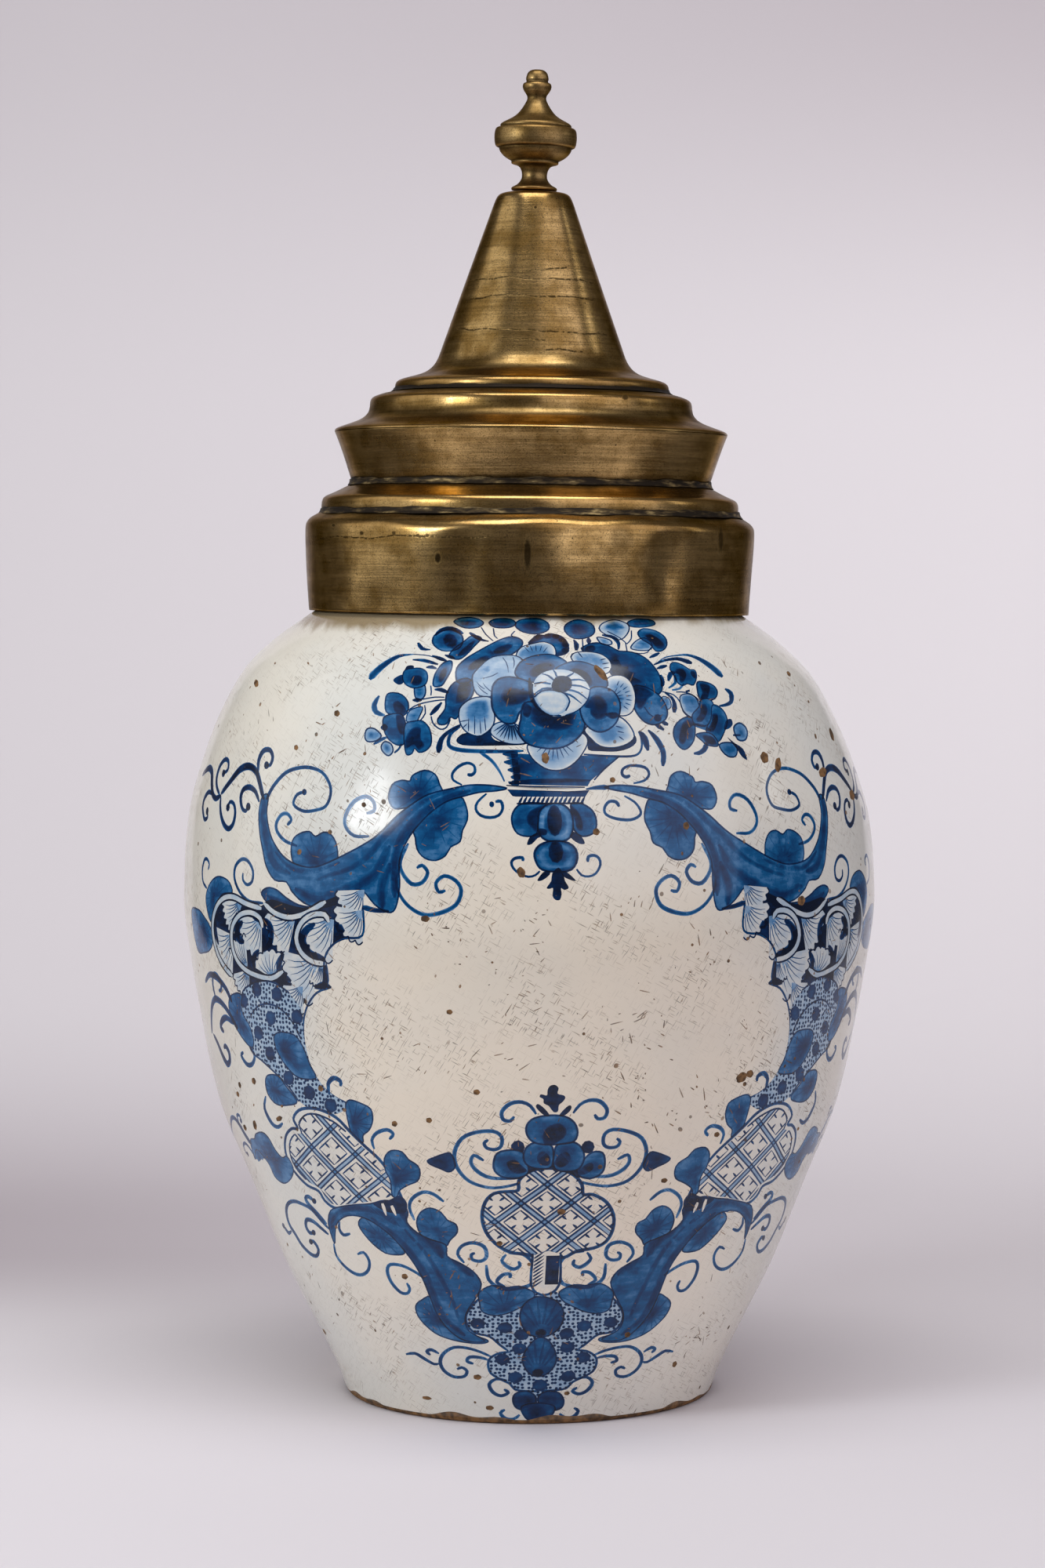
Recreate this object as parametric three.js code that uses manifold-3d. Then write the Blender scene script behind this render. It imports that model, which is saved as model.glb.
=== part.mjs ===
// A tin-glazed earthenware tobacco jar with a stepped brass cover.
//
// The jar is one thrown and glazed body: an ovoid belly on a narrow foot, a broad shoulder and a short neck.
// The cover is soldered up from five sections of thin sheet brass, one above the other:
//   skirt band, lower step, waisted collar, stepped shoulder and conical spire.
// A cast and turned finial stands on the spire. Its tang passes through the spire's top
// and is held from inside by a washer and a square nut.
//
// Millimetres, +Z up. The origin is the centre of the foot, on the surface that the jar stands on.
// The camera side of the jar, with the painted front, faces -Y.
import * as THREE from "three";
import { mergeVertices } from "three/addons/utils/BufferGeometryUtils.js";
import Module from "manifold-3d";

const wasm = await Module();
wasm.setup();

// Driving dimensions
const bellyRadius = 130;
const bellyHeight = 195;
const footRadius = 69.6;
const shoulderHeight = 285; // where the shoulder turns in towards the neck
const neckRadius = 73;
const lipHeight = 316.8;
const wall = 7; // earthenware wall at the belly
const baseThickness = 10;
const coverSeat = 294.6; // height of the skirt's lower edge
const sheet = 1.3; // thickness of the cover's sheet brass
const jointGap = 0.3; // between two pieces that touch
const settledTilt = THREE.MathUtils.degToRad(0.7); // the mouth was thrown a little out of level
const finialLean = THREE.MathUtils.degToRad(1.0); // the finial leans a little more than its cover
const tangRadius = 3;
const aroundJar = 48; // facets round the jar and the cover
const aroundFinial = 28;

const glazedEarthenware = new THREE.MeshStandardMaterial({ color: 0xe6e3da, roughness: 0.25, metalness: 0 });
const agedBrass = new THREE.MeshStandardMaterial({ color: 0x9a7c3e, roughness: 0.4, metalness: 1 });
const softSolder = new THREE.MeshStandardMaterial({ color: 0x6f6a62, roughness: 0.6, metalness: 0.8 });
const castBrass = new THREE.MeshStandardMaterial({ color: 0xa07a38, roughness: 0.35, metalness: 1 });

// A solid of revolution from [radius, height] points, listed anticlockwise with the axis on the left.
function turned(points, facets) {
  const profile = points.map(([radius, height]) => new THREE.Vector2(radius, height));
  const onAxis = points[0][0] === 0 && points.at(-1)[0] === 0;
  if (!onAxis) profile.push(profile[0].clone());
  const geometry = new THREE.LatheGeometry(profile, facets);
  geometry.rotateX(Math.PI / 2); // three.js turns a profile about Y; this stands it on Z
  return geometry;
}

// The same line moved sideways by a distance, to the left of its direction, with mitred corners.
function offsetLine(points, distance) {
  const normals = points.slice(1).map(([r, z], i) => {
    const [dr, dz] = [r - points[i][0], z - points[i][1]];
    const length = Math.hypot(dr, dz);
    return [-dz / length, dr / length];
  });
  return points.map(([r, z], i) => {
    const before = normals[Math.max(i - 1, 0)];
    const after = normals[Math.min(i, normals.length - 1)];
    const sum = [before[0] + after[0], before[1] + after[1]];
    const reach = (2 * distance) / (sum[0] ** 2 + sum[1] ** 2);
    return [r + sum[0] * reach, z + sum[1] * reach];
  });
}

// The point where the inner face meets the height of the outer edge, so that the edge is cut level.
function levelled([innerRadius, innerHeight], edge, next) {
  const slope = (next[0] - edge[0]) / (next[1] - edge[1]);
  return [innerRadius + (edge[1] - innerHeight) * slope, edge[1]];
}

// A ring of sheet metal: its outer face from bottom to top, and its inner face one sheet further in.
// Its lower edge stands level on the section below, and so does its upper edge where it has no ledge.
function sheetRing(outer, hasLedge = true) {
  const inner = offsetLine(outer, sheet);
  inner[0] = levelled(inner[0], outer[0], outer[1]);
  if (!hasLedge) inner[inner.length - 1] = levelled(inner.at(-1), outer.at(-1), outer.at(-2));
  return turned([...outer, ...inner.reverse()], aroundJar);
}

function named(name, geometry, material) {
  const mesh = new THREE.Mesh(geometry, material);
  mesh.name = name;
  return mesh;
}

// Above the belly the body leans by degrees into the tilt of its mouth, so the cover sits flush on it.
function settle(geometry) {
  const position = geometry.getAttribute("position");
  const up = new THREE.Vector3(0, 1, 0);
  const point = new THREE.Vector3();
  for (let i = 0; i < position.count; i += 1) {
    point.fromBufferAttribute(position, i);
    const share = THREE.MathUtils.smoothstep(point.z, bellyHeight, shoulderHeight);
    point.z -= coverSeat;
    point.applyAxisAngle(up, settledTilt * share);
    point.z += coverSeat;
    position.setXYZ(i, point.x, point.y, point.z);
  }
  return geometry;
}

// The jar: foot ring, ovoid outside, rolled lip, and an inside that follows the outside one wall further in.
function jarBody() {
  const footRecess = 3;
  const underside = [
    [0, footRecess],
    [footRadius - 12, footRecess],
    [footRadius - 10, 0],
    [footRadius - 1, 0],
  ];
  const outside = new THREE.SplineCurve(
    [
      [footRadius, 1.2],
      [72.3, 9],
      [81, 27],
      [93, 51],
      [105, 81],
      [117.3, 112],
      [124.6, 147],
      [129.5, 178],
      [bellyRadius, bellyHeight],
      [128, 218],
      [123.2, 236],
      [116.4, 254],
      [107, 271.5],
      [95.6, 283.2],
      [83.2, 292.4],
      [76.4, 297],
    ].map(([r, z]) => new THREE.Vector2(r, z)),
  );
  const outsidePoints = outside.getPoints(19).map((p) => [p.x, p.y]);
  const neckAndLip = [
    [neckRadius, 303],
    [neckRadius + 0.4, 309.5],
    [neckRadius + 2.6, 312.4],
    [neckRadius + 2.4, 315.2],
    [neckRadius - 1.2, lipHeight],
    [neckRadius - 4, lipHeight],
    [neckRadius - 6, 315],
    [neckRadius - 6.6, 303],
  ];
  const inside = [
    [neckRadius - 3.4, 296.4],
    [80, 287.5],
    [91.6, 278],
    [101.6, 266.6],
    [110.4, 250],
    [119, 225.5],
    [bellyRadius - wall, bellyHeight],
    [121.4, 170],
    [114.6, 132],
    [102, 92],
    [86.4, 57],
    [74.6, 35],
    [66, baseThickness + 14],
    [50, baseThickness + 5],
    [0, baseThickness + 3],
  ];
  return settle(turned([...underside, ...outsidePoints, ...neckAndLip, ...inside], aroundJar));
}

// The cover's sections. Heights are above the skirt's lower edge.
const skirtTop = 37.1;
const stepTop = 48.4;
const collarTop = 66.9;
const spireFoot = 82.8;
const spireTop = 157.6;
const skirtLedge = 73.5; // inner edge of the skirt's turned-in top
const stepLedge = 62.5;
const shoulderLedge = 46.5;

function skirtBand() {
  return sheetRing([
    [82.8, 0],
    [84, 15],
    [84.8, 30.8],
    [83.4, 33.6],
    [81, 35.2],
    [78.6, skirtTop - 0.4],
    [skirtLedge, skirtTop],
  ]);
}

function lowerStep() {
  return sheetRing([
    [78.5, skirtTop + jointGap],
    [78.5, 41],
    [77.4, 42.7],
    [73.3, 44.5],
    [69.6, 46.4],
    [66.4, stepTop - 0.3],
    [stepLedge, stepTop],
  ]);
}

function waistedCollar() {
  const rises = [
    [67.4, stepTop + jointGap],
    [70.4, 57.2],
    [73.8, collarTop],
  ];
  return sheetRing(rises, false);
}

function steppedShoulder() {
  return sheetRing([
    [73.9, collarTop + jointGap],
    [72.6, 68.4],
    [67.2, 70.4],
    [63.6, 71.9],
    [61.2, 74],
    [60.5, 78],
    [58.8, 80.3],
    [54.4, 81.8],
    [51, 82.3],
    [shoulderLedge, spireFoot - 0.4],
  ]);
}

// The spire: a low ring, a hollowed foot and a straight cone.
// Its flat top has a hole for the finial's tang.
function spireCone() {
  return sheetRing([
    [51.6, spireFoot],
    [51.5, 85.4],
    [49.6, 86.9],
    [44.8, 88.1],
    [40.2, 89.6],
    [37.4, 91.8],
    [35.6, 94.6],
    [15, 153],
    [13.6, 155.9],
    [11, 157.3],
    [tangRadius + 0.8, spireTop],
  ]);
}

// A thin fillet of solder in the corner where one section stands on the next: its lower edge in the corner,
// its lower edge on the ledge, which falls away outwards, and its upper edge on the standing wall.
function solderFillet(inCorner, onLedge, onWall) {
  return turned([inCorner, onLedge, onWall], aroundJar);
}

// The finial: tang, flange, waist, cup, band, flared neck, bead and cap, in one casting.
function finial() {
  const tangLength = 11;
  return turned(
    [
      [0, -tangLength],
      [tangRadius - 0.5, -tangLength],
      [tangRadius, -tangLength + 0.6],
      [tangRadius, 0],
      [8.3, 0],
      [8.6, 1],
      [7, 1.9],
      [5.3, 3.6],
      [4.7, 5.6],
      [5.1, 7.8],
      [6.6, 9.4],
      [8.8, 10.3],
      [8.8, 11.2],
      [11.6, 12.6],
      [13.4, 14.9],
      [13.7, 15.9],
      [14.9, 16.4],
      [15.3, 18.4],
      [15.3, 21.4],
      [14.8, 23.2],
      [13.5, 23.5],
      [13.2, 24.6],
      [10.6, 26.2],
      [7.2, 28.4],
      [4.9, 31.4],
      [3.5, 34.2],
      [4.2, 36.2],
      [5.4, 38.4],
      [5.2, 40],
      [4.1, 40.5],
      [3.9, 42.6],
      [3.1, 44.4],
      [1.8, 45],
      [0, 45.1],
    ],
    aroundFinial,
  );
}

function washer() {
  return turned(
    [
      [tangRadius + 0.4, 0],
      [8, 0],
      [8, 1.2],
      [tangRadius + 0.4, 1.2],
    ],
    aroundFinial,
  );
}

// A closed geometry as a solid, so that one can be cut from another.
function solidOf(geometry) {
  const bare = geometry.clone();
  bare.deleteAttribute("normal");
  bare.deleteAttribute("uv");
  const merged = mergeVertices(bare, 1e-4);
  return new wasm.Manifold(
    new wasm.Mesh({
      numProp: 3,
      vertProperties: merged.getAttribute("position").array,
      triVerts: new Uint32Array(merged.index.array),
    }),
  );
}

function geometryOf(solid) {
  const mesh = solid.getMesh();
  return new THREE.BufferGeometry()
    .setAttribute("position", new THREE.BufferAttribute(mesh.vertProperties, 3))
    .setIndex(new THREE.BufferAttribute(mesh.triVerts, 1));
}

function squareNut() {
  const acrossFlats = 11;
  const thickness = 4.6;
  const block = new THREE.BoxGeometry(acrossFlats, acrossFlats, thickness);
  const bore = new THREE.CylinderGeometry(
    tangRadius + jointGap, tangRadius + jointGap, thickness + 2, aroundFinial,
  ).rotateX(Math.PI / 2);
  return geometryOf(solidOf(block).subtract(solidOf(bore))).translate(0, 0, -thickness / 2);
}

const jar = new THREE.Group();
jar.add(named("jar_body", jarBody(), glazedEarthenware));

// The cover stands on the shoulder in one tilted frame; its origin is the centre of the skirt's lower edge.
const cover = new THREE.Group();
cover.position.z = coverSeat;
cover.rotation.y = settledTilt;
cover.add(
  named("cover_skirt_band", skirtBand(), agedBrass),
  named("cover_lower_step", lowerStep(), agedBrass),
  named("cover_waisted_collar", waistedCollar(), agedBrass),
  named("cover_stepped_shoulder", steppedShoulder(), agedBrass),
  named("cover_spire", spireCone(), agedBrass),
  named("solder_skirt_joint", solderFillet([78.9, 36.9], [80.4, 35.9], [78.9, 38.7]), softSolder),
  named("solder_collar_joint", solderFillet([67.9, 47.6], [69.2, 46.9], [68.2, 49.9]), softSolder),
  named("solder_spire_joint", solderFillet([51.9, 82.5], [53.3, 82.3], [51.9, 84]), softSolder),
);

const finialFrame = new THREE.Group();
finialFrame.position.z = spireTop + jointGap;
finialFrame.rotation.y = finialLean;
const spireLid = sheet + jointGap; // from the finial's seat down to the inside of the spire's top
const washerMesh = named("finial_washer", washer(), castBrass);
washerMesh.position.z = -spireLid - 2 * jointGap - 1.2;
const nutMesh = named("finial_nut", squareNut(), castBrass);
nutMesh.position.z = washerMesh.position.z - jointGap;
finialFrame.add(named("finial", finial(), castBrass), washerMesh, nutMesh);
cover.add(finialFrame);
jar.add(cover);

export default jar;
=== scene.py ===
# %% [markdown]
# # A painted tobacco jar under a stepped brass cover
# The jar is earthenware, thrown on a wheel, dipped in white tin glaze and painted in cobalt blue before its
# second firing. Its loose cover is soldered up from five sections of sheet brass and carries a cast knob.
# Blender gets the construction as a fixed frame of plain solids, and this script dresses it: each piece is
# a surface worked out with numpy, and each finish is a node material named for the real one.

# %% Load the frame
import math
from functools import partial

import bpy
import numpy as np
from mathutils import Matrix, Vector
from mathutils.geometry import delaunay_2d_cdt, tessellate_polygon


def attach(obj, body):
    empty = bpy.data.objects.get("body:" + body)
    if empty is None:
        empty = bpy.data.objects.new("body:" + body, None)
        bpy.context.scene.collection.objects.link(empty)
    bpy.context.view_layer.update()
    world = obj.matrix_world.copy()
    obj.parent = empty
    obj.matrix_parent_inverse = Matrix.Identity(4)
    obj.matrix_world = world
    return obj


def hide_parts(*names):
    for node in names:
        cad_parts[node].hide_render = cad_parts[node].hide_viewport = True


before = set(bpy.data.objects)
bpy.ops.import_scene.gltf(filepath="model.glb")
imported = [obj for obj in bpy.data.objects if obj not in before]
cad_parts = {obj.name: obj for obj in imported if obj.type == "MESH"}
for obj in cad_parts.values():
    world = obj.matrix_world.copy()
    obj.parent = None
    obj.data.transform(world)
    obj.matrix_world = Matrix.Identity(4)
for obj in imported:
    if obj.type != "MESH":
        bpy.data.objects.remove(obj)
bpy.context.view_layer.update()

# %% [markdown]
# All sizes below are millimetres, as a potter or a brazier would measure them, and become metres only when a
# mesh is made. A few helpers come first: colours, nodes, smooth lines and meshes.

# %% Units and colours
MM = 0.001


def colour(code):
    """A colour written as sRGB hex, as linear light. Each channel c, from 0 to 1, becomes c / 12.92 up to
    0.04045 and ((c + 0.055) / 1.055) to the power 2.4 above it."""
    channels = (int(code[i:i + 2], 16) / 255 for i in (1, 3, 5))
    return (*(c / 12.92 if c <= 0.04045 else ((c + 0.055) / 1.055) ** 2.4 for c in channels), 1)


# %% A material and its nodes
def new_material(name):
    """An empty material with its tree, its output and the shader that feeds it."""
    material = bpy.data.materials.new(name)
    material.use_nodes = True
    tree = material.node_tree
    shader = tree.nodes["Principled BSDF"]
    return material, tree, shader


def feed(made, inputs):
    """Gives a node's inputs, by name or number, each a socket or a plain value."""
    for name, value in inputs.items():
        if isinstance(value, bpy.types.NodeSocket):
            made.id_data.links.new(value, made.inputs[name])
        else:
            made.inputs[name].default_value = value


def node(tree, kind, inputs, out=0, stops=(), **settings):
    """Adds one node and gives one of its outputs. kind goes without its prefix, stops are a colour ramp's
    places and colours in rising order, and settings are the node's own choices."""
    made = tree.nodes.new("ShaderNode" + kind)
    for name, value in settings.items():
        setattr(made, name, value)
    feed(made, inputs)
    for count, (place, tone) in enumerate(stops):
        element = made.color_ramp.elements[count] if count < 2 else made.color_ramp.elements.new(place)
        element.position = place
        element.color = tone
    return made.outputs[out]


# %% Smooth lines
STRAIGHT_STRETCH = 1.8  # a straight stretch has its samples this much further apart
BEND_STEP = math.radians(26)


def flowing(points, step, closed=False):
    """A smooth line through given points, as a bent lath gives it, sampled about every step millimetres
    or, where it bends, more often. It is the Catmull-Rom cubic: between points b and c, with a before and d
    after, and t from 0 to 1, it is half of 2b + (c - a)t + (2a - 5b + 4c - d)t^2 + (3b - a - 3c + d)t^3."""
    p = np.asarray(points, float)
    if closed:
        rail = np.vstack([p[-1], p, p[:2]])
        p = np.vstack([p, p[:1]])
    else:
        rail = np.vstack([2 * p[0] - p[1], p, 2 * p[-1] - p[-2]])
    gaps = np.hypot(*np.diff(p, axis=0).T)
    heading = np.unwrap(np.arctan2(*np.diff(rail, axis=0).T))
    bend = np.abs(np.diff(heading))
    bend = (bend[:-1] + bend[1:]) / 2
    counts = np.maximum(1, np.ceil(np.hypot(gaps / (STRAIGHT_STRETCH * step), bend / BEND_STEP))).astype(int)
    which = np.repeat(np.arange(len(p) - 1), counts)
    t = np.concatenate([np.arange(count) / count for count in counts])[:, None]
    a, b, c, d = (rail[which + k] for k in range(4))
    line = 0.5 * (2 * b + (c - a) * t + (2 * a - 5 * b + 4 * c - d) * t**2 + (3 * b - a - 3 * c + d) * t**3)
    return line if closed else np.vstack([line, p[-1]])


def distance_along(line):
    """How far along a line of points each point lies."""
    return np.concatenate([[0], np.cumsum(np.hypot(*np.diff(line, axis=0).T))])


def smoothstep(low, high, value):
    """0 below low, 1 above high, and 3t^2 - 2t^3 between them."""
    t = np.clip((value - low) / (high - low), 0, 1)
    return t * t * (3 - 2 * t)


# %% Meshes from arrays
def grid_triangles(rows, columns, round_rows=False, round_columns=False):
    """Two triangles for each cell of a grid of rows by columns, which may close on itself in either
    direction."""
    i, j = np.meshgrid(np.arange(rows if round_rows else rows - 1),
                       np.arange(columns if round_columns else columns - 1), indexing="ij")
    a = i * columns + j
    b = i * columns + (j + 1) % columns
    c = (i + 1) % rows * columns + (j + 1) % columns
    d = (i + 1) % rows * columns + j
    return np.stack([a, b, c, a, c, d], axis=-1).reshape(-1, 3)


def new_piece(name, points, triangles, material, body, stands_for):
    """A named piece from millimetre points and triangles, riding on a body of the frame."""
    mesh = bpy.data.meshes.new(name)
    mesh.vertices.add(len(points))
    mesh.vertices.foreach_set("co", (points * MM).astype(np.float32).ravel())
    mesh.loops.add(triangles.size)
    mesh.loops.foreach_set("vertex_index", triangles.astype(np.int32).ravel())
    mesh.polygons.add(len(triangles))
    mesh.polygons.foreach_set("loop_start", np.arange(0, triangles.size, 3, dtype=np.int32))
    mesh.update(calc_edges=True)
    mesh.validate()
    mesh.shade_smooth()
    mesh.materials.append(material)
    piece = bpy.data.objects.new(name, mesh)
    bpy.context.scene.collection.objects.link(piece)
    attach(piece, body)
    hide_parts(*stands_for)
    print(name, len(points), "points,", len(triangles), "triangles")
    return piece


def put_attribute(piece, name, values, domain="POINT"):
    """A number for each point or each face corner, for the material to read."""
    attribute = piece.data.attributes.new(name, "FLOAT", domain)
    attribute.data.foreach_set("value", values.astype(np.float32).ravel())


def put_uv(piece, name, values):
    """A flat place for each face corner, under a name that the material reads or that a bake looks for."""
    layer = piece.data.uv_layers.new(name=name)
    layer.uv.foreach_set("vector", values.astype(np.float32).ravel())


# %% [markdown]
# The photograph was taken with a long lens from about a metre and a half, a little above the jar's middle and
# looking slightly down. That is read from how far the round edges of the cover and the foot are open.

# %% Camera
PHOTO_LONG_SIDE = 2000  # pixels
FOCAL_LENGTH = 5066  # pixels
SENSOR = 36
camera_data = bpy.data.cameras.new("camera")
camera_data.sensor_width = SENSOR
camera_data.lens = FOCAL_LENGTH / PHOTO_LONG_SIDE * SENSOR
camera_data.dof.use_dof = False
camera = bpy.data.objects.new("camera", camera_data)
camera.location = (-2.4 * MM, -1500 * MM, 314.1 * MM)
camera.rotation_euler = (math.radians(90 - 3.22), 0, 0)
bpy.context.scene.collection.objects.link(camera)
bpy.context.scene.camera = camera
print("lens", round(camera_data.lens, 1), "mm")

# %% [markdown]
# The studio is a sweep of pale lilac-grey paper, floor and backdrop in one, with no line where it turns up.
# A small round softbox and a pale wall stand on the left and a broad window on the right, which is what the
# bright bands on the brass say. A sheet of light hangs overhead, and a lamp with a grid lights the backdrop
# alone.

# %% Paper sweep
FLOOR_FRONT = -480  # just below the picture, where the table ends
FLOOR_BACK = 450
BEND = 900  # radius of the turn from floor to backdrop
BACKDROP_TOP = 2600
SWEEP_HALF_WIDTH = 675  # half a narrow roll; beyond it the studio is dark
PAPER = "#e3dde0"
# the paper's colour where shade is painted on it
PAPER_IN_SHADE = "#b9afb4"


def paper_sweep():
    """A profile carried sideways: straight along the floor, a quarter circle up, straight up to the top."""
    turn = np.linspace(0, math.pi / 2, 24)
    depth = np.concatenate([[FLOOR_FRONT], FLOOR_BACK + BEND * np.sin(turn), [FLOOR_BACK + BEND]])
    height = np.concatenate([[0], BEND * (1 - np.cos(turn)), [BACKDROP_TOP]])
    across = np.linspace(-SWEEP_HALF_WIDTH, SWEEP_HALF_WIDTH, 9)
    points = np.stack([np.broadcast_to(across, (len(depth), 9)),
                       np.broadcast_to(depth[:, None], (len(depth), 9)),
                       np.broadcast_to(height[:, None], (len(depth), 9))], axis=-1).reshape(-1, 3)
    mesh = bpy.data.meshes.new("paper_sweep")
    mesh.from_pydata((points * MM).tolist(), [], grid_triangles(len(depth), 9).tolist())
    mesh.shade_smooth()
    return mesh


# painted shade: the paper is darker where it bends behind the jar, most on the left, and towards its top
paper, tree, shader = new_material("matt_backdrop_paper")
add = partial(node, tree)
solid = add("TexCoord", {}, "Object")
across, depth, height = (add("SeparateXYZ", {0: solid}, side) for side in range(3))
# painted shade in the bend behind the jar, strongest on the left
fold = add("MapRange", {0: depth, 1: 0.06, 2: 0.3}, interpolation_type="SMOOTHSTEP")
unfold = add("MapRange", {0: depth, 1: 0.36, 2: 0.8, 3: 1, 4: 0}, interpolation_type="SMOOTHSTEP")
fold = add("Math", {0: fold, 1: unfold}, operation="MULTIPLY")
fold = add("Math", {0: fold, 1: add("MapRange", {0: across, 1: -0.35, 2: 0.35, 3: 1.05, 4: 0.1})},
           operation="MULTIPLY")
# painted shade towards the top of the backdrop, where less light reaches
top = add("MapRange", {0: height, 1: 0.4, 2: 0.75, 3: 0, 4: 0.6}, interpolation_type="SMOOTHSTEP")
top = add("Math", {0: top, 1: add("MapRange", {0: across, 1: -0.3, 2: 0.35, 3: 0.5, 4: 1.15})},
          operation="MULTIPLY")
painted_shade = add("Math", {0: fold, 1: top}, operation="ADD")
tone = add("Mix", {0: painted_shade, 6: colour(PAPER), 7: colour(PAPER_IN_SHADE)}, 2, data_type="RGBA")
feed(shader, {"Base Color": tone, "Roughness": 0.9})
sweep = bpy.data.objects.new("paper_sweep", paper_sweep())
sweep.data.materials.append(paper)
bpy.context.scene.collection.objects.link(sweep)

# %% Softboxes
JAR_MIDDLE = (0, 0, 240)
BACKDROP_MIDDLE = (-150, 1300, 330)


def softbox(name, place, aim, width, height, power, shape="RECTANGLE", tone="#ffffff", spread=180):
    """A lamp at a place, turned to face another, both in millimetres. Width and height are its own, in
    metres, and spread is the angle that the grid over it lets out, in degrees."""
    data = bpy.data.lights.new(name, "AREA")
    data.shape = shape
    data.size = width
    data.size_y = height
    data.energy = power
    data.color = colour(tone)[:3]
    data.spread = math.radians(spread)
    lamp = bpy.data.objects.new(name, data)
    lamp.location = Vector(place) * MM
    lamp.rotation_euler = (Vector(aim) - Vector(place)).to_track_quat("-Z", "Y").to_euler()
    bpy.context.scene.collection.objects.link(lamp)


def around_jar(azimuth, elevation, distance):
    """A place seen from the jar: azimuth is degrees to the right of the camera side, elevation degrees
    above the horizon, and the distance millimetres."""
    a, e = math.radians(azimuth), math.radians(elevation)
    way = Vector((math.sin(a) * math.cos(e), -math.cos(a) * math.cos(e), math.sin(e)))
    return Vector(JAR_MIDDLE) + way * distance


softbox("left_softbox", around_jar(-53, 19, 1500), JAR_MIDDLE, 0.46, 0.46, 7.2, shape="DISK", tone="#f3f9ff")
softbox("left_wall", around_jar(-83, 22, 1800), JAR_MIDDLE, 1.7, 1.7, 6.4)
softbox("right_window", around_jar(42, 22, 1900), JAR_MIDDLE, 2.2, 1.7, 13.8, tone="#f6f3ff")
softbox("overhead_sheet", around_jar(5, 74, 2000), JAR_MIDDLE, 1.7, 1.2, 25)
softbox("backdrop_lamp", (1500, 400, 900), BACKDROP_MIDDLE, 0.9, 0.6, 2.3, spread=78)
world = bpy.data.worlds.new("studio_air")
bpy.context.scene.world = world
world.use_nodes = True
background = world.node_tree.nodes["Background"]
background.inputs["Color"].default_value = colour("#ded9dd")
background.inputs["Strength"].default_value = 0.15

# %% View
bpy.context.scene.view_settings.view_transform = "Standard"

# %% [markdown]
# ## The jar's wall as a sheet of paper
# A painter's ornament is easiest to set out on a flat chart wrapped round the pot. Its one side, u, is
# millimetres round the jar from the ornament's middle line, and its other, v, is millimetres up the wall
# from the foot. The wall's profile turns a place on the chart into a place in space.

# %% The wall's profile
WALL = [  # radius and height of the outside, from the foot to the neck
    (69.6, 1.2), (72.3, 9), (81, 27), (93, 51), (105, 81), (117.3, 112), (124.6, 147), (129.5, 178),
    (130, 195), (128, 218), (123.2, 236), (116.4, 254), (107, 271.5), (95.6, 283.2), (83.2, 292.4),
    (76.4, 297),
]
BELLY_RADIUS = 130
BELLY_HEIGHT = 195
SHOULDER_HEIGHT = 285
COVER_SEAT = 294.6
SETTLED_TILT = math.radians(0.7)
MIDDLE_LINE = math.radians(4.5)  # the ornament's middle stands this far to the right of the front
profile_line = flowing(WALL, 0.6)
profile_v = WALL[0][1] + distance_along(profile_line)
TOP_V = profile_v[-1]


def wall_radius(v):
    return np.interp(v, profile_v, profile_line[:, 0])


def wall_height(v):
    return np.interp(v, profile_v, profile_line[:, 1])


def settle(points):
    """Above the belly the body leans by degrees into the tilt of its mouth: each point turns about Y,
    through the middle of the cover's seat, by the tilt times smoothstep of its height."""
    lean = SETTLED_TILT * smoothstep(BELLY_HEIGHT, SHOULDER_HEIGHT, points[..., 2])
    x, up = points[..., 0], points[..., 2] - COVER_SEAT
    return np.stack([x * np.cos(lean) + up * np.sin(lean), points[..., 1],
                     COVER_SEAT + up * np.cos(lean) - x * np.sin(lean)], axis=-1)


def thrown_by_hand(angle, height):
    """How far the wall swells or sinks: slow waves round the jar and up it, as fingers leave them on the
    wheel."""
    rings = 0.04 * np.sin(height / 3.9 + 0.8 * np.sin(angle))
    dents = 0.3 * np.sin(2 * angle + 0.7 + height / 60) + 0.2 * np.sin(5 * angle + height / 31)
    return rings + dents * smoothstep(0, 60, height)


def wall_point(s, v):
    """The wall in space. s is millimetres round the belly, so the angle is s / belly radius; the radius and
    the height are the profile's at v, and the whole settles into its tilt."""
    angle = s / BELLY_RADIUS
    height = wall_height(v)
    radius = wall_radius(v) + thrown_by_hand(angle, height)
    return settle(np.stack([radius * np.sin(angle), -radius * np.cos(angle), height], axis=-1))


print("the wall is", round(TOP_V, 1), "mm from foot to neck")

# %% [markdown]
# ## Cobalt laid with a brush
# On the real jar the painter draws on raw, powdery glaze, which drinks the colour at once. Every touch
# stays where it fell, and where two touches overlap the blue is deeper. An image texture could carry that,
# but touches made as shapes stay sharp at any distance. So each touch here is a patch of triangles on the
# chart with an amount of cobalt at each point. Later all patches are cut against each other and the amounts
# in each cell are added up.

# %% Touches of the brush
SOFT = ((-1, 0.3), (-0.5, 1), (0.5, 1), (1, 0.3))  # across a broad touch: place, and share of the cobalt
THIN = ((-1, 0.45), (0, 1), (1, 0.45))  # across a fine line
HAIR = ((-1, 0.85), (1, 0.85))  # across a pen line, which is too thin to show a middle
touches = []


def lay(points, triangles, cobalt, brush, dots=0.0, clay=0.0, hides=False, inside=None):
    """Keeps one touch. brush is a place along and across the stroke, for its streaks. hides means that the
    touch covers what lies under it, and inside names another touch that it doesn't leave."""
    cobalt = np.broadcast_to(cobalt, len(points)).astype(float)
    touches.append({
        "points": points, "triangles": triangles, "cobalt": cobalt, "brush": brush,
        "dots": dots, "clay": clay, "hides": hides, "inside": inside,
    })
    return len(touches) - 1


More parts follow.
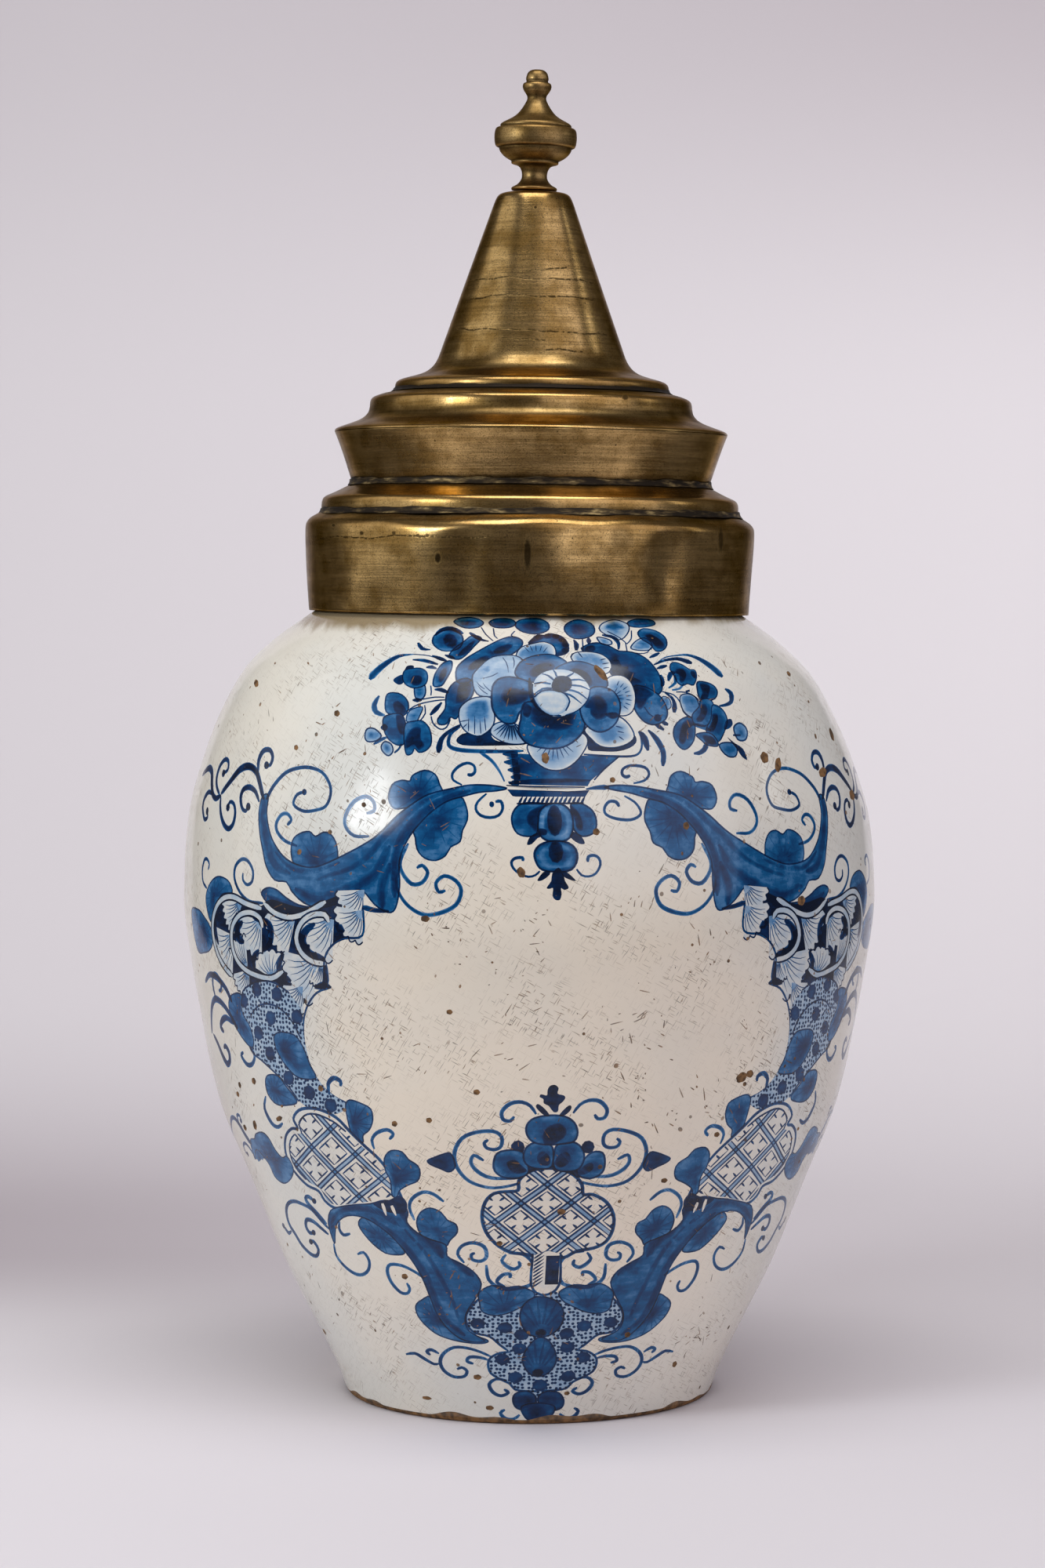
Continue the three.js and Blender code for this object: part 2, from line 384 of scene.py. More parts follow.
def ribbon_shape(paths, half_widths, across):
    """Points and triangles of brush lines. A point is the path's point plus its left normal times the half
    width there times a place across, from -1 to 1."""
    lines, steps = paths.shape[:2]
    way = np.gradient(paths, axis=1)
    way /= np.linalg.norm(way, axis=-1, keepdims=True) + 1e-9
    left = np.stack([-way[..., 1], way[..., 0]], axis=-1)
    side = np.broadcast_to(half_widths, (lines, steps))[..., None] * across
    points = paths[:, :, None] + left[:, :, None] * side[..., None]
    one = grid_triangles(steps, len(across))
    triangles = (one + np.arange(lines)[:, None, None] * steps * len(across)).reshape(-1, 3)
    gone = np.cumsum(np.linalg.norm(np.diff(paths, axis=1), axis=-1), axis=1)
    far = np.concatenate([np.zeros((lines, 1)), gone], axis=1)
    brush = np.stack([np.broadcast_to(far[..., None], side.shape), side], axis=-1)
    return points.reshape(-1, 2), triangles, brush.reshape(-1, 2)


def spread_shape(heart, edge, tones):
    """Points, triangles and cobalt of a touch that spreads from its heart to its edge. tones gives the
    cobalt at the heart and then on rings: a ring at a share of the way is the heart plus that share of the
    edge's offset."""
    shares, amounts = np.array(tones[1:], float).T
    rings = heart + shares[:, None, None] * (edge - heart)
    count = len(edge)
    step = np.arange(count)
    hub = np.stack([np.zeros(count, int), 1 + step, 1 + (step + 1) % count], axis=-1)
    triangles = np.vstack([hub, 1 + grid_triangles(len(shares), count, round_columns=True)])
    return (np.vstack([heart, rings.reshape(-1, 2)]), triangles,
            np.concatenate([[tones[0][1]], np.repeat(amounts, count)]))


class Brush:
    """The painter's hand on one side of the jar. The ornament is given for the left side, and flip -1
    mirrors it. The hand wanders a little, by slow sine waves of the place, so that the sides aren't exact
    mirrors, and it drifts sideways by degrees below the field."""

    def __init__(self, flip=1, wander=0.0, drift=0.0):
        self.flip = flip
        self.wander = wander
        self.drift = drift

    def place(self, points):
        p = np.asarray(points, float)
        u = p[..., 0] + self.wander * (np.sin(p[..., 1] / 13 + 1) + 0.5 * np.sin(p[..., 1] / 5))
        v = p[..., 1] + self.wander * (np.sin(p[..., 0] / 11 + 2) + 0.5 * np.sin(p[..., 0] / 4))
        return np.stack([u * self.flip + self.drift * (1 - smoothstep(110, 150, v)), v], axis=-1)

    def line(self, points, width=1.3, cobalt=1.25, across=None, closed=False, step=1.3, **how):
        """A brush line through points. width may be a list of widths along it, and its ends are rounded."""
        path = flowing(points, step, closed)
        if closed:
            path = np.vstack([path, path[:2]])
        far = distance_along(path)
        widths = np.interp(far, np.linspace(0, far[-1], len(np.atleast_1d(width))), np.atleast_1d(width))
        if not closed:
            ends = np.minimum(far, far[-1] - far) + 0.25
            widths *= np.sqrt(np.clip(ends / np.maximum(widths / 2, 0.3), 0, 1))
        cobalt = np.interp(far, np.linspace(0, far[-1], len(np.atleast_1d(cobalt))), np.atleast_1d(cobalt))
        broadest = np.max(widths)
        across = across or (HAIR if broadest < 1.0 else THIN if broadest < 2.2 else SOFT)
        places, shares = np.array(across).T
        shape, triangles, brush = ribbon_shape(path[None], widths / 2, places)
        return lay(self.place(shape), triangles, (cobalt[:, None] * shares).ravel(), brush, **how)

    def wash(self, outline, cobalt=1.0, straight=False, **how):
        """An even tone inside an outline, which is drawn round its points unless it is straight."""
        edge = np.asarray(outline, float) if straight else flowing(outline, 1.6, closed=True)
        fill = tessellate_polygon([[Vector((*p, 0)) for p in edge]])
        return lay(self.place(edge), np.array(fill), cobalt, edge, **how)

    def form(self, outline, cobalt=1.0, **how):
        """A wash with a darker drawn outline, such as a leaf or a petal. Gives the wash's number."""
        inside = self.wash(outline, cobalt, **how)
        self.line(outline, 0.6, 1.5, closed=True, step=1.6, inside=how.get("inside"))
        return inside

    def blot(self, outline, heart, tones, **how):
        """A touch that spreads from its heart to an outline."""
        edge = flowing(outline, 1.3, closed=True)
        shape, triangles, cobalt = spread_shape(np.array(heart, float), edge, tones)
        return lay(self.place(shape), triangles, cobalt, shape, **how)

    def petal(self, outline, heart, tones, pen=0.6, pen_cobalt=1.5, **how):
        """A blot with a fine drawn outline. Gives the blot's number."""
        inside = self.blot(outline, heart, tones, **how)
        self.line(outline, pen, pen_cobalt, closed=True, inside=how.get("inside"))
        return inside

    def dab(self, centre, size, tilt=0.0, tones=((0, 1.9), (0.45, 1.8), (0.7, 1.1), (1, 1.2)), lobes=0,
            **how):
        """A round touch: an ellipse of half sizes size, tilted, whose edge may swell into lobes. tones
        gives the cobalt at shares of the way from its middle to its edge."""
        around = max(9, 4 * lobes, int(2.2 * max(size)))
        angle = np.arange(around) / around * 2 * math.pi
        swell = 1 + (0.12 * np.abs(np.cos(angle * lobes / 2)) - 0.06 if lobes else 0)
        a = math.radians(tilt)
        ellipse = np.stack([size[0] * swell * np.cos(angle), size[1] * swell * np.sin(angle)], axis=-1)
        ellipse = ellipse @ np.array([[math.cos(a), math.sin(a)], [-math.sin(a), math.cos(a)]])
        shape, triangles, cobalt = spread_shape(np.array(centre, float), centre + ellipse, tones)
        return lay(self.place(shape), triangles, cobalt, shape, **how)

    def strokes(self, starts, ends, width=0.6, cobalt=1.3, bow=0.0, **how):
        """Many short strokes from starts to ends, which swell in the middle and may bow to their left."""
        starts, ends = np.asarray(starts, float), np.asarray(ends, float)
        t = np.linspace(0, 1, 4)[:, None]
        way = ends - starts
        left = np.stack([-way[:, 1], way[:, 0]], axis=-1)
        paths = starts[:, None] + way[:, None] * t + bow * left[:, None] * (4 * t * (1 - t))
        shape, triangles, brush = ribbon_shape(paths, width / 2 * np.array([0.7, 1, 0.8, 0.25]),
                                               np.array([-1, 1]))
        return lay(self.place(shape), triangles, cobalt, brush, **how)

    def hatch(self, spine, reach, spacing, lean, **how):
        """Short strokes off a spine line, all leaning the same way: each leaves it at lean degrees from the
        spine's own direction, to the left for a positive lean, and is reach long."""
        path = flowing(spine, 0.8)
        far = distance_along(path)
        at = np.arange(spacing * 0.6, far[-1] - spacing * 0.3, spacing)
        base = np.stack([np.interp(at, far, path[:, k]) for k in (0, 1)], axis=-1)
        ahead = np.stack([np.interp(at + 0.5, far, path[:, k]) for k in (0, 1)], axis=-1)
        way = (ahead - base) / (np.linalg.norm(ahead - base, axis=-1, keepdims=True) + 1e-9)
        a = math.radians(lean)
        out = way @ np.array([[math.cos(a), math.sin(a)], [-math.sin(a), math.cos(a)]])
        return self.strokes(base, base + out * reach, **how)

    def rays(self, centre, first, last, near, far, count, **how):
        """Strokes like a fan's ribs, from the angle first to last, between the distances near and far."""
        angle = np.radians(np.linspace(first, last, count))
        way = np.stack([np.cos(angle), np.sin(angle)], axis=-1)
        return self.strokes(centre + way * near, centre + way * far, **how)


left, right = Brush(), Brush(-1, wander=0.5, drift=-2.8)

# %% [markdown]
# ## The ornament, part by part
# It is the old cartouche pattern of the tobacco trade: a bare field framed by leaf scrolls, shell work and
# lattice, a basket of flowers above and a fleuron below. The field stays bare. Places are read off the
# chart, in millimetres, and what the painter mirrored is written down once. The amounts of cobalt have
# names, as a painter keeps pots of thin and thick colour.

# %% Strengths of colour
MIDDLE = 0.95
DEEP = 1.5
DARK = 2.2
FULL_PETAL = ((0, 1.1), (0.5, 1.05), (0.85, 0.75), (1, 0.9))  # thin where the brush was pulled outwards
PALE_PETAL = ((0, 0.5), (0.45, 0.36), (0.8, 0.18), (1, 0.1))
CORE = ((0, 1.6), (0.75, 1.4), (1, 0.0))  # a second, thick touch into a wet petal

# %% Basket and its foot


def basket(hand):
    """A low basket: a cup with ragged weave on its left, rim boards, a roped foot and the stems."""
    cup = hand.wash([(-15.5, 259.6), (-15, 254), (-14.6, 248.4), (12, 249.6), (16.5, 253.4), (23, 258.6)],
                    MIDDLE, straight=True)
    hand.blot([(-15, 259), (-14.6, 250), (-8, 250), (-6, 256), (-9, 259.4)], (-13, 254), ((0, 0.7), (1, 0)),
              inside=cup)
    hand.blot([(0, 252), (6, 250), (10, 252), (9, 257), (3, 256)], (6, 253), ((0, 0.4), (1, 0)), inside=cup)
    hand.strokes([(-13, 259.2), (-13, 256.4), (-12.4, 253.6), (-12.4, 251), (-13, 249)],
                 [(-18.4, 259.4), (-18, 256.4), (-16.8, 253.6), (-15.8, 251), (-16.2, 248.8)], width=2.4,
                 cobalt=1.2)
    hand.strokes([(-12.6, 257.8), (-12.4, 255), (-12, 252.2)], [(-17, 257.9), (-16, 255), (-15.2, 252.2)],
                 width=1.2, cobalt=0.8)
    hand.line([(13.4, 250), (17, 253.8), (23, 258.8)], 0.6, DEEP)
    hand.wash([(-16.4, 248.4), (-16.8, 249.4), (-8, 250.4), (4, 250.6), (12.4, 250.2), (11, 247.8)], 1.2,
              straight=True)
    hand.line([(-17.4, 248), (-8, 247.7), (0, 247.6), (10, 247.4)], 0.5, DARK)
    hand.wash([(-16.8, 247.6), (9.8, 247), (9.6, 245.8), (-16, 246.4)], 0.03, straight=True, hides=True)
    hand.wash([(-17.2, 246.6), (-15.4, 244.2), (-13.6, 243.9), (10, 243.9), (11.6, 246.4), (4, 246)], 1.5,
              straight=True, hides=True)
    rope = hand.wash([(-14.6, 244), (-13.6, 241.6), (9.4, 241.6), (10.4, 244)], 0.03, straight=True,
                     hides=True)
    hand.hatch([(-14.2, 241.4), (10, 241.4)], 3.2, 1.55, 62, width=0.95, cobalt=DEEP, inside=rope)
    hand.line([(-14, 241.5), (9.4, 241.7)], 0.7, DARK)
    hand.line([(-33, 269.4), (-36.6, 266.4), (-37.4, 262.4), (-34.4, 260.8), (-28, 260.3), (-18, 260.3),
               (-11, 260.6)], (0.9, 1.7, 1.5, 1.0), DEEP)
    hand.wash([(-34.6, 264.4), (-32.4, 266.6), (-29, 267.2), (-26, 266.6), (-23, 268.8), (-21.8, 268),
               (-22, 265.8), (-19.4, 264), (-11, 263.8), (-11, 262.8), (-20, 262.4), (-30, 262.2),
               (-33.6, 262.8)], DARK * 1.1)
    hand.wash([(9.4, 267.4), (11.4, 268), (13.4, 265), (14.6, 263), (19, 261.9), (24, 262.8), (26.4, 265.6),
               (27.4, 266.8), (29.2, 266), (29.2, 263.6), (26.6, 261.6), (22, 260.4), (16, 260.5),
               (11.8, 261), (11.4, 264)], DARK)
    hand.line([(10, 259.4), (18, 258.8), (27, 258.6), (30.4, 260), (31.4, 263), (31, 266.4)],
              (0.7, 0.9, 0.8), DEEP)
    hand.line([(-26.4, 260), (-22.4, 257), (-19.6, 253), (-18, 249.4)], (1.4, 1.2, 0.6), MIDDLE * 1.2)
    stems = (
        [(-33, 248), (-36, 249.6), (-36.3, 252), (-34, 254.6), (-31, 255.9), (-28.6, 255), (-28.3, 252.8),
         (-29.6, 251.6), (-31, 251.8)],
        [(27.6, 248.7), (31.6, 249.6), (33.6, 252), (32, 254.5), (27, 255.2), (24, 254), (23.6, 252),
         (25, 251), (26.5, 251.6)],
        [(-24.4, 245), (-27.6, 242), (-28.3, 239.4), (-26.6, 237.2), (-23.4, 236.5), (-20.4, 237.3),
         (-18.9, 239.8), (-19.5, 242.3), (-21.4, 242.1)],
        [(24, 244.2), (27.6, 242), (29.7, 239), (29.3, 237), (26, 235.6), (21, 236), (17.2, 237.6),
         (16.7, 240), (18.5, 242.2), (21, 242), (22, 240.3)],
    )
    for stem in stems:
        hand.line(stem, (0.8, 1.0, 1.2, 1.0, 1.4), DEEP)
    hand.dab((-22.7, 241.2), (0.9, 1.1), 0, ((0, DARK), (1, DEEP)))


basket(left)

# %% Pendant under the basket


def pendant(hand):
    """A bellflower: two side lobes, a bulb with a dark oval, a smaller bulb and a leafed tip."""
    left_lobe = hand.petal([(-12, 241.6), (-15.4, 238.4), (-15.8, 234.4), (-14, 231), (-10.6, 230),
                            (-7.6, 230.6), (-6.6, 234), (-6.4, 238.4), (-4, 241.4)], (-12, 235.4),
                           FULL_PETAL)
    hand.blot([(-7.4, 231.4), (-10.2, 234), (-10.8, 236.8), (-9, 239.4), (-5, 241.2), (-3, 240.4), (-6, 238),
               (-6.6, 234)], (-8, 237), CORE, inside=left_lobe)
    right_lobe = hand.petal([(5, 241.6), (9, 241.4), (12.4, 239), (13.7, 235.4), (13, 231.6), (10, 230),
                             (7.4, 230.4), (5.4, 233), (5, 238)], (10, 235.4), FULL_PETAL)
    hand.blot([(4.4, 240), (5.8, 236), (6.8, 232.4), (8.8, 232), (8.8, 235.4), (7.2, 239), (4.4, 241.4)],
              (7, 236), CORE, inside=right_lobe)
    hand.wash([(-10.8, 227.2), (-9.6, 230), (-7, 231.4), (-5, 232.4), (-4.4, 230.4), (-7, 229.4),
               (-9, 227.4)], DARK)
    hand.wash([(9.4, 227.6), (8, 230.2), (6, 231.4), (4.2, 231.8), (4.6, 229.4), (7.4, 227.4)], DARK)
    bulb = hand.petal([(-6.7, 235), (-6, 238.8), (-3, 241.4), (1.6, 241.4), (4.6, 239), (5.5, 235), (5, 231),
                       (3, 228.6), (-2, 228), (-5.4, 229.4), (-6.8, 232)], (-1, 235),
                      ((0, 1.2), (0.5, 1.0), (0.7, 0.45), (0.9, 0.55), (1, 1.5)), hides=True)
    hand.dab((-1, 235.6), (2.7, 5.6), 0, ((0, 1.6), (0.85, 1.5), (1, 0.6)), inside=bulb)
    hand.blot([(-7, 230.6), (-4, 230.4), (-3.8, 232.4), (-6.6, 232.8)], (-5.4, 231.6), CORE, inside=bulb)
    lower = hand.petal([(-8.4, 223), (-7.6, 226), (-5, 227.8), (-1, 228.5), (3.6, 227.8), (6.2, 225.6),
                        (6.8, 222.4), (5.6, 219.4), (3, 217.8), (-3, 217.8), (-6.6, 219)], (-0.8, 223),
                       ((0, 1.2), (0.4, 1.0), (0.7, 0.6), (0.9, 1.0), (1, DARK)), hides=True)
    hand.dab((-0.8, 224.6), (2.7, 4), 0, ((0, 1.7), (0.85, 1.6), (1, 0.4)), inside=lower)
    hand.wash([(-7.4, 214.8), (-5.2, 217.7), (-3, 218), (-3.2, 216.6), (-5.6, 214.8)], DARK)
    hand.wash([(1.2, 217.8), (3, 217.5), (6, 214.6), (4, 214.9), (1.4, 216.2)], DARK)
    hand.wash([(-4.2, 212.2), (-2.6, 214.6), (-2.2, 217.2), (0, 219.2), (1.6, 217), (2.2, 214.6),
               (3.5, 212.2), (2, 211.4), (0.8, 212), (1, 210), (0.4, 208), (-1.2, 208), (-2.2, 209.4),
               (-2, 212), (-3.2, 211.8)], DARK)
    curls = (
        [(-6.5, 218), (-8, 216.6), (-10.5, 216), (-13.5, 217), (-15.7, 219), (-16.3, 221), (-15, 222.4),
         (-12.5, 222.6), (-12.3, 221.4)],
        [(6.3, 218.6), (8, 216.5), (10.5, 216), (13, 217), (14.7, 220), (14.2, 222.3), (12.5, 223.3),
         (10.5, 222.8), (10.3, 221)],
    )
    for curl in curls:
        hand.line(curl, (0.8, 0.9, 1.3), DEEP)


pendant(left)

# %% Behind the bouquet


def drops(hand, paths, width=(0.7, 2.0, 1.6), cobalt=DEEP):
    """Single touches of a full brush: thin where it lands and full where it is lifted."""
    for path in paths:
        hand.line(path, width, cobalt)


def bouquet_back(hand):
    """What stands behind the big flower: blossoms half hidden by the cover, drops, arches and leaves."""
    for heart, tone, outline in (
        ((-29, 317.4), 1.0, [(-34, 318), (-31, 320.6), (-26, 320.6), (-23, 318), (-25, 315), (-30, 314.4)]),
        ((-16, 317.6), 1.5,
         [(-21, 318), (-18, 320.4), (-13, 320.2), (-11.4, 317.4), (-14, 315), (-19, 315)]),
        ((-5, 316), 1.3,
         [(-11.6, 316), (-10, 319.6), (-4, 321), (0, 318.4), (0, 314), (-4, 311.4), (-9, 312.4)]),
        ((11, 315), 1.3,
         [(6, 313), (6.6, 317.4), (11, 320.4), (16, 318), (16.8, 313), (14, 309.6), (9, 309)]),
        ((35, 318.6), 1.2, [(30, 319), (34, 321), (40, 320.4), (41, 317.6), (36, 316), (31, 316.4)]),
    ):
        hand.petal(outline, heart, ((0, DARK), (0.4, tone * 1.2), (0.7, tone * 0.7), (1, tone * 0.7)), 0.6)
    hand.petal([(19, 313.6), (20, 318), (25, 320.4), (30, 317.6), (29.4, 312.4), (25.4, 308.4)], (24, 315),
               PALE_PETAL, 0.6)
    hand.blot([(20, 316), (25, 319.6), (29, 316.4), (25, 313.6)], (25, 317), ((0, 0.9), (1, 0)))
    hand.petal([(-42.4, 305), (-41.8, 309.6), (-38.6, 312.6), (-34.6, 312.8), (-31.2, 309.8), (-31.4, 304.8),
                (-34, 301.8), (-39, 301.4)], (-36, 306.6), FULL_PETAL, 0.6)
    hand.dab((-35.8, 306.8), (2.9, 4.5), 6, ((0, 1.7), (0.7, 1.5), (1, 0)))
    drops(hand, ([(-41.4, 309.6), (-39, 312.8), (-35, 314), (-30.8, 310.8)],), (1.2, 2.6, 2.2), DARK)
    hand.petal([(-36.4, 298.6), (-34.4, 302.6), (-30.6, 306.6), (-27.4, 310), (-24.2, 308.6), (-27, 304),
                (-30, 299.6), (-33, 297)], (-30, 303.6), FULL_PETAL, 0.6)
    hand.blot([(-33.6, 298.6), (-31, 303), (-26.6, 307.6), (-27.6, 303.6), (-30.4, 299.4)], (-30, 302.6),
              CORE)
    drops(hand, (
        [(-21.6, 306.8), (-25, 308), (-28.4, 311.8)], [(-43.4, 301.8), (-46.6, 302.2), (-48.2, 305.4)],
        [(-42.8, 298.8), (-40.4, 297.6), (-37.4, 296.2)], [(-38, 299.2), (-35.4, 298), (-34.4, 297.4)],
        [(8.8, 308.4), (9.6, 305.6), (9.3, 302.4)], [(14.3, 309.6), (14.2, 306)], [(8, 301), (7.8, 297.4)],
        [(24.9, 303), (25.3, 306.2), (23.6, 309.8), (19.4, 311.2)],
    ), cobalt=DARK)
    hand.petal([(17.4, 309.6), (19.6, 309.6), (22.4, 308), (22.4, 305.8), (19, 306)], (20, 307.4),
               PALE_PETAL, 0.7)
    hand.petal([(33.4, 312.6), (36, 315.2), (41, 313.8), (44.4, 310), (44.6, 305.6), (42.4, 302.6),
                (39.6, 302.4), (37.6, 306), (34.4, 309)], (38.4, 309), FULL_PETAL, 0.6)
    hand.blot([(35.8, 311), (38.4, 312.4), (43.4, 307), (43.4, 303.6), (40.4, 303.6), (38.4, 307)],
              (40, 308), CORE)
    hand.petal([(29.8, 303.8), (32.4, 308), (35.8, 309.6), (38.2, 307), (37.8, 303.4), (34, 302.6)],
               (35, 306), ((0, 0.8), (0.6, 0.5), (1, 0.1)), 0.6)
    for line in (
        [(12, 309), (11.8, 302)], [(28, 306.6), (28.2, 302)], [(21.6, 313.4), (26, 309.6), (28.4, 306.2)],
        [(31, 314), (30.4, 309), (28.4, 306)], [(28.6, 302), (33, 301), (36, 301.6), (38, 304.4)],
        [(-24, 315), (-22.4, 310.6), (-20, 307)], [(-19.6, 314.6), (-19.4, 310), (-18.4, 308.4)],
        [(-12, 313), (-13.4, 310.4), (-12, 309.4)], [(-50, 299.2), (-44, 298.6), (-38, 296)],
        [(-47, 279.4), (-42, 280.4), (-38.6, 280.4)],
        [(-53, 274.6), (-48.4, 277.4), (-42, 279), (-38.4, 279.4)],
        [(-46, 277.2), (-45.8, 274), (-47.6, 271.4)], [(-43.6, 285), (-43.4, 282.6), (-43.6, 281)],
        [(40.4, 283.4), (45, 282), (47.4, 279), (48.4, 275.4), (50.6, 273.2)],
        [(46, 283.2), (50, 283), (54, 281), (55.6, 277)],
    ):
        hand.line(line, 0.55, DEEP)
    hand.line([(-50, 299.2), (-56, 298), (-62, 293.6), (-67, 288.4), (-68, 286.8)], (0.6, 2.0, 2.8, 3.2),
              1.15)
    hand.line([(40, 296.8), (43, 299), (48, 300), (53, 300.2), (58, 298), (63, 294), (67.4, 289.4)],
              (0.5, 0.8, 1.6, 2.8, 3.0), 1.25)
    drops(hand, ([(38, 295.3), (43, 297.6), (48, 298.3), (51, 297.4), (54.2, 296)],), (0.9, 1.6, 2.6), DARK)
    drops(hand, ([(-50.4, 296.4), (-46, 296.2), (-40.6, 294.4)], [(39, 293.4), (41, 294.2), (43.4, 294.9)],
                 [(36.6, 298.8), (41, 301.4)], [(-45.2, 292.8), (-43, 293.1), (-41.2, 292.4)],
                 [(-42.2, 283.4), (-39.8, 283.4), (-37, 282.2)], [(-50.6, 279), (-47, 279.2)],
                 [(-39.6, 278.4), (-41.6, 276), (-44, 273.4)]), (0.8, 1.9, 1.2), DARK)
    drops(hand, ([(41.4, 283), (44, 281), (45, 278.4), (44.7, 275)],), (0.7, 1.4, 2.8), DARK)
    drops(hand, ([(50, 283.3), (51.8, 283.8)], [(36.6, 270.8), (40.2, 268.4)], [(39.4, 271.4), (42, 270.4)],
                 [(40.3, 290.6), (40.9, 287.4), (40.4, 285.4)]), (1.4, 1.8, 1.6), DARK)
    drops(hand, ([(30.4, 268), (32.4, 265.4), (33.6, 260.6)],), (1.6, 2.8, 1.6), DARK)
    hand.line([(34, 268.4), (37, 265), (39.4, 260), (39, 254.8)], (1.0, 2.4, 2.2, 2.0), DEEP)
    drops(hand, ([(-33, 270), (-37, 267.5), (-40, 264.4), (-41.3, 259.4)],), (0.9, 1.5, 2.7), DARK)
    hand.petal([(-42.6, 285), (-41.8, 290), (-38.8, 295), (-35.6, 296.2), (-35.8, 292), (-38, 287.4),
                (-39.6, 285)], (-39.4, 290), FULL_PETAL, 0.6)
    hand.dab((-39, 289.6), (1.4, 3.7), -20, ((0, 1.6), (0.7, 1.4), (1, 0)))


bouquet_back(left)

# %% Side sprays


def left_spray(hand):
    """The blossoms that hang out to the left, from the small one at the top to the buds at the tip."""
    hand.blot([(-58.2, 286.8), (-56, 288.8), (-53.8, 289.2), (-54, 286), (-56, 285)], (-55.6, 287),
              ((0, DARK), (0.8, DEEP), (1, 1.0)))
    hand.blot([(-53.6, 290.8), (-52.6, 293.3), (-50, 293.5), (-50.4, 291), (-52.4, 290.2)], (-51.8, 292),
              ((0, DARK), (0.8, DARK), (1, DEEP)))
    hand.petal([(-49.6, 284.4), (-49.4, 280), (-47, 279.6), (-45.6, 282), (-46.2, 285.6)], (-48.4, 282.4),
               ((0, 0.8), (0.6, 0.6), (1, 0.3)), 0.6)
    hand.petal([(-54.4, 288.4), (-53.4, 291.4), (-50.4, 292.2), (-47.6, 292.5), (-45.2, 291), (-44.7, 288),
                (-46, 285), (-50, 283.8), (-53.4, 285.4)], (-49.4, 288), FULL_PETAL, 0.5, hides=True)
    hand.blot([(-51.4, 286.4), (-50.8, 288.8), (-48.8, 289.4), (-46.9, 288.8), (-46.8, 286.4), (-48.2, 284.8),
               (-50.4, 284.8)], (-49, 287.2), CORE)
    hand.petal([(-53, 271), (-51.6, 275), (-46.8, 276.4), (-48.4, 272), (-49.6, 270)], (-50, 273),
               ((0, 0.7), (0.6, 0.5), (1, 0.4)), 0.5)
    hand.petal([(-61.4, 278), (-60.6, 281), (-58, 281.8), (-54.6, 281), (-52.2, 278), (-52.4, 275),
                (-54, 273), (-58, 272.8), (-61, 274.4)], (-57, 277.4), FULL_PETAL, 0.5)
    hand.blot([(-58.4, 277.4), (-56.4, 278.8), (-53.6, 276.6), (-52.6, 274), (-55, 272.6), (-57.6, 274.4)],
              (-55.6, 275.8), CORE)
    hand.petal([(-62, 272), (-62, 268), (-60.4, 264.4), (-57, 262), (-54, 262.4), (-52.8, 267), (-54.4, 273),
                (-58, 273.6)], (-58.4, 268.4), FULL_PETAL, 0.5, hides=True)
    hand.blot([(-57, 273.4), (-54, 273), (-52.8, 268), (-54.6, 265.4), (-56.6, 268)], (-55, 269.6), CORE)
    hand.petal([(-53.2, 270), (-50, 271), (-47, 271.2), (-44.4, 268.6), (-43.6, 265), (-44, 262), (-46, 260),
                (-48.4, 259.4), (-50, 260.8), (-51, 259), (-53, 258.4), (-53.8, 261.4), (-54, 266)],
               (-48, 265.4), FULL_PETAL, 0.5, hides=True)
    hand.blot([(-50.4, 268.8), (-47.4, 268.6), (-47.6, 265), (-46.2, 262), (-48.4, 260), (-50.4, 262),
               (-53.6, 260.4), (-53.6, 264.6)], (-49.8, 264.4), CORE)
    drops(hand, ([(-61.4, 272.8), (-65, 274), (-65.8, 277), (-63.8, 280.4)],), (1.2, 2.6, 1.2), MIDDLE * 1.2)
    hand.blot([(-63.2, 268.2), (-61.6, 269.7), (-60.2, 268.5), (-61.4, 266.9)], (-61.6, 268.4),
              ((0, DEEP), (0.8, DEEP), (1, 1.0)))
    hand.petal([(-69.6, 265), (-68.6, 267.6), (-65.6, 267.7), (-62.8, 265.2), (-65, 263.2), (-68.6, 262.9)],
               (-67, 265.4), ((0, 0.8), (0.5, 0.4), (0.85, 0.3), (1, 0.8)), 0.6)
    hand.petal([(-63, 261), (-61.6, 263), (-59, 262.2), (-58.3, 259.6), (-60, 257.9), (-62, 259)],
               (-60.8, 260.8), ((0, 1.1), (0.5, 0.5), (0.85, 0.3), (1, 0.8)), 0.6)
    drops(hand, ([(-60.4, 264.8), (-63, 263.7), (-66, 261.9)],), (0.8, 1.5, 0.9), DEEP)
    hand.line([(-57.8, 259), (-56, 260.5), (-55, 262.4)], 0.8, DEEP)


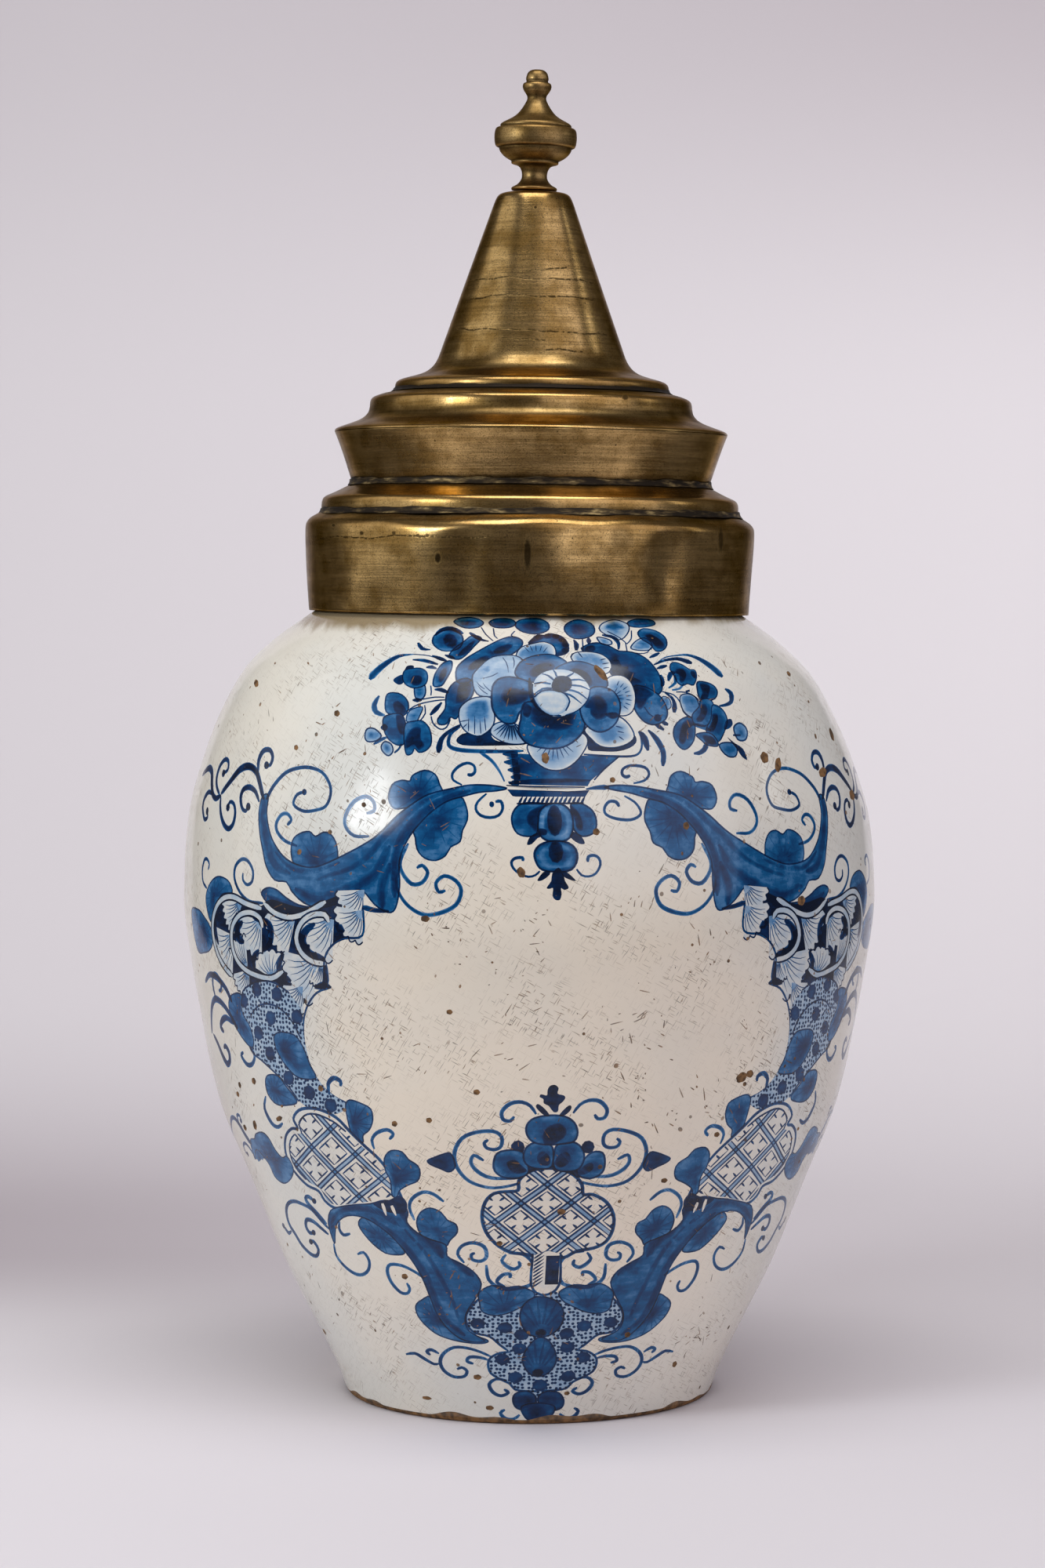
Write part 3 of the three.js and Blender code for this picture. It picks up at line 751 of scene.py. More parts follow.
def right_spray(hand):
    """Its fellow on the right, fuller and lower."""
    hand.petal([(44.4, 293), (45, 295.8), (47, 296.5), (50, 295.2), (52.6, 293), (55, 292.6), (55.3, 289.4),
                (53.6, 286), (51, 286.6), (49, 285.8), (47, 287), (45.4, 291)], (49, 291.4), FULL_PETAL, 0.5)
    hand.blot([(46.8, 293.2), (50, 293.4), (51.2, 290.4), (49.6, 287.2), (47.8, 287), (47.8, 290.4),
               (46.2, 291.4)], (49, 290.6), CORE)
    hand.blot([(53.2, 292.4), (55, 291.8), (54.9, 288.6), (53.6, 289.4), (52.8, 291)], (54, 290.8), CORE)
    drops(hand, ([(46.4, 291.6), (44.4, 291), (43.2, 287.8)],), (1.8, 2.2, 1.4), DEEP)
    drops(hand, ([(46, 290.4), (46, 287), (43, 284.8)],), (1.6, 1.4, 0.8), MIDDLE)
    hand.line([(49.6, 286.8), (47.6, 284.6), (44.4, 284)], 1.0, MIDDLE)
    hand.petal([(47.4, 281), (49.6, 282.4), (53, 281.8), (55.8, 279), (55.8, 275.4), (53, 273.2),
                (50.4, 273.8), (48, 276.6)], (52.4, 279), ((0, 0.65), (0.6, 0.5), (1, 0.12)), 0.5)
    hand.petal([(40.2, 281.2), (43, 280.6), (43.6, 277.4), (41.4, 276.4)], (42, 279), ((0, 0.6), (1, 0.3)),
               0.4)
    hand.petal([(55, 284), (55.4, 287.3), (59, 287.2), (62.6, 285.6), (64, 283), (62.6, 280.4), (59.6, 279.6),
                (56, 279.8)], (61.4, 283), FULL_PETAL, 0.6)
    hand.blot([(56.2, 286.8), (60.8, 286.2), (60.4, 283), (59, 280), (55.8, 279.8), (57, 283)],
              (58.6, 283.4), CORE)
    drops(hand, ([(64.2, 277.4), (67, 277.7), (70, 279), (70.3, 282.4), (67.7, 284.3)],),
          (0.9, 1.5, 2.6, 1.2), DEEP)
    hand.petal([(43.8, 266), (44.4, 269.6), (47, 272.2), (50.6, 273.4), (52.8, 271), (52.6, 266), (51, 262.8),
                (48, 260.8), (45.4, 262.4)], (48.6, 267), FULL_PETAL, 0.5)
    hand.blot([(51.4, 272.6), (48, 271.4), (46.2, 267), (45.8, 264), (47.2, 262.4), (48.8, 264.4),
               (49.8, 269), (53, 270.4)], (48.2, 267.6), CORE)
    hand.petal([(52, 274), (55, 277), (56.4, 280), (60, 280.2), (61.8, 277.4), (60.4, 272), (57, 269.6),
                (52.8, 270.6)], (57.4, 275), FULL_PETAL, 0.5, hides=True)
    hand.blot([(55.8, 277.9), (58.4, 278.2), (58.8, 275), (56, 271.3), (53, 271.8), (55.4, 274.6)],
              (57, 274.6), CORE)
    hand.petal([(61, 277.6), (64, 277.2), (66.6, 274.6), (67.4, 271), (65.6, 267.4), (63, 263.8), (60, 264.2),
                (57.4, 268), (60, 272.4)], (62.6, 271), FULL_PETAL, 0.5, hides=True)
    hand.blot([(60.8, 274.6), (63.2, 274.2), (62.9, 271), (60.6, 267.2), (58, 267.8), (60.2, 271.4)],
              (61.6, 271), CORE)
    hand.blot([(65.4, 268.4), (66.8, 271.6), (69.2, 272.2), (69.7, 270), (67.6, 268.4)], (67.6, 270.2),
              ((0, DARK), (0.8, DEEP), (1, 1.0)))
    drops(hand, ([(52, 270.4), (56, 269.4), (59.6, 267.8)],), (1.4, 2.0, 1.4), 1.4)
    hand.petal([(53, 266.4), (55.4, 264), (57.4, 262.4), (61.8, 261.8), (62.2, 263.6), (60, 266.4),
                (57, 267.2)], (58, 264.8), FULL_PETAL, 0.5, hides=True)
    hand.blot([(55.8, 266.2), (60, 265.6), (62, 262.6), (59.4, 262.2), (56.8, 263.4)], (59, 264.2), CORE)
    drops(hand, ([(57.6, 263.2), (56, 260.6), (53.6, 259.4), (51.6, 259.3)],), (2.6, 2.0, 1.3), DEEP)
    hand.petal([(70, 268.8), (73, 270.6), (75.8, 269), (76.5, 266.4), (75, 263.9), (71.4, 264.2)],
               (73.4, 267), ((0, 1.1), (0.4, 0.7), (0.8, 0.4), (1, 0.9)), 0.6)
    drops(hand, ([(69.4, 265.9), (73, 265.8)],), (1.0, 0.8), DEEP)
    hand.petal([(62.8, 262.4), (63.8, 260), (66.4, 257.9), (69.6, 257.8), (70.8, 260), (69.6, 262.6),
                (65.6, 263.2)], (67.8, 260), ((0, 0.9), (0.6, 0.6), (1, 0.5)), 0.6)
    hand.blot([(66.6, 265.2), (70, 262.8), (73.6, 260.6), (75.2, 256.4), (72.6, 257.8), (70.8, 260.4)],
              (72.4, 260), ((0, DARK), (0.8, DARK), (1, DEEP)))


left_spray(left)
right_spray(left)

# %% Big flower of the bouquet


def bouquet_front(hand):
    """The ring of petals round the big flower, then the flower itself, from its outer petals to its heart."""
    deep = hand.petal([(11.6, 302.2), (13, 305.2), (17, 306.8), (21, 305.4), (25, 302.4), (28, 302.2),
                       (32, 301), (36, 297.6), (39.2, 292), (40.6, 287), (40, 283.4), (37, 281.6),
                       (30, 281), (24, 286), (20, 293)], (31, 294),
                      ((0, 1.25), (0.5, 1.2), (0.9, 1.0), (1, 1.2)), 0.6)
    hand.blot([(21, 299), (24.2, 299.4), (25.8, 295), (28.6, 294.8), (28.2, 292.6), (30.8, 291.2),
               (29.8, 289.4), (33.4, 287.4), (28, 286.4), (22, 289), (21, 294)], (24.6, 292), CORE,
              inside=deep)
    hand.blot([(12, 302.4), (13.4, 305), (16, 305.4), (16.4, 302.6), (14, 301.2)], (14, 303.4), CORE,
              inside=deep)
    hand.blot([(20, 303), (24, 301.8), (26, 298), (23, 298.6)], (23.6, 300.4), ((0, 0.6), (1, 0)),
              inside=deep)
    hand.petal([(28.8, 279), (29.4, 285.4), (33, 285.6), (37, 283.6), (40, 280.8), (42, 276), (41, 272.4),
                (37, 270.4), (33, 271.4), (30, 275)], (36, 277), ((0, 0.62), (0.6, 0.7), (1, 0.8)), 0.6,
               hides=True)
    hand.blot([(29, 286.6), (33, 285.8), (37.4, 282.6), (34.8, 280.4), (33.4, 277.8), (31, 276),
               (29.2, 280)], (31.6, 282), CORE)
    hand.dab((38, 273), (1.7, 1.6), 0, CORE)
    hand.line([(33, 277.4), (34.8, 274.6), (36.4, 273.4)], 0.5, MIDDLE)
    pod = hand.petal([(-34.2, 289), (-33.7, 293), (-30.6, 297.2), (-26, 301.2), (-21.5, 304.8), (-17, 308.2),
                      (-13, 309.8), (-9.8, 307.8), (-10.2, 304), (-14, 299.8), (-18, 297.6), (-22, 295),
                      (-26, 291.4), (-28.5, 287.6), (-31, 286), (-33.6, 286.6)], (-22, 300), FULL_PETAL, 0.6)
    hand.dab((-17, 302.6), (4.8, 1.9), 35, CORE, inside=pod)
    hand.dab((-25.6, 295.6), (5.6, 2.0), 42, CORE, inside=pod)
    hand.blot([(-22, 304), (-20, 300), (-18.6, 298), (-22.6, 299.4)], (-20.6, 300.6), ((0, 0.9), (1, 0)),
              inside=pod)
    hanging = hand.petal([(-33.4, 287.4), (-36, 285.2), (-38, 281), (-38.4, 276), (-41.2, 272), (-40.6, 270),
                          (-38, 270.3), (-36.4, 272.8), (-34.6, 272.2), (-32.4, 275.4), (-30, 279),
                          (-28.2, 282), (-27.8, 286), (-30, 288.4)], (-33.6, 280),
                         ((0, 1.1), (0.6, 1.1), (1, 0.8)), 0.6)
    hand.blot([(-32.8, 286.6), (-28.6, 286.6), (-29, 282), (-31.2, 278.8), (-34.6, 278), (-34.2, 282)],
              (-31.8, 282.6), CORE, inside=hanging)
    hand.blot([(-38.4, 277), (-35, 277), (-33, 275.6), (-35.4, 272.8)], (-35.6, 275.4), ((0, 0.9), (1, 0)),
              inside=hanging)
    hand.line([(-43.6, 273), (-43, 270.4), (-40.4, 268.2), (-38, 269), (-36.6, 272)], 0.6, DEEP)
    hand.petal([(-7.4, 305.4), (-6, 308.6), (-4, 311), (-1.6, 310.8), (0, 311.8), (3, 311.2), (5, 309.6),
                (6.3, 307), (6.7, 303.4), (5.6, 300.8), (2, 299.6), (-2, 302)], (0, 305),
               ((0, 0.8), (0.6, 0.85), (0.8, 1.7), (1, DARK)), 0.5)
    for spot in ((-3.6, 309.4), (-0.4, 310.2), (2.4, 310), (4.6, 308), (5.6, 305.4), (5.4, 302.4)):
        hand.dab(spot, (1.5, 1.5), 0, ((0, 1.0), (0.7, 0.9), (1, 0.4)))
    upper = hand.petal([(-12, 300.6), (-10, 304), (-7.6, 305.2), (-5, 306.2), (-2, 306.9), (1, 305.2),
                        (2, 302), (1, 299), (-5, 297.6), (-11.6, 297)], (-7, 300.6),
                       ((0, 0.55), (0.6, 0.45), (0.85, 0.2), (1, 0.05)), 0.5, hides=True)
    hand.rays(np.array((-5.0, 297.0)), 60, 120, 5, 8.4, 5, width=0.35, cobalt=MIDDLE, inside=upper)
    high = hand.petal([(-28.2, 287), (-28, 290), (-25, 294.2), (-22, 297.6), (-19, 299.2), (-14, 299.7),
                       (-11, 298.6), (-9.8, 295.6), (-11, 290), (-14, 287), (-20, 283.4), (-22, 281),
                       (-26, 281.4), (-27.8, 284)],
                      (-17, 291), ((0, 0.3), (0.5, 0.24), (0.85, 0.2), (1, 0.3)), 0.55, hides=True)
    hand.blot([(-28, 290), (-22, 297), (-18, 298.6), (-20, 294), (-24, 289), (-27, 285)], (-23, 292.4),
              ((0, 0.3), (1, 0)), inside=high)
    hand.strokes([(-17, 298.4), (-13.4, 298.6), (-21, 282.6), (-23, 282), (-19, 291), (-24, 284)],
                 [(-15.4, 291), (-13.6, 293), (-24.6, 286.6), (-26.4, 285.4), (-25.4, 288.4), (-26.8, 287)],
                 width=0.45, cobalt=MIDDLE, bow=0.08, inside=high)
    low_left = hand.petal([(-33.2, 276), (-33.2, 271), (-31, 267.4), (-27, 265.8), (-24.4, 266.8),
                           (-22, 269), (-20.8, 272), (-21, 277), (-22, 280.6), (-26, 280.8), (-30, 279.4)],
                          (-26.4, 277.4), ((0, 0.6), (0.4, 0.55), (0.7, 0.22), (1, 0.12)), 0.55, hides=True)
    hand.strokes([(-30.2, 267.6), (-28, 266.6), (-25.8, 266.8), (-24, 268), (-33, 271.2), (-32, 269)],
                 [(-30, 272.6), (-27.8, 273.4), (-26, 271.8), (-24.4, 273.6), (-29.4, 272), (-30.4, 270.6)],
                 width=0.42, cobalt=MIDDLE, inside=low_left)
    fan = hand.petal([(-22.4, 267.4), (-20.6, 270.6), (-16, 271.4), (-12, 269.4), (-10, 264.6),
                      (-11.2, 263.2), (-16, 263.2), (-20, 264.8)], (-15.4, 270.6),
                     ((0, 0.75), (0.4, 0.4), (1, 0.14)), 0.5, hides=True)
    hand.rays(np.array((-15.0, 272.0)), 214, 306, 2.0, 7.6, 9, width=0.6, cobalt=DEEP, inside=fan)
    right_pale = hand.petal([(7.6, 297.4), (8.4, 301), (13, 301.9), (18, 300.8), (21, 297.8), (21.7, 294),
                             (19.4, 291), (14, 292)], (12.4, 297.6),
                            ((0, 0.45), (0.6, 0.4), (0.85, 0.14), (1, 0.06)), 0.55, hides=True)
    hand.strokes([(17.8, 297.6), (18.4, 295.6), (18.6, 293.6), (10, 301.4)],
                 [(19.9, 298.4), (20.9, 296.2), (20.9, 294), (11.4, 298.6)], width=0.6, cobalt=DEEP,
                 inside=right_pale)
    outer = hand.petal([(18.6, 286), (20.6, 289.6), (25, 290.3), (28.2, 287.8), (29.8, 283), (29.7, 279),
                        (28.6, 275.8), (26, 274), (22, 274.6), (20, 280)], (23.4, 281.4),
                       ((0, 0.55), (0.5, 0.4), (0.8, 0.14), (1, 0.05)), 0.5, hides=True)
    hand.rays(np.array((21.0, 281.0)), -38, 66, 5.4, 7.6, 8, width=0.45, cobalt=MIDDLE, inside=outer)
    hand.rays(np.array((21.0, 281.0)), -30, 60, 2.4, 4.6, 5, width=0.4, cobalt=0.7, inside=outer)
    below = hand.petal([(10.6, 268.4), (13.4, 271), (19, 273.4), (23.4, 273.6), (27, 270.4), (28.7, 266),
                        (26, 263.2), (21, 261.8), (16, 262.4), (13, 265)], (20.4, 268.4),
                       ((0, 0.5), (0.5, 0.42), (0.8, 0.14), (1, 0.04)), 0.6, hides=True)
    hand.strokes([(22, 270), (22.6, 268), (23, 266)], [(24.6, 269.2), (25, 267.4), (24.8, 264.6)], width=0.5,
                 cobalt=MIDDLE, inside=below)
    apron = hand.petal([(-9.6, 262.6), (-8.2, 258), (-4, 254.4), (0, 253.5), (4, 254.4), (8.2, 257.8),
                        (11.4, 263), (11.2, 266), (9, 267.4), (6, 265), (1, 263), (-5, 263)], (-1, 260),
                       ((0, 0.4), (0.6, 0.26), (1, 0.06)), 0.5, hides=True)
    hand.rays(np.array((0.0, 266.0)), 222, 318, 4.6, 8.6, 8, width=0.4, cobalt=MIDDLE, inside=apron)
    crown = hand.petal([(-12.8, 290), (-12.6, 293), (-10, 297.2), (-5, 299.8), (0, 300.3), (3.2, 298.8),
                        (5.8, 295.6), (4, 291), (-1, 288), (-6, 287), (-10, 287.6)], (-4, 293.6),
                       FULL_PETAL, 0.6, hides=True)
    hand.blot([(-8, 290), (-7.4, 293), (-4, 295.8), (0.4, 296.2), (1.2, 293.4), (-2, 291), (-6, 289)],
              (-3.4, 292.8), CORE, inside=crown)
    wing = hand.petal([(-21.6, 281), (-21.2, 285), (-19, 288.2), (-15, 289.3), (-10.4, 288.2), (-7, 286),
                       (-6.6, 281), (-9, 277.6), (-12, 275), (-13.6, 271.2), (-17, 270.8), (-20, 273.2),
                       (-21.6, 277)],
                      (-15, 279.4), FULL_PETAL, 0.7, hides=True)
    hand.blot([(-18.6, 281), (-17.6, 283.8), (-14, 284.8), (-9, 283.8), (-7, 282.8), (-9.6, 279.4),
               (-13, 277.6), (-16.6, 277.6)], (-13.4, 281.2), CORE, inside=wing)
    arch = hand.petal([(1.4, 293), (5, 295.8), (9, 297), (13, 296), (16.4, 293.8), (19, 290), (19.8, 286),
                       (17, 284), (12, 283), (9, 289), (5, 290.6)], (13.4, 292), FULL_PETAL, 0.6, hides=True)
    hand.blot([(5.8, 292.2), (8, 293.8), (11.2, 292.8), (13.7, 290), (14.4, 286.6), (12.8, 285), (11.4, 288),
               (8, 290)], (11.4, 290.2), CORE, inside=arch)
    lip = hand.petal([(-11.7, 272), (-12.6, 268), (-10.2, 263.6), (-5, 261.8), (1, 261.6), (6.2, 263.8),
                      (10.2, 268), (11, 272.4), (10.6, 276.4), (2, 277.6), (-5, 279), (-10, 278.8),
                      (-11.4, 275)], (0, 269), FULL_PETAL, 0.7, hides=True)
    hand.blot([(-8.6, 277.6), (-7.8, 271.4), (-3, 269), (2, 268.2), (6.2, 269.6), (8, 272.8), (7, 276),
               (1, 277.4), (-5, 278.6)], (0, 273), CORE, inside=lip)
    hand.blot([(-10.4, 279), (-11, 274.4), (-8.8, 273), (-7.6, 277)], (-9.4, 276.4), CORE, inside=lip)
    round_one = hand.petal([(9.3, 277), (11, 281.7), (14, 285), (18, 285.3), (22, 283.3), (24, 279),
                            (23.7, 275), (22, 271), (18, 268), (14, 268.2), (10.6, 271.5)], (16.6, 276.6),
                           ((0, 0.8), (0.6, 0.75), (0.9, 0.6), (1, 0.8)), 0.6, hides=True)
    hand.blot([(10.6, 277.4), (13.4, 281.4), (16, 282.2), (18.8, 280), (19.6, 276.4), (18.6, 273),
               (15.6, 272), (13, 274.4), (12.6, 276.6)], (15.6, 277.6), CORE, inside=round_one)
    hand.blot([(18, 274.6), (22, 275.4), (23.6, 274), (21, 272.6)], (20.6, 274.2), CORE, inside=round_one)
    heart_of_flower(hand)


def heart_of_flower(hand):
    """The white bud in the middle: a ball at its lower left, a dark eye, and stripes that fold over it."""
    bud = hand.blot([(-7, 283), (-6.4, 287.4), (-3.6, 291), (1, 292.8), (6, 292.4), (10.4, 289.6),
                     (13.2, 284.6), (12, 280), (8.4, 276), (4, 274), (0, 273.6), (-4, 275.6), (-6.6, 279)],
                    (3, 283.6), ((0, 0.2), (0.8, 0.1), (1, 0.14)), hides=True)
    hand.line([(-8, 289), (-7.8, 283), (-6.4, 278.4), (-2.6, 275), (2.6, 273.8)], (0.8, 2.0, 1.6, 0.8), DARK)
    hand.line([(4, 274), (8.6, 276), (12.2, 280), (13.4, 284.6)], 0.5, MIDDLE)
    for path in (
        [(2, 283), (6, 282), (10, 278.6)], [(4.4, 284.4), (9, 283), (12.4, 280)],
        [(6, 286), (10, 285.6), (13.2, 284)], [(6, 288), (9.4, 288.4), (12, 287.6)],
        [(5, 289.4), (7.4, 291), (8, 292)], [(1.6, 289.6), (1.2, 291.4), (0.4, 292.8)],
        [(0.6, 288), (-1.4, 290), (-3.6, 290.8)], [(-0.6, 286.4), (-4, 287), (-7, 286.4)],
        [(-0.2, 284.6), (-3.6, 284.4), (-6.8, 282)],
    ):
        hand.line(path, (1.0, 0.8, 0.35), 1.0, inside=bud)
    hand.blot([(-6.6, 280.6), (-5, 283), (0, 283.8), (4, 282.6), (5.8, 279.4), (4, 275.6), (0, 274),
               (-4, 276)], (-0.6, 279.4), ((0, 0.14), (0.8, 0.12), (1, 0.35)), hides=True)
    hand.line([(-6.6, 281), (-4, 283.4), (0, 283.9), (4, 282.6), (5.8, 279.4), (4.2, 275.8)], 0.6, DEEP,
              inside=bud)
    hand.blot([(-0.4, 286), (0.6, 288.4), (2, 289.8), (5.2, 289.8), (6.8, 288), (6.6, 285), (4.6, 283.2),
               (2, 283), (0, 284)], (3.2, 286.6), ((0, DARK * 1.1), (0.8, DARK), (1, 1.6)))


bouquet_front(left)

# %% [markdown]
# The frame of the field is leaf work. An acanthus leaf is a wash with a drawn edge, shaded by broad strokes
# that fade out to both sides. Its lobes are darkest in the fold that they spring from. Behind it run
# tendrils, one stroke each, thick where the hand starts and curled up at the end.

# %% Tendrils and leaves
FOLDED = ((0, 1.6), (0.3, 1.2), (0.62, 0.8), (0.9, 0.66), (1, 0.8))  # a lobe, from its fold to its rim
FADING = ((-1, 0), (-0.3, 1), (0.3, 1), (1, 0))  # across a shading stroke


def tendrils(hand, paths, width=(1.1, 1.6, 1.3), cobalt=DEEP, blob=0.0):
    """Curled lines. A blob is a round dot, of that half size, left where the brush is lifted."""
    for path in paths:
        hand.line(path, width, cobalt)
        if blob:
            hand.dab(path[-1], (blob, blob), 0, ((0, cobalt * 1.3), (0.6, cobalt * 1.2), (1, cobalt)))


def lobes(hand, shapes, **how):
    """Leaves that are darkest in their fold, with faint veins from it. A shape is an outline and its fold."""
    for outline, fold in shapes:
        leaf = hand.petal(outline, fold, FOLDED, pen=0.55, **how)
        hand.rays(np.array(fold, float), 0, 345, 2.5, 11, 14, width=0.5, cobalt=0.2, inside=leaf)


def shading(hand, strokes, inside):
    """Broad strokes along a leaf: each is a path, its greatest width and its cobalt."""
    for path, width, cobalt in strokes:
        hand.line(path, (0.5 * width, width, 0.6 * width), 0.6 * cobalt, across=FADING, inside=inside)


# %% Upper leaf scroll


def upper_acanthus(hand):
    """The long scroll from the basket's foot outwards and down, its lobes, and the thick arm at its end."""
    lobes(hand, (
        ([(-53, 239.5), (-58, 239), (-60.3, 242.5), (-58.8, 247.5), (-55, 249.2), (-52, 249), (-51, 251),
          (-46.5, 253), (-42.6, 251.6), (-41, 248), (-40, 244), (-46, 240)], (-49, 244)),
        ([(-51, 234), (-50.4, 229), (-49.8, 225), (-47, 222), (-43, 221.3), (-39.5, 223), (-37.6, 226),
          (-34.2, 228), (-33.2, 232), (-31.4, 235.6), (-31.6, 240), (-34, 244), (-42, 243)], (-43, 236)),
        ([(-97, 215), (-101.5, 220), (-101.4, 226), (-98, 228.8), (-93.4, 229.8), (-90.6, 228.2),
          (-87, 229.8), (-83.6, 229), (-81.2, 225), (-81.4, 218), (-88, 214)], (-90, 219)),
    ))
    body = hand.form([(-17.2, 247), (-23, 248), (-30, 248), (-37, 246.6), (-45, 244.4), (-51, 241),
                      (-57, 236.6), (-63, 231), (-69, 226.8), (-80, 221.4), (-90, 217.6), (-97, 217.6),
                      (-104, 219.6), (-109, 223.4), (-112.6, 228), (-114.8, 235), (-114.4, 241.6),
                      (-117.8, 241), (-119.4, 235), (-118.4, 227.6), (-116.4, 221.6), (-114.4, 216.4),
                      (-110, 212), (-104, 211.6), (-101.6, 208.6), (-95.6, 204.6), (-88, 203.4),
                      (-80, 205.6), (-74, 209.6), (-70.6, 210), (-66, 205.4), (-61, 202.8), (-58, 204.4),
                      (-56.4, 212), (-56.4, 221), (-53.4, 228), (-49, 233.6), (-44, 238.4), (-38.5, 242),
                      (-33, 243.8), (-27, 245.4), (-21, 246)], 0.72, hides=True)
    shading(hand, (
        ([(-30, 246), (-38, 243.4), (-46, 238.6), (-54, 230.4), (-58, 222), (-58.4, 208)], 4.6, 1.2),
        ([(-34, 247), (-46, 242.4), (-60, 231), (-72, 219.6), (-90, 213)], 3, 0.7),
        ([(-60, 226), (-66, 216), (-76, 210), (-90, 206.4), (-100, 209.6)], 6, 0.9),
        ([(-60, 220), (-63, 211), (-63, 204)], 5, 1.1),
        ([(-102, 214.6), (-109, 216.6), (-114, 224), (-117, 234), (-116.6, 241)], 5, 0.9),
        ([(-80, 219.6), (-92, 216), (-102, 216.6), (-110, 222)], 2.5, 0.6),
    ), body)
    under = hand.form([(-117, 206.4), (-114, 209), (-109, 208.6), (-104, 206), (-98, 203.8), (-91.6, 203),
                       (-97, 200.8), (-104, 200), (-110, 201.4)], hides=True)
    shading(hand, (([(-114, 206.4), (-106, 203.4), (-96, 202.4)], 4, 1.1),), under)
    tendrils(hand, (
        [(-115.4, 240), (-112, 245), (-106, 250), (-100, 252), (-94, 252.5), (-88, 251), (-84.5, 247),
         (-84, 243), (-86, 239), (-90, 237.5), (-96, 236.8), (-101, 239), (-99.4, 242.6), (-96, 243.6)],
    ), (1.7, 1.4, 1.2, 1.3), DEEP, 1.2)
    tendrils(hand, (
        [(-99, 224.5), (-105, 226), (-109, 229), (-109.5, 232), (-107, 235), (-104, 235.5), (-102, 233.5),
         (-104, 231.5)],
        [(-68, 229), (-74, 229), (-77.5, 232), (-77.5, 236), (-74, 241), (-69, 243), (-66, 241), (-66, 238),
         (-69, 237)],
        [(-53, 227), (-56, 221), (-55.5, 217), (-52, 213), (-48, 213.6), (-46, 217), (-48, 219.5),
         (-50, 218.5)],
        [(-56.4, 219), (-57.5, 212), (-54, 206), (-48, 202.5), (-42, 203), (-36, 206), (-34, 211),
         (-36, 214.5), (-40, 216), (-43, 213.5), (-42, 210.4), (-39.6, 211)],
    ), cobalt=MIDDLE * 1.2)


def outer_tendrils(hand):
    """The branch that leaves the arm's tip and curls round the jar's side."""
    tendrils(hand, (
        [(-117, 240), (-120, 246), (-123, 250), (-128, 251.5), (-134, 250), (-141, 245), (-147, 240.5)],
        [(-147, 240), (-151, 238.6), (-155, 240), (-158, 244), (-160, 247.5), (-164, 249), (-168, 248.5),
         (-175, 246)],
    ), (2.0, 3.0, 2.0), DARK)
    tendrils(hand, (
        [(-148, 240), (-152, 243), (-153.5, 246.5), (-152, 250.5), (-148, 253), (-144.5, 252.5),
         (-144, 249.5), (-147.4, 248)],
        [(-155, 240), (-160, 240.5), (-164, 238), (-165, 235), (-163, 232), (-161, 230.5), (-158, 231.5),
         (-159, 233.6)],
        [(-147, 240), (-146.5, 236), (-145, 232.5), (-142, 229.5), (-138.5, 228.5), (-135.5, 230.5),
         (-134.5, 234.5), (-136, 237.5), (-139, 238), (-140.2, 236)],
        [(-119.5, 239), (-122, 242.5), (-126, 244), (-130, 243), (-131.4, 240), (-130, 236.4),
         (-127.5, 235.4), (-126, 237)],
        [(-121.5, 249), (-121.8, 254), (-119.4, 257.5), (-115.5, 258), (-113.5, 255.5), (-114.6, 252.6),
         (-116.8, 252.4)],
    ), (1.4, 2.3, 1.9, 1.4), 1.8, blob=1.5)
    tendrils(hand, (
        [(-116, 203.4), (-124, 203.6), (-130, 206.5), (-133.5, 211), (-133, 215.4), (-129, 218.2),
         (-125, 217.8), (-122, 214.6), (-122.4, 210.8), (-125.4, 209.4), (-128, 211), (-128, 213.4)],
        [(-156, 206), (-160, 208), (-161, 212), (-159, 216), (-156, 216.5), (-153.8, 214.8), (-155, 212.8)],
    ), (1.2, 1.5, 1.2))


# %% [markdown]
# Beside the field stand panels of shell work: white ribbed fans, reserved in a nearly black ground, between
# white C-shaped bands. Ground first, then whatever is white is laid over it and hides it.

# %% Shell panels


def shell(hand, hinge, turn, reach, spread=110):
    """A fan in white with a drawn scalloped edge. hinge is where its ribs meet, turn is the way that it
    opens, in degrees, and its edge is an arc whose radius swells at each lobe by the absolute sine."""
    scallops = 6
    reach = 1.12 * reach
    angle = np.radians(np.linspace(turn - spread / 2, turn + spread / 2, 6 * scallops + 1))
    swell = 0.92 + 0.1 * np.abs(np.sin(np.linspace(0, scallops * math.pi, len(angle))))
    edge = np.array(hinge) + reach * swell[:, None] * np.stack([np.cos(angle), np.sin(angle)], axis=-1)
    fan = hand.wash(np.vstack([hinge, edge]), 0.1, straight=True, hides=True)
    hand.rays(np.array(hinge), turn - spread * 0.38, turn + spread * 0.38, 0.25 * reach, 0.84 * reach, 7,
              width=0.42, cobalt=MIDDLE, bow=0.08, inside=fan)
    hand.rays(np.array(hinge), turn - spread * 0.3, turn + spread * 0.3, 0, 0.4 * reach, 4, width=1.1,
              cobalt=0.25, inside=fan)
    hand.line(edge, 0.6, DARK)


def white_band(hand, path):
    """A reserved band: white, hiding what is under it, with a dark line on both sides."""
    width = 1.7
    hand.line(path, width + 1.4, DARK, across=((-1, 1), (1, 1)))
    hand.line(path, width, 0.12, across=((-1, 1), (1, 1)), hides=True)


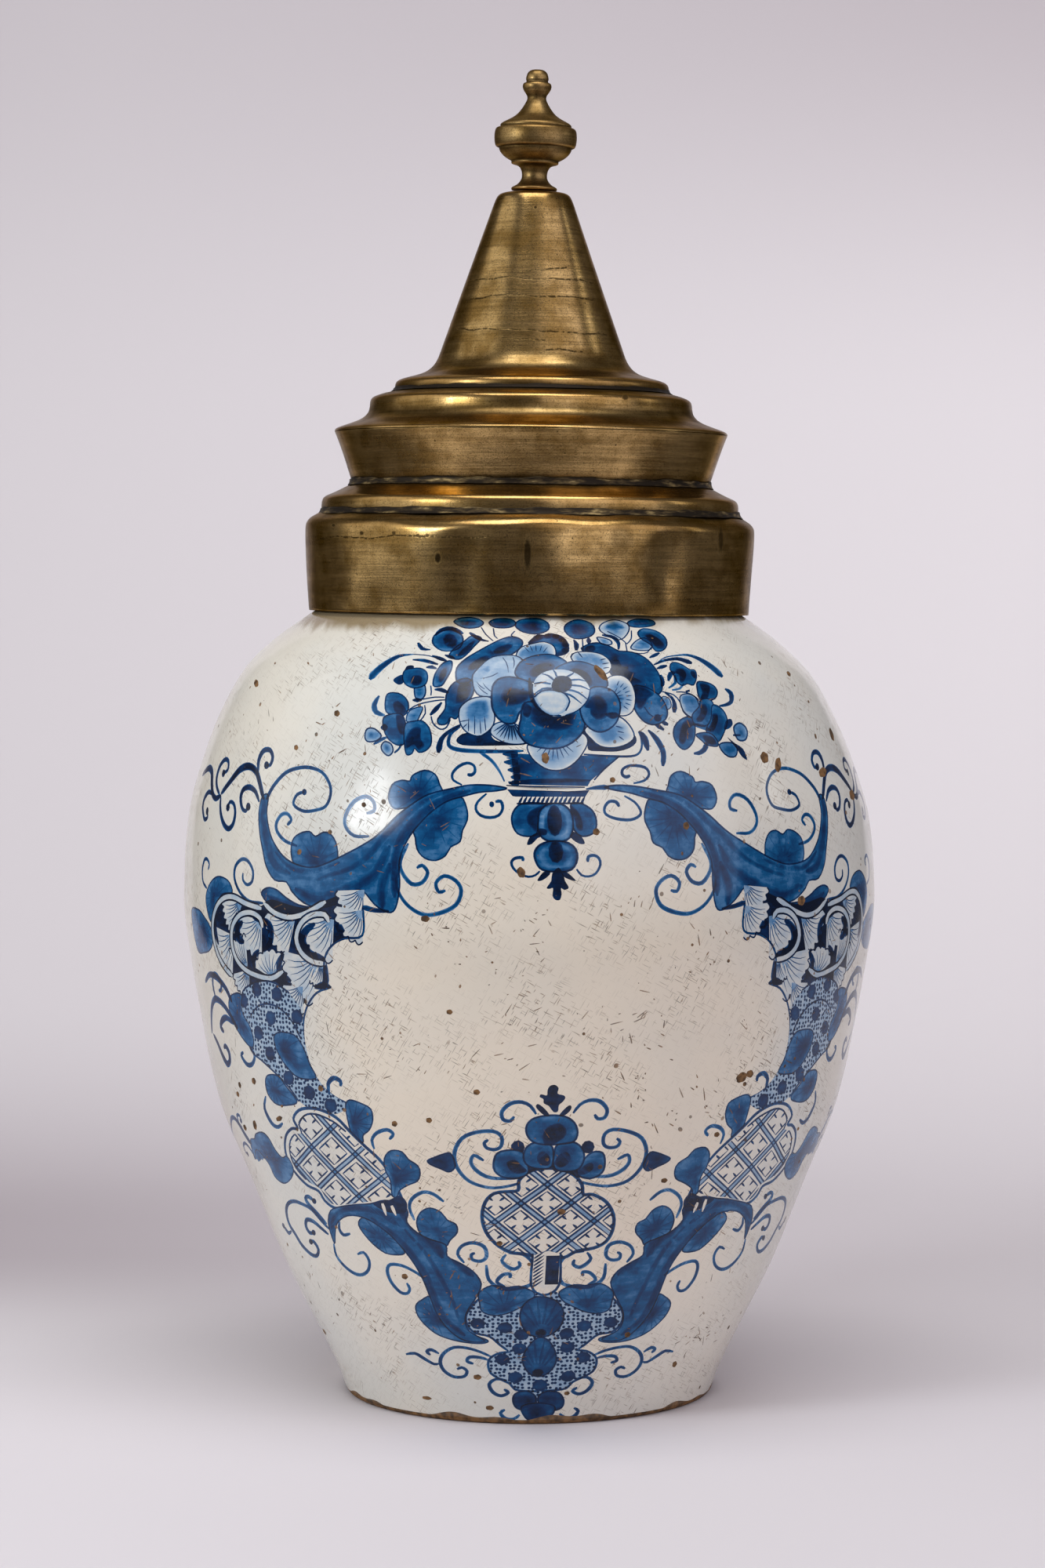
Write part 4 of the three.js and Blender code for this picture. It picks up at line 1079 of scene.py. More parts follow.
def shell_panel(hand):
    """The panel over the field's shoulder, from the field's corner to the jar's side, and the thin line that
    bounds the bare field."""
    hand.wash([(-70, 210), (-72, 202), (-71, 194.4), (-77, 193.6), (-82.6, 191), (-86.4, 186), (-86.4, 177),
               (-91, 174.4), (-98, 166.6), (-105, 170.4), (-110, 174.6), (-118, 174.4), (-126, 171.6),
               (-131, 169.4), (-137, 174.6), (-146, 178), (-150.6, 186), (-151, 194), (-146, 202),
               (-137, 204.6), (-126, 203), (-117, 202.4), (-112, 205), (-96, 203), (-86, 206), (-78, 209)],
              2.4)
    lobes(hand, (
        ([(-135, 206), (-138, 210), (-146, 211), (-153, 208), (-157, 203), (-155, 197), (-152, 194),
          (-149, 197), (-147, 201), (-142, 205)], (-149.6, 203)),
        ([(-176, 196), (-165, 197.4), (-158, 195), (-153, 192), (-151.6, 187), (-155, 183.4), (-162, 181.6),
          (-172, 182)], (-158, 189)),
    ), hides=True)
    for hinge, turn, reach, spread in (
        ((-128, 203), 212, 13, 62), ((-116.6, 197.4), 222, 13.4, 92), ((-99.4, 199.4), 216, 14, 76),
        ((-82.4, 199.4), 222, 14, 92), ((-70, 210.4), 226, 10.6, 84), ((-70.6, 203), 222, 10.6, 96),
        ((-134.4, 190.4), 216, 14, 90), ((-126, 177.4), 122, 12.6, 62), ((-112, 176.4), 96, 9.6, 130),
        ((-89, 184.6), 216, 15.6, 88), ((-125.4, 178.4), 232, 10.4, 78), ((-96.4, 174.4), 226, 9.4, 90),
        ((-87.6, 184), 262, 8.6, 60),
    ):
        shell(hand, hinge, turn, reach, spread)
    for path, width in (
        ([(-90.6, 197.6), (-95, 194.6), (-96.4, 190.4), (-93, 186.6), (-86.6, 185.4)], 4.2),
        ([(-128, 196), (-131.6, 193.4), (-131, 189.6), (-127.4, 188.6)], 4.4),
        ([(-105.4, 186), (-108, 182), (-106.4, 178), (-102, 176)], 3.6),
        ([(-118.6, 186.4), (-122, 183), (-121.6, 178.6)], 3.0),
        ([(-122, 198), (-113, 196), (-112, 190), (-116, 186)], 3.4),
        ([(-149, 198), (-148.6, 191), (-146.6, 186)], 3.4),
        ([(-86, 184), (-86.4, 176), (-91, 174.4)], 3.0), ([(-78, 195.4), (-82, 197.6)], 3.4),
    ):
        hand.line(path, (0.5 * width, width, 0.5 * width), DARK)
    for path in (
        [(-117, 201.4), (-126, 202.6), (-134, 204.4), (-141, 203.6), (-147, 200), (-150.6, 194),
         (-150.6, 188), (-148, 182.4), (-143, 178), (-137, 175)],
        [(-116.4, 194.6), (-117.6, 197.8), (-123, 199.6), (-130, 198.2), (-135, 193.6), (-136, 187.6),
         (-133.6, 182), (-128, 178.4), (-120, 176.6), (-112, 176.4), (-106, 179.4)],
        [(-115.6, 203.4), (-110, 200.4), (-103, 199.2), (-96, 200.6), (-90, 203.4), (-86, 205.6)],
        [(-84.6, 198.4), (-86.4, 201), (-92, 200.6), (-97, 197.4), (-99.2, 192), (-97, 187), (-92, 184),
         (-86, 183.4)],
    ):
        white_band(hand, path)
    hand.line([(-71, 204.4), (-66, 203.4), (-60.5, 203.2)], (2.2, 1.2), DARK)
    for edge in ([(-70.5, 204), (-70.8, 194.4), (-78, 193), (-83, 190.4), (-86.4, 185.4), (-86.6, 177)],
                 [(-83.6, 175), (-90, 172.6), (-94.6, 167), (-96.6, 160), (-96, 152), (-93.6, 145),
                  (-89, 138.6), (-82.6, 134.4), (-77.6, 132.6)]):
        hand.line(edge, 0.9, DEEP)
    hand.line([(-83.6, 175), (-87, 175.8), (-91, 174.6)], (0.8, 2.8, 1.0), DARK)


# %% Dotted panels


def blue_discs(hand, centres, size=3.0):
    """Round blue beads, a little deeper at the rim."""
    for centre in centres:
        hand.dab(centre, (size, 0.93 * size), 0, ((0, DEEP * 0.9), (0.6, DEEP), (1, DEEP * 1.25)), hides=True)


def dotted_panel(hand):
    """A stippled band with blue discs and leaves along the field's lower shoulder."""
    hand.wash([(-130, 170), (-124, 173), (-116, 175), (-110, 175), (-104, 172), (-97.6, 166), (-96.4, 156),
               (-94, 147), (-90.4, 141), (-86, 136.6), (-80, 133.4), (-77, 131), (-84, 127.6), (-97, 129.6),
               (-105, 136), (-112, 140.5), (-120, 144.5), (-127, 148), (-132, 158), (-132, 165)], 0.2,
              dots=1.0, hides=True)
    for line in ([(-103, 171.6), (-110, 174.6), (-117, 175), (-124, 173.2), (-130, 170), (-132, 165),
                  (-132, 158), (-127.4, 148), (-120, 144.5), (-112, 140.5), (-105, 136), (-100, 131)],
                 [(-126, 161), (-121, 165), (-115, 166.6), (-108, 165.4), (-102, 161), (-98, 155)]):
        hand.line(line, 0.8, DEEP)
    blue_discs(hand, ((-121, 171.4), (-109.5, 170.6), (-130, 166.4), (-99.5, 163), (-113.5, 161.4),
                      (-121.5, 155), (-129.6, 155.4), (-115, 147.8), (-105, 139.6), (-94.5, 135),
                      (-84.6, 131)))
    lobes(hand, (
        ([(-131, 168), (-134, 169), (-140, 167), (-142, 163), (-140, 158), (-136, 154), (-130, 150),
          (-126, 149), (-125, 152), (-127, 157), (-131, 161), (-132, 165)], (-134, 160)),
        ([(-112, 155), (-108, 156.6), (-101, 156), (-97, 152), (-94, 146), (-91, 141), (-96, 140),
          (-101, 140.6), (-106, 144), (-110, 148), (-112, 151.6)], (-107.6, 150)),
        ([(-119, 136.6), (-117, 139.4), (-111, 139.8), (-107, 136.6), (-101, 131), (-106, 129),
          (-113, 128.6), (-118, 132)], (-114, 134)),
        ([(-78, 131), (-77, 133.4), (-75, 133.8), (-70.6, 132.6), (-67.4, 131), (-66.6, 127), (-68, 123),
          (-70.6, 120.6), (-70.6, 118), (-72.4, 116.4), (-74.6, 118.6), (-76.4, 123)], (-74.6, 125)),
    ), hides=True)
    tendrils(hand, (
        [(-136, 155), (-143, 161), (-149, 164), (-155, 164.5), (-160, 161), (-163.5, 155), (-165, 150)],
        [(-163, 150), (-158, 147), (-153, 142.4), (-149, 140), (-146, 141.6), (-146, 145), (-149, 147),
         (-151, 146)],
        [(-165, 170), (-158, 173.6), (-150, 173), (-143, 169.6), (-139, 165)],
        [(-139, 156.6), (-145, 158.4), (-150, 156.6), (-152, 154), (-149, 152.4)],
    ), (1.8, 2.9, 2.0), 1.8)
    tendrils(hand, (
        [(-154, 164.6), (-155.6, 170), (-154, 174), (-150, 174), (-147, 171), (-148, 168.6), (-150, 168.4)],
        [(-128, 149), (-125, 146), (-127, 142.6), (-131, 142), (-135, 145), (-133, 146.4)],
        [(-85, 135), (-85.5, 139), (-83, 141.5), (-80, 140.5), (-80, 138.6)],
        [(-119.5, 131), (-121, 126), (-117, 120.5), (-113, 119.5), (-110, 121.5)],
    ), (1.3, 2.0, 1.5))


# %% Lattice panels


def trellis(hand, centre, one_way, other_way, inside):
    """A trellis of double bars. The cells stand at centre plus whole numbers of the two steps, and from the
    middle of each side of a cell a pointed stroke runs inwards, which leaves a flower of four white
    petals."""
    one_way, other_way = np.array(one_way, float), np.array(other_way, float)
    for k in range(-2, 3):
        for along, aside in ((one_way, other_way), (other_way, one_way)):
            middle = centre + (k + 0.5) * aside + 0.5 * along
            ends = np.array([middle - 2.4 * along, middle + 2.4 * along])
            gap = 0.85 * np.array([-along[1], along[0]]) / np.hypot(*along)
            hand.strokes(ends[:1], ends[1:], width=2.0, cobalt=0.22, inside=inside)
            hand.strokes([ends[0] + gap, ends[0] - gap], [ends[1] + gap, ends[1] - gap], width=0.8,
                         cobalt=1.25, inside=inside)
    steps = np.array([(i, j) for i in range(-1, 3) for j in range(-1, 3)], float)
    cells = centre + steps[:, :1] * one_way + steps[:, 1:] * other_way
    sides = np.array([one_way, other_way, -one_way, -other_way])
    corners = 0.32 * (sides + np.roll(sides, -1, axis=0))
    hand.strokes((cells[:, None] + corners).reshape(-1, 2),
                 (cells[:, None] + np.roll(corners, -1, axis=0)).reshape(-1, 2), width=0.75, cobalt=1.3,
                 inside=inside)
    hand.strokes((cells[:, None] + 0.32 * sides).reshape(-1, 2),
                 (cells[:, None] + 0.13 * sides).reshape(-1, 2), width=1.0, cobalt=1.5, inside=inside)


def lattice_panel(hand):
    """A trellis in a white double frame, the leaf at its inner corner and the branch at its outer one."""
    frame_line = [(-101.6, 120.4), (-103.6, 124), (-100.4, 127.6), (-95, 129), (-89, 128.8), (-82, 126.4),
                  (-76, 121.4), (-70, 116.4), (-64, 111.4), (-60, 106), (-56, 98), (-55.6, 95), (-62, 93.8),
                  (-71, 91.2), (-78, 89.6), (-85, 88.6), (-90, 91), (-93, 94.8), (-99, 96.4), (-105, 100.4),
                  (-109, 105), (-110.2, 111), (-108.6, 116.6), (-105, 119.8)]
    hand.wash(frame_line, 0.05, hides=True)
    panel = hand.wash([(-100, 118.6), (-101.4, 122), (-98, 126), (-92, 127.2), (-84, 125.2), (-77, 120.4),
                       (-66, 112), (-60.6, 105), (-57, 97), (-63, 94.6), (-72, 92.4), (-84, 90), (-89, 91.6),
                       (-92, 96), (-99, 98.4), (-105, 103.4), (-107.6, 109), (-106.4, 115),
                       (-103.6, 117.8)], 0.05, hides=True)
    trellis(hand, np.array((-94.0, 104.4)), (9.7, 8.5), (10.8, -9.2), panel)
    hand.line(frame_line, 1.3, DEEP, closed=True)
    hand.line([(-99.4, 119), (-100.6, 122), (-97.6, 125.8), (-92, 127), (-84, 125), (-78, 121.4)], 0.8, DEEP)
    hand.line([(-103.6, 117.6), (-106.4, 114.6), (-107.4, 109), (-105, 103.4), (-99.4, 98.8)], 0.8, DEEP)
    lobes(hand, (
        ([(-59, 97), (-59.6, 103), (-61.6, 107), (-62, 112), (-59.4, 115.4), (-55, 115.2), (-52.6, 112.4),
          (-49, 110), (-48, 107), (-49, 103.6), (-52.6, 101.6), (-56, 99), (-57, 96)], (-57.4, 104)),
        ([(-138, 108), (-136.6, 111), (-132.4, 112), (-131, 114), (-125, 115.8), (-120.6, 114), (-117, 109.4),
          (-113, 106.6), (-109.6, 107.6), (-106.6, 103), (-108, 99), (-112, 95.8), (-116, 95), (-121, 97),
          (-124, 102), (-130, 106.4), (-134, 106.6), (-137, 102)], (-119, 105)),
    ), hides=True)
    hand.line([(-137, 108.6), (-142, 112.5), (-146, 116), (-151, 118), (-156, 117), (-160, 114), (-165, 110),
               (-172, 107)], (2.6, 2.0, 2.4), DEEP)
    tendrils(hand, ([(-137, 104), (-141, 107), (-145, 108), (-148.4, 106), (-147.6, 103.4), (-145.4, 103)],
                    [(-146, 116), (-146.6, 119.6), (-143.6, 120), (-143, 118)]), (1.2, 1.6, 1.2), DEEP, 1.2)
    tendrils(hand, (
        [(-66, 115.5), (-67, 119), (-65, 122), (-61, 123.5), (-58.5, 122), (-60, 119.8)],
        [(-50, 87), (-52, 92), (-51, 96), (-47, 99), (-43, 98.5), (-39, 95.5)],
    ), cobalt=MIDDLE * 1.2)


# %% Lower leaf scroll


def lower_acanthus(hand):
    """The scroll that carries the whole frame: it rises from the foot, bends out under the lattice, rolls
    over at its tip, and throws lobes to both sides."""
    lobes(hand, (
        ([(-42, 79), (-47, 80.5), (-49.2, 86), (-47.6, 90.6), (-44, 92.6), (-40, 91), (-37.6, 88),
          (-34.4, 86.4), (-33.8, 83), (-36.4, 79.6), (-38, 77)], (-41.6, 83)),
        ([(-43, 55), (-47, 53.6), (-49.6, 50.6), (-48.6, 46), (-45, 41.6), (-40, 38), (-32, 35.8),
          (-24, 35.4), (-21.5, 37), (-28, 40), (-36, 46)], (-42, 46)),
        ([(-72, 86), (-73.8, 82.6), (-69.4, 77), (-64, 73), (-60, 71.8), (-54, 72.8), (-57, 78), (-62, 84),
          (-67, 86.6)], (-64, 78.6)),
    ))
    body = hand.form([(-86.5, 73), (-88.8, 79), (-89, 83), (-87.4, 87), (-83.6, 89), (-76, 91), (-68, 92.4),
                      (-62, 94.4), (-55, 93.6), (-52.6, 90), (-53, 86), (-49, 82), (-44, 79.6), (-38, 77.6),
                      (-37.4, 73), (-32.6, 70.4), (-27.6, 67), (-24.6, 62), (-26.4, 56), (-29, 51),
                      (-30.2, 46), (-28.6, 41), (-22.6, 36.6), (-30, 36.4), (-36, 40.6), (-40.6, 47),
                      (-43.4, 54), (-46.4, 62), (-50, 68.6), (-55, 75), (-60, 80), (-66, 84), (-71, 86),
                      (-76.6, 86.4), (-81, 85), (-84.6, 81.6), (-85.8, 77.6)], 0.85, hides=True)
    shading(hand, (
        ([(-87.4, 76), (-86, 84), (-78, 89), (-66, 89.6), (-56, 84)], 3.4, 1.0),
        ([(-68, 86.4), (-56, 78), (-48, 68), (-43, 57), (-38, 46), (-30, 38.6)], 4, 1.1),
        ([(-54, 83), (-46, 74), (-40, 64), (-35, 54), (-32.6, 46)], 2.6, 0.8),
        ([(-56, 91), (-50, 84.6), (-43, 78.6), (-39, 72)], 6.4, 1.5),
        ([(-37, 75.4), (-33, 70), (-27.4, 65)], 4.4, 1.3),
    ), body)
    hand.wash([(-56, 97), (-60, 94.8), (-67, 92.6), (-61, 89.6), (-54, 89.6), (-53, 94)], DARK, hides=True)
    hand.strokes([(-63, 93), (-59.2, 92.4)], [(-61.4, 88), (-57.4, 88.4)], width=1.4, cobalt=0.05, hides=True)
    tendrils(hand, (
        [(-89, 79), (-93, 82), (-98, 86), (-103, 87.5), (-109, 88), (-114, 86), (-116.5, 82), (-116, 77),
         (-112, 73), (-108, 69), (-102, 66), (-98, 66), (-96.5, 69), (-99, 72), (-101, 71.6)],
        [(-90, 81), (-95, 85), (-99.5, 88), (-101, 90.5), (-99, 91.5), (-96, 90)],
        [(-89.5, 76.5), (-94, 79), (-98, 81), (-102, 81), (-103, 78), (-101, 75.5), (-98.4, 76)],
        [(-115, 74), (-118, 72.5), (-122, 75)],
    ), (1.2, 2.0, 1.7), DEEP, 1.3)
    tendrils(hand, (
        [(-87, 73), (-86, 68), (-82, 64), (-77, 61.5), (-73, 61.5), (-70, 64), (-69.5, 68), (-72, 71.2),
         (-75, 70)],
        [(-83, 83), (-83.5, 80), (-81.5, 77.5), (-78, 78.5)],
        [(-46, 63), (-50, 65.5), (-55, 67.5), (-60, 67.5), (-61.4, 64.6), (-59.8, 60), (-56, 56),
         (-53, 55.8), (-52, 58), (-53.2, 60.3)],
    ), cobalt=MIDDLE * 1.25)


# %% Foot of the frame


def foot_piece(hand):
    """The half of the bottom piece on one side: stippled field, discs, leaf and tendrils."""
    hand.wash([(0, 58), (-8, 56), (-16, 57), (-25, 56), (-28.6, 51), (-30, 47), (-29, 43), (-26, 40),
               (-21, 38.6), (-17, 35), (-14, 32.4), (-17, 31.5), (-20.4, 29), (-21.2, 26), (-20, 22),
               (-16, 19.2), (-13, 17.6), (-11, 15), (-7, 14.2), (0, 14.2)], 0.2, dots=1.0, hides=True)
    for line in ([(-25, 56), (-28.6, 51), (-30, 47), (-29, 43), (-26, 40), (-21, 38.8), (-17, 35),
                  (-14, 32.4)],
                 [(-13, 32), (-17, 31.5), (-20.4, 29), (-21.2, 26), (-20, 22), (-16, 19.2), (-13, 17.6),
                  (-11, 15), (-7, 14.3), (0, 14.2)]):
        hand.line(line, 1.0, DEEP)
    blue_discs(hand, ((-25.5, 44.5), (-15.5, 43), (-10, 33.6), (-16, 28.6), (-11, 20.4), (-9.4, 40)), 2.8)
    lobes(hand, (
        ([(-25, 53.6), (-25.4, 58), (-21, 61.4), (-15, 60.8), (-11, 61.4), (-5.6, 58.6), (-6.6, 55),
          (-10.6, 52), (-15, 49.4), (-20, 48.4), (-24, 50)], (-16, 51.4)),
    ), hides=True)
    tendrils(hand, (
        [(-20, 29.5), (-24, 31.5), (-29, 33), (-34, 33), (-38, 30), (-39.5, 26), (-38, 22), (-34, 19.5),
         (-30, 20), (-29, 22.5), (-31, 24), (-32.8, 23)],
        [(-21, 28), (-24, 29), (-28, 29), (-29, 27), (-26.6, 26)],
        [(-40, 29.5), (-43, 31), (-45, 30), (-43.5, 28.5)],
        [(-40, 25), (-42, 24.5), (-46, 26.5), (-50, 28.5), (-54, 27.5)],
        [(-14, 19), (-18, 19.5), (-20.5, 17), (-19, 13.5), (-16, 12), (-13.4, 13.5), (-15, 15)],
        [(-9, 4), (-11, 2.2), (-14, 2.2), (-16, 4.5), (-14.4, 6)],
    ))


def foot_middle(hand):
    """Its middle: two tall petals one over the other, and the small flower that ends the frame."""
    for outline, heart, dark in (
        ([(-10.4, 48), (-9.4, 53), (-6, 56.4), (-2, 56.8), (2.4, 55), (5, 51), (5.2, 46), (3, 41.6),
          (-1, 39), (-6, 39.6), (-9, 43)], (-2.4, 50), (-2.6, 40.8)),
        ([(-8.8, 28), (-7.6, 33), (-5, 37.4), (-2.4, 38.8), (0.6, 37), (3, 32), (3.4, 27), (1, 22.6),
          (-2.6, 20.8), (-6.4, 22.6)], (-2.6, 32), (-3, 22.6)),
    ):
        petal = hand.petal(outline, heart, ((0, 0.75), (0.5, 0.95), (0.85, 1.15), (1, 1.4)), hides=True)
        hand.dab(dark, (2.2, 1.9), 0, ((0, DARK), (0.7, DARK), (1, 0.4)), inside=petal)
        hand.rays(np.array(dark, float), 55, 125, 4, 15, 6, width=1.0, cobalt=0.3, inside=petal)
    blue_discs(hand, ((-2, 17),), 2.9)
    for outline, heart in (
        ([(-11.6, 9.6), (-11, 13), (-7, 14.4), (-3.4, 12), (-3.4, 8), (-6, 6), (-10, 6.6)], (-6, 10)),
        ([(-2.4, 12), (1, 14.2), (5, 13.4), (7, 10), (6.2, 6.6), (2.6, 5.6), (-1.6, 7.6)], (1, 10.4)),
        ([(-8.4, 7.4), (-2.6, 9), (3.6, 7.4), (2.6, 3.4), (-0.6, 1.4), (-5, 1.4), (-7.4, 3.6)], (-2.4, 4)),
    ):
        hand.petal(outline, heart, ((0, DARK), (0.4, 1.8), (0.75, 1.3), (1, 1.5)), hides=True)


# %% Medallion and fleuron


def medallion(hand):
    """The lattice medallion on its stem, in a frame that swells to both sides and at the top."""
    outline = [(-12.6, 101), (-12.4, 105), (-9, 108.6), (-4, 110), (2, 109.6), (7, 107), (10, 103),
               (10.6, 99), (14, 98.8), (19, 95.6), (22, 90), (22, 84), (19.6, 79), (15, 76.6), (9, 75.6),
               (4, 73), (-1, 75.6), (-5, 73.6), (-9, 74.6), (-15, 75.6), (-20, 79), (-23.6, 84), (-25, 90),
               (-24, 96), (-21, 99.6), (-17, 100.4)]
    panel = hand.wash(outline, 0.05, hides=True)
    trellis(hand, np.array((-2.5, 95.5)), (8.6, -7.8), (-9.1, -7.8), panel)
    hand.line(outline, 1.4, DEEP, closed=True)
    stem = hand.wash([(-6.4, 74.4), (-6.6, 61), (-2, 57.4), (3.2, 61), (3.4, 74.6), (-1, 76)], 0.06,
                     straight=True, hides=True)
    hand.hatch([(-6.4, 60), (-6, 75)], 4.6, 1.5, -50, width=0.7, cobalt=DEEP, inside=stem)
    hand.wash([(-2, 62), (-1.8, 74), (3, 74), (2.8, 62)], DARK, straight=True)
    hand.line([(-6.6, 75), (-6.7, 61.6), (-2.2, 57.6), (3.1, 61.6), (3.3, 75)], 1.0, DEEP)


def fleuron(hand):
    """The little plume over the medallion: side lobes, middle lobes, a round petal and a leafed tip."""
    hand.wash([(-13, 108), (-12, 105.6), (-8, 108.6), (-3, 110.2), (3, 109.6), (8, 106), (10, 107.4),
               (4, 113), (-8, 113)], DARK)
    dark = ((0, DARK), (1, DARK))
    hand.dab((-13.2, 118.4), (2.5, 2.8), 0, dark)
    hand.dab((11.6, 118.2), (2.4, 2.6), 0, dark)
    for outline, core in (
        ([(-21.6, 112), (-20.4, 116), (-16, 117.4), (-11.4, 116.4), (-9.6, 112), (-9.4, 108), (-13, 106),
          (-18, 106.4), (-21, 108.8)],
         [(-17, 112.4), (-14, 113.6), (-12, 111.6), (-9.6, 109), (-13, 107.8), (-15.8, 109.4)]),
        ([(8, 107.6), (9.4, 112), (13, 116), (17, 115.8), (18, 111.6), (17, 107.6), (12.6, 105.4)],
         [(7, 107.4), (11.4, 111.6), (13.6, 111.8), (13.6, 109), (10.4, 107)]),
        ([(-10.8, 113), (-10.8, 117), (-8.6, 119.8), (-4, 120.6), (-1, 118.4), (-0.6, 113), (-2, 110),
          (-8, 110.4)],
         [(-6.4, 114), (-5.4, 116.6), (-3, 116.2), (-1.4, 113.4), (-2.4, 111), (-5.2, 111.6)]),
        ([(0, 110), (-0.4, 116), (1, 119.6), (6, 120.4), (9.4, 118), (10.4, 113.8), (8.6, 109.6), (4, 108.6)],
         [(-0.2, 112), (1.2, 115.2), (4, 116.6), (5.6, 114.4), (4.6, 111.6), (2, 110.2)]),
        ([(-10.2, 123.6), (-10.2, 127), (-7.6, 129.6), (-2, 130.6), (3.4, 130), (6.6, 127.6), (7.8, 124),
          (6.6, 120.6), (2, 119.6), (-3.6, 119.4), (-8, 120.6)],
         [(-4.6, 123), (-3, 126.2), (0.6, 127.6), (3.2, 126.2), (3.8, 123.4), (1.8, 121), (-0.8, 119.4),
          (-3.8, 119.4)]),
    ):
        lobe = hand.petal(outline, np.mean(outline, axis=0), FULL_PETAL, 0.7, hides=True)
        hand.blot(core, np.mean(core, axis=0), ((0, 1.6), (0.85, 1.5), (1, 0.4)), inside=lobe)
    for tip in ([(-3.2, 139.8), (-2.4, 141.4), (-0.6, 141.8), (0.7, 140.6), (0.4, 138.6), (2.6, 137.9),
                 (3.1, 136.8), (2, 135.3), (0.9, 134.3), (0.6, 132), (-1, 131.8), (-2.6, 134), (-4.4, 135),
                 (-4.6, 136.6), (-5.9, 137.4), (-5.4, 138.4), (-3.4, 138)],
                [(-7.2, 134), (-6.3, 134.8), (-4, 133), (-2.2, 130.4), (-4, 130.4), (-6.4, 132.6)],
                [(1, 130.4), (3, 133), (4.6, 134.2), (5.4, 133.6), (4.8, 132), (2.6, 130.2)]):
        hand.wash(tip, DARK)


def medallion_tendrils(hand):
    """The curls round the medallion on one side, with the small spade leaf that hangs free."""
    tendrils(hand, (
        [(-12, 104), (-17, 102.5), (-23, 102), (-30, 104.5), (-34.5, 110), (-35.5, 116), (-33, 121.5),
         (-28, 124), (-22, 124.5), (-19, 122.5), (-19, 119), (-21, 117.5), (-24, 118), (-25, 120),
         (-23.6, 121.2)],
        [(-12.5, 106), (-22, 106), (-27, 108.5), (-29.5, 112), (-28.5, 115), (-25, 113)],
        [(-7, 131), (-9, 134), (-12, 135.5), (-16, 135), (-19, 132), (-18.5, 129), (-16, 128.5),
         (-14.7, 130.2)],
        [(-31, 70.5), (-33.5, 74), (-32, 77.5), (-28, 79), (-24, 77.5), (-23, 73.5), (-25, 71.5), (-28, 72),
         (-28.5, 74), (-27.2, 74.8)],
        [(-16, 74.5), (-17.5, 72), (-15.5, 69.5), (-13, 68.5), (-11, 70), (-11.6, 71.8)],
        [(-16, 61), (-19, 63), (-17, 66), (-14.4, 66.4), (-14.5, 64.7)],
        [(-15, 75), (-10, 74.5), (-6.5, 71), (-6, 67), (-7, 62), (-14, 60), (-18, 60.5), (-22, 64),
         (-23, 70)],
    ), cobalt=MIDDLE * 1.3)
    hand.petal([(-35.2, 112), (-37, 115.6), (-40, 115), (-42.6, 113.8), (-45.4, 112.2), (-44, 110.6),
                (-41, 109.4), (-37.4, 108), (-35.4, 109.6)], (-40, 112), ((0, DARK), (0.5, 1.7), (1, 1.2)))


for hand in (left, right):
    upper_acanthus(hand)
    outer_tendrils(hand)
    shell_panel(hand)
    dotted_panel(hand)
    lattice_panel(hand)
    lower_acanthus(hand)
    foot_piece(hand)
    medallion_tendrils(hand)
# the basket's foot ends sooner on the right, and the scroll reaches on to it
right.line([(-19, 247), (-14, 246.8), (-10.6, 246.4)], (2.2, 1.6, 0.6), DEEP)
foot_middle(left)
medallion(left)
fleuron(left)

# %% [markdown]
# Two centuries of knocks show as chips down to the brown body and as fine scratches in loose clusters, most
# of them on the front. The chips that catch the eye have their places; the small ones and the scratches are
# strewn by a seeded draw. The foot has lost its glaze along its edge.

# %% Chips and scratches
# each chip is its place on the chart, its half sizes and its tilt
chips = (
    ((-3.5, 258), (1.3, 2), 0), ((13.5, 231.5), (1.2, 1.2), 0), ((-13, 217.5), (1.4, 1.9), 20),
    ((17.5, 291.5), (1.4, 4), 30), ((-134, 283), (2.6, 1.3), -20), ((-101, 259.5), (1.1, 1), 0),
    ((84, 257), (2, 2.2), 30), ((91, 254), (1.7, 2.8), -15), ((137, 264), (2.4, 2.6), 0),
    ((-47, 201), (1.6, 1.1), 0), ((-89, 137), (1.2, 1.1), 0), ((-127, 136), (1.5, 1.3), 0),
    ((-139, 133), (1.2, 1.2), 0), ((-142, 129), (1.4, 1.1), 0), ((-130, 118), (1.5, 2), 0),
    ((-140, 115.5), (1.6, 1.3), 0), ((-112, 123), (2, 1), 20), ((-58, 126), (1.1, 1.1), 0),
    ((-45, 128), (1.1, 1), 0), ((-54, 63), (1.3, 1.2), 0), ((-25, 20), (1.5, 1.2), 0),
    ((-20, 6.5), (1.5, 1), 0), ((-45, 8.5), (2, 0.8), 0), ((8, 13), (1, 0.9), 0), ((-28, 139), (1.2, 1), 0),
    ((-18.5, 79), (1.1, 1), 0), ((3, 92), (1.5, 1.2), 0), ((-82, 273), (1.3, 1.2), 0),
    ((100, 204), (2.2, 1.7), 0), ((72, 141), (2.6, 1.8), 20), ((76, 142), (1.7, 1.4), 0),
    ((47, 233), (1.2, 1.4), 0), ((-38, 168), (1.1, 0.9), 0), ((20, 250), (1, 1), 0),
    ((120, 250), (3.2, 1.8), 10), ((146, 240), (3.4, 2), 0), ((53, 21), (1.2, 1.4), 0),
    ((30, 38), (1.2, 1.2), 0), ((-110, 27), (2.6, 1.3), 0), ((62, 120), (1.2, 1), 0),
    ((41, 103), (1.3, 1), 0), ((-70, 240), (0.9, 0.9), 0), ((110, 290), (1.6, 1.2), 0),
)
CHIP_TONES = ((0, 0), (1, 0))
SMALL_CHIPS = 130
for centre, size, tilt in chips:
    left.dab(centre, size, tilt, CHIP_TONES, 5, clay=1.0, hides=True)
rng = np.random.default_rng(1741)
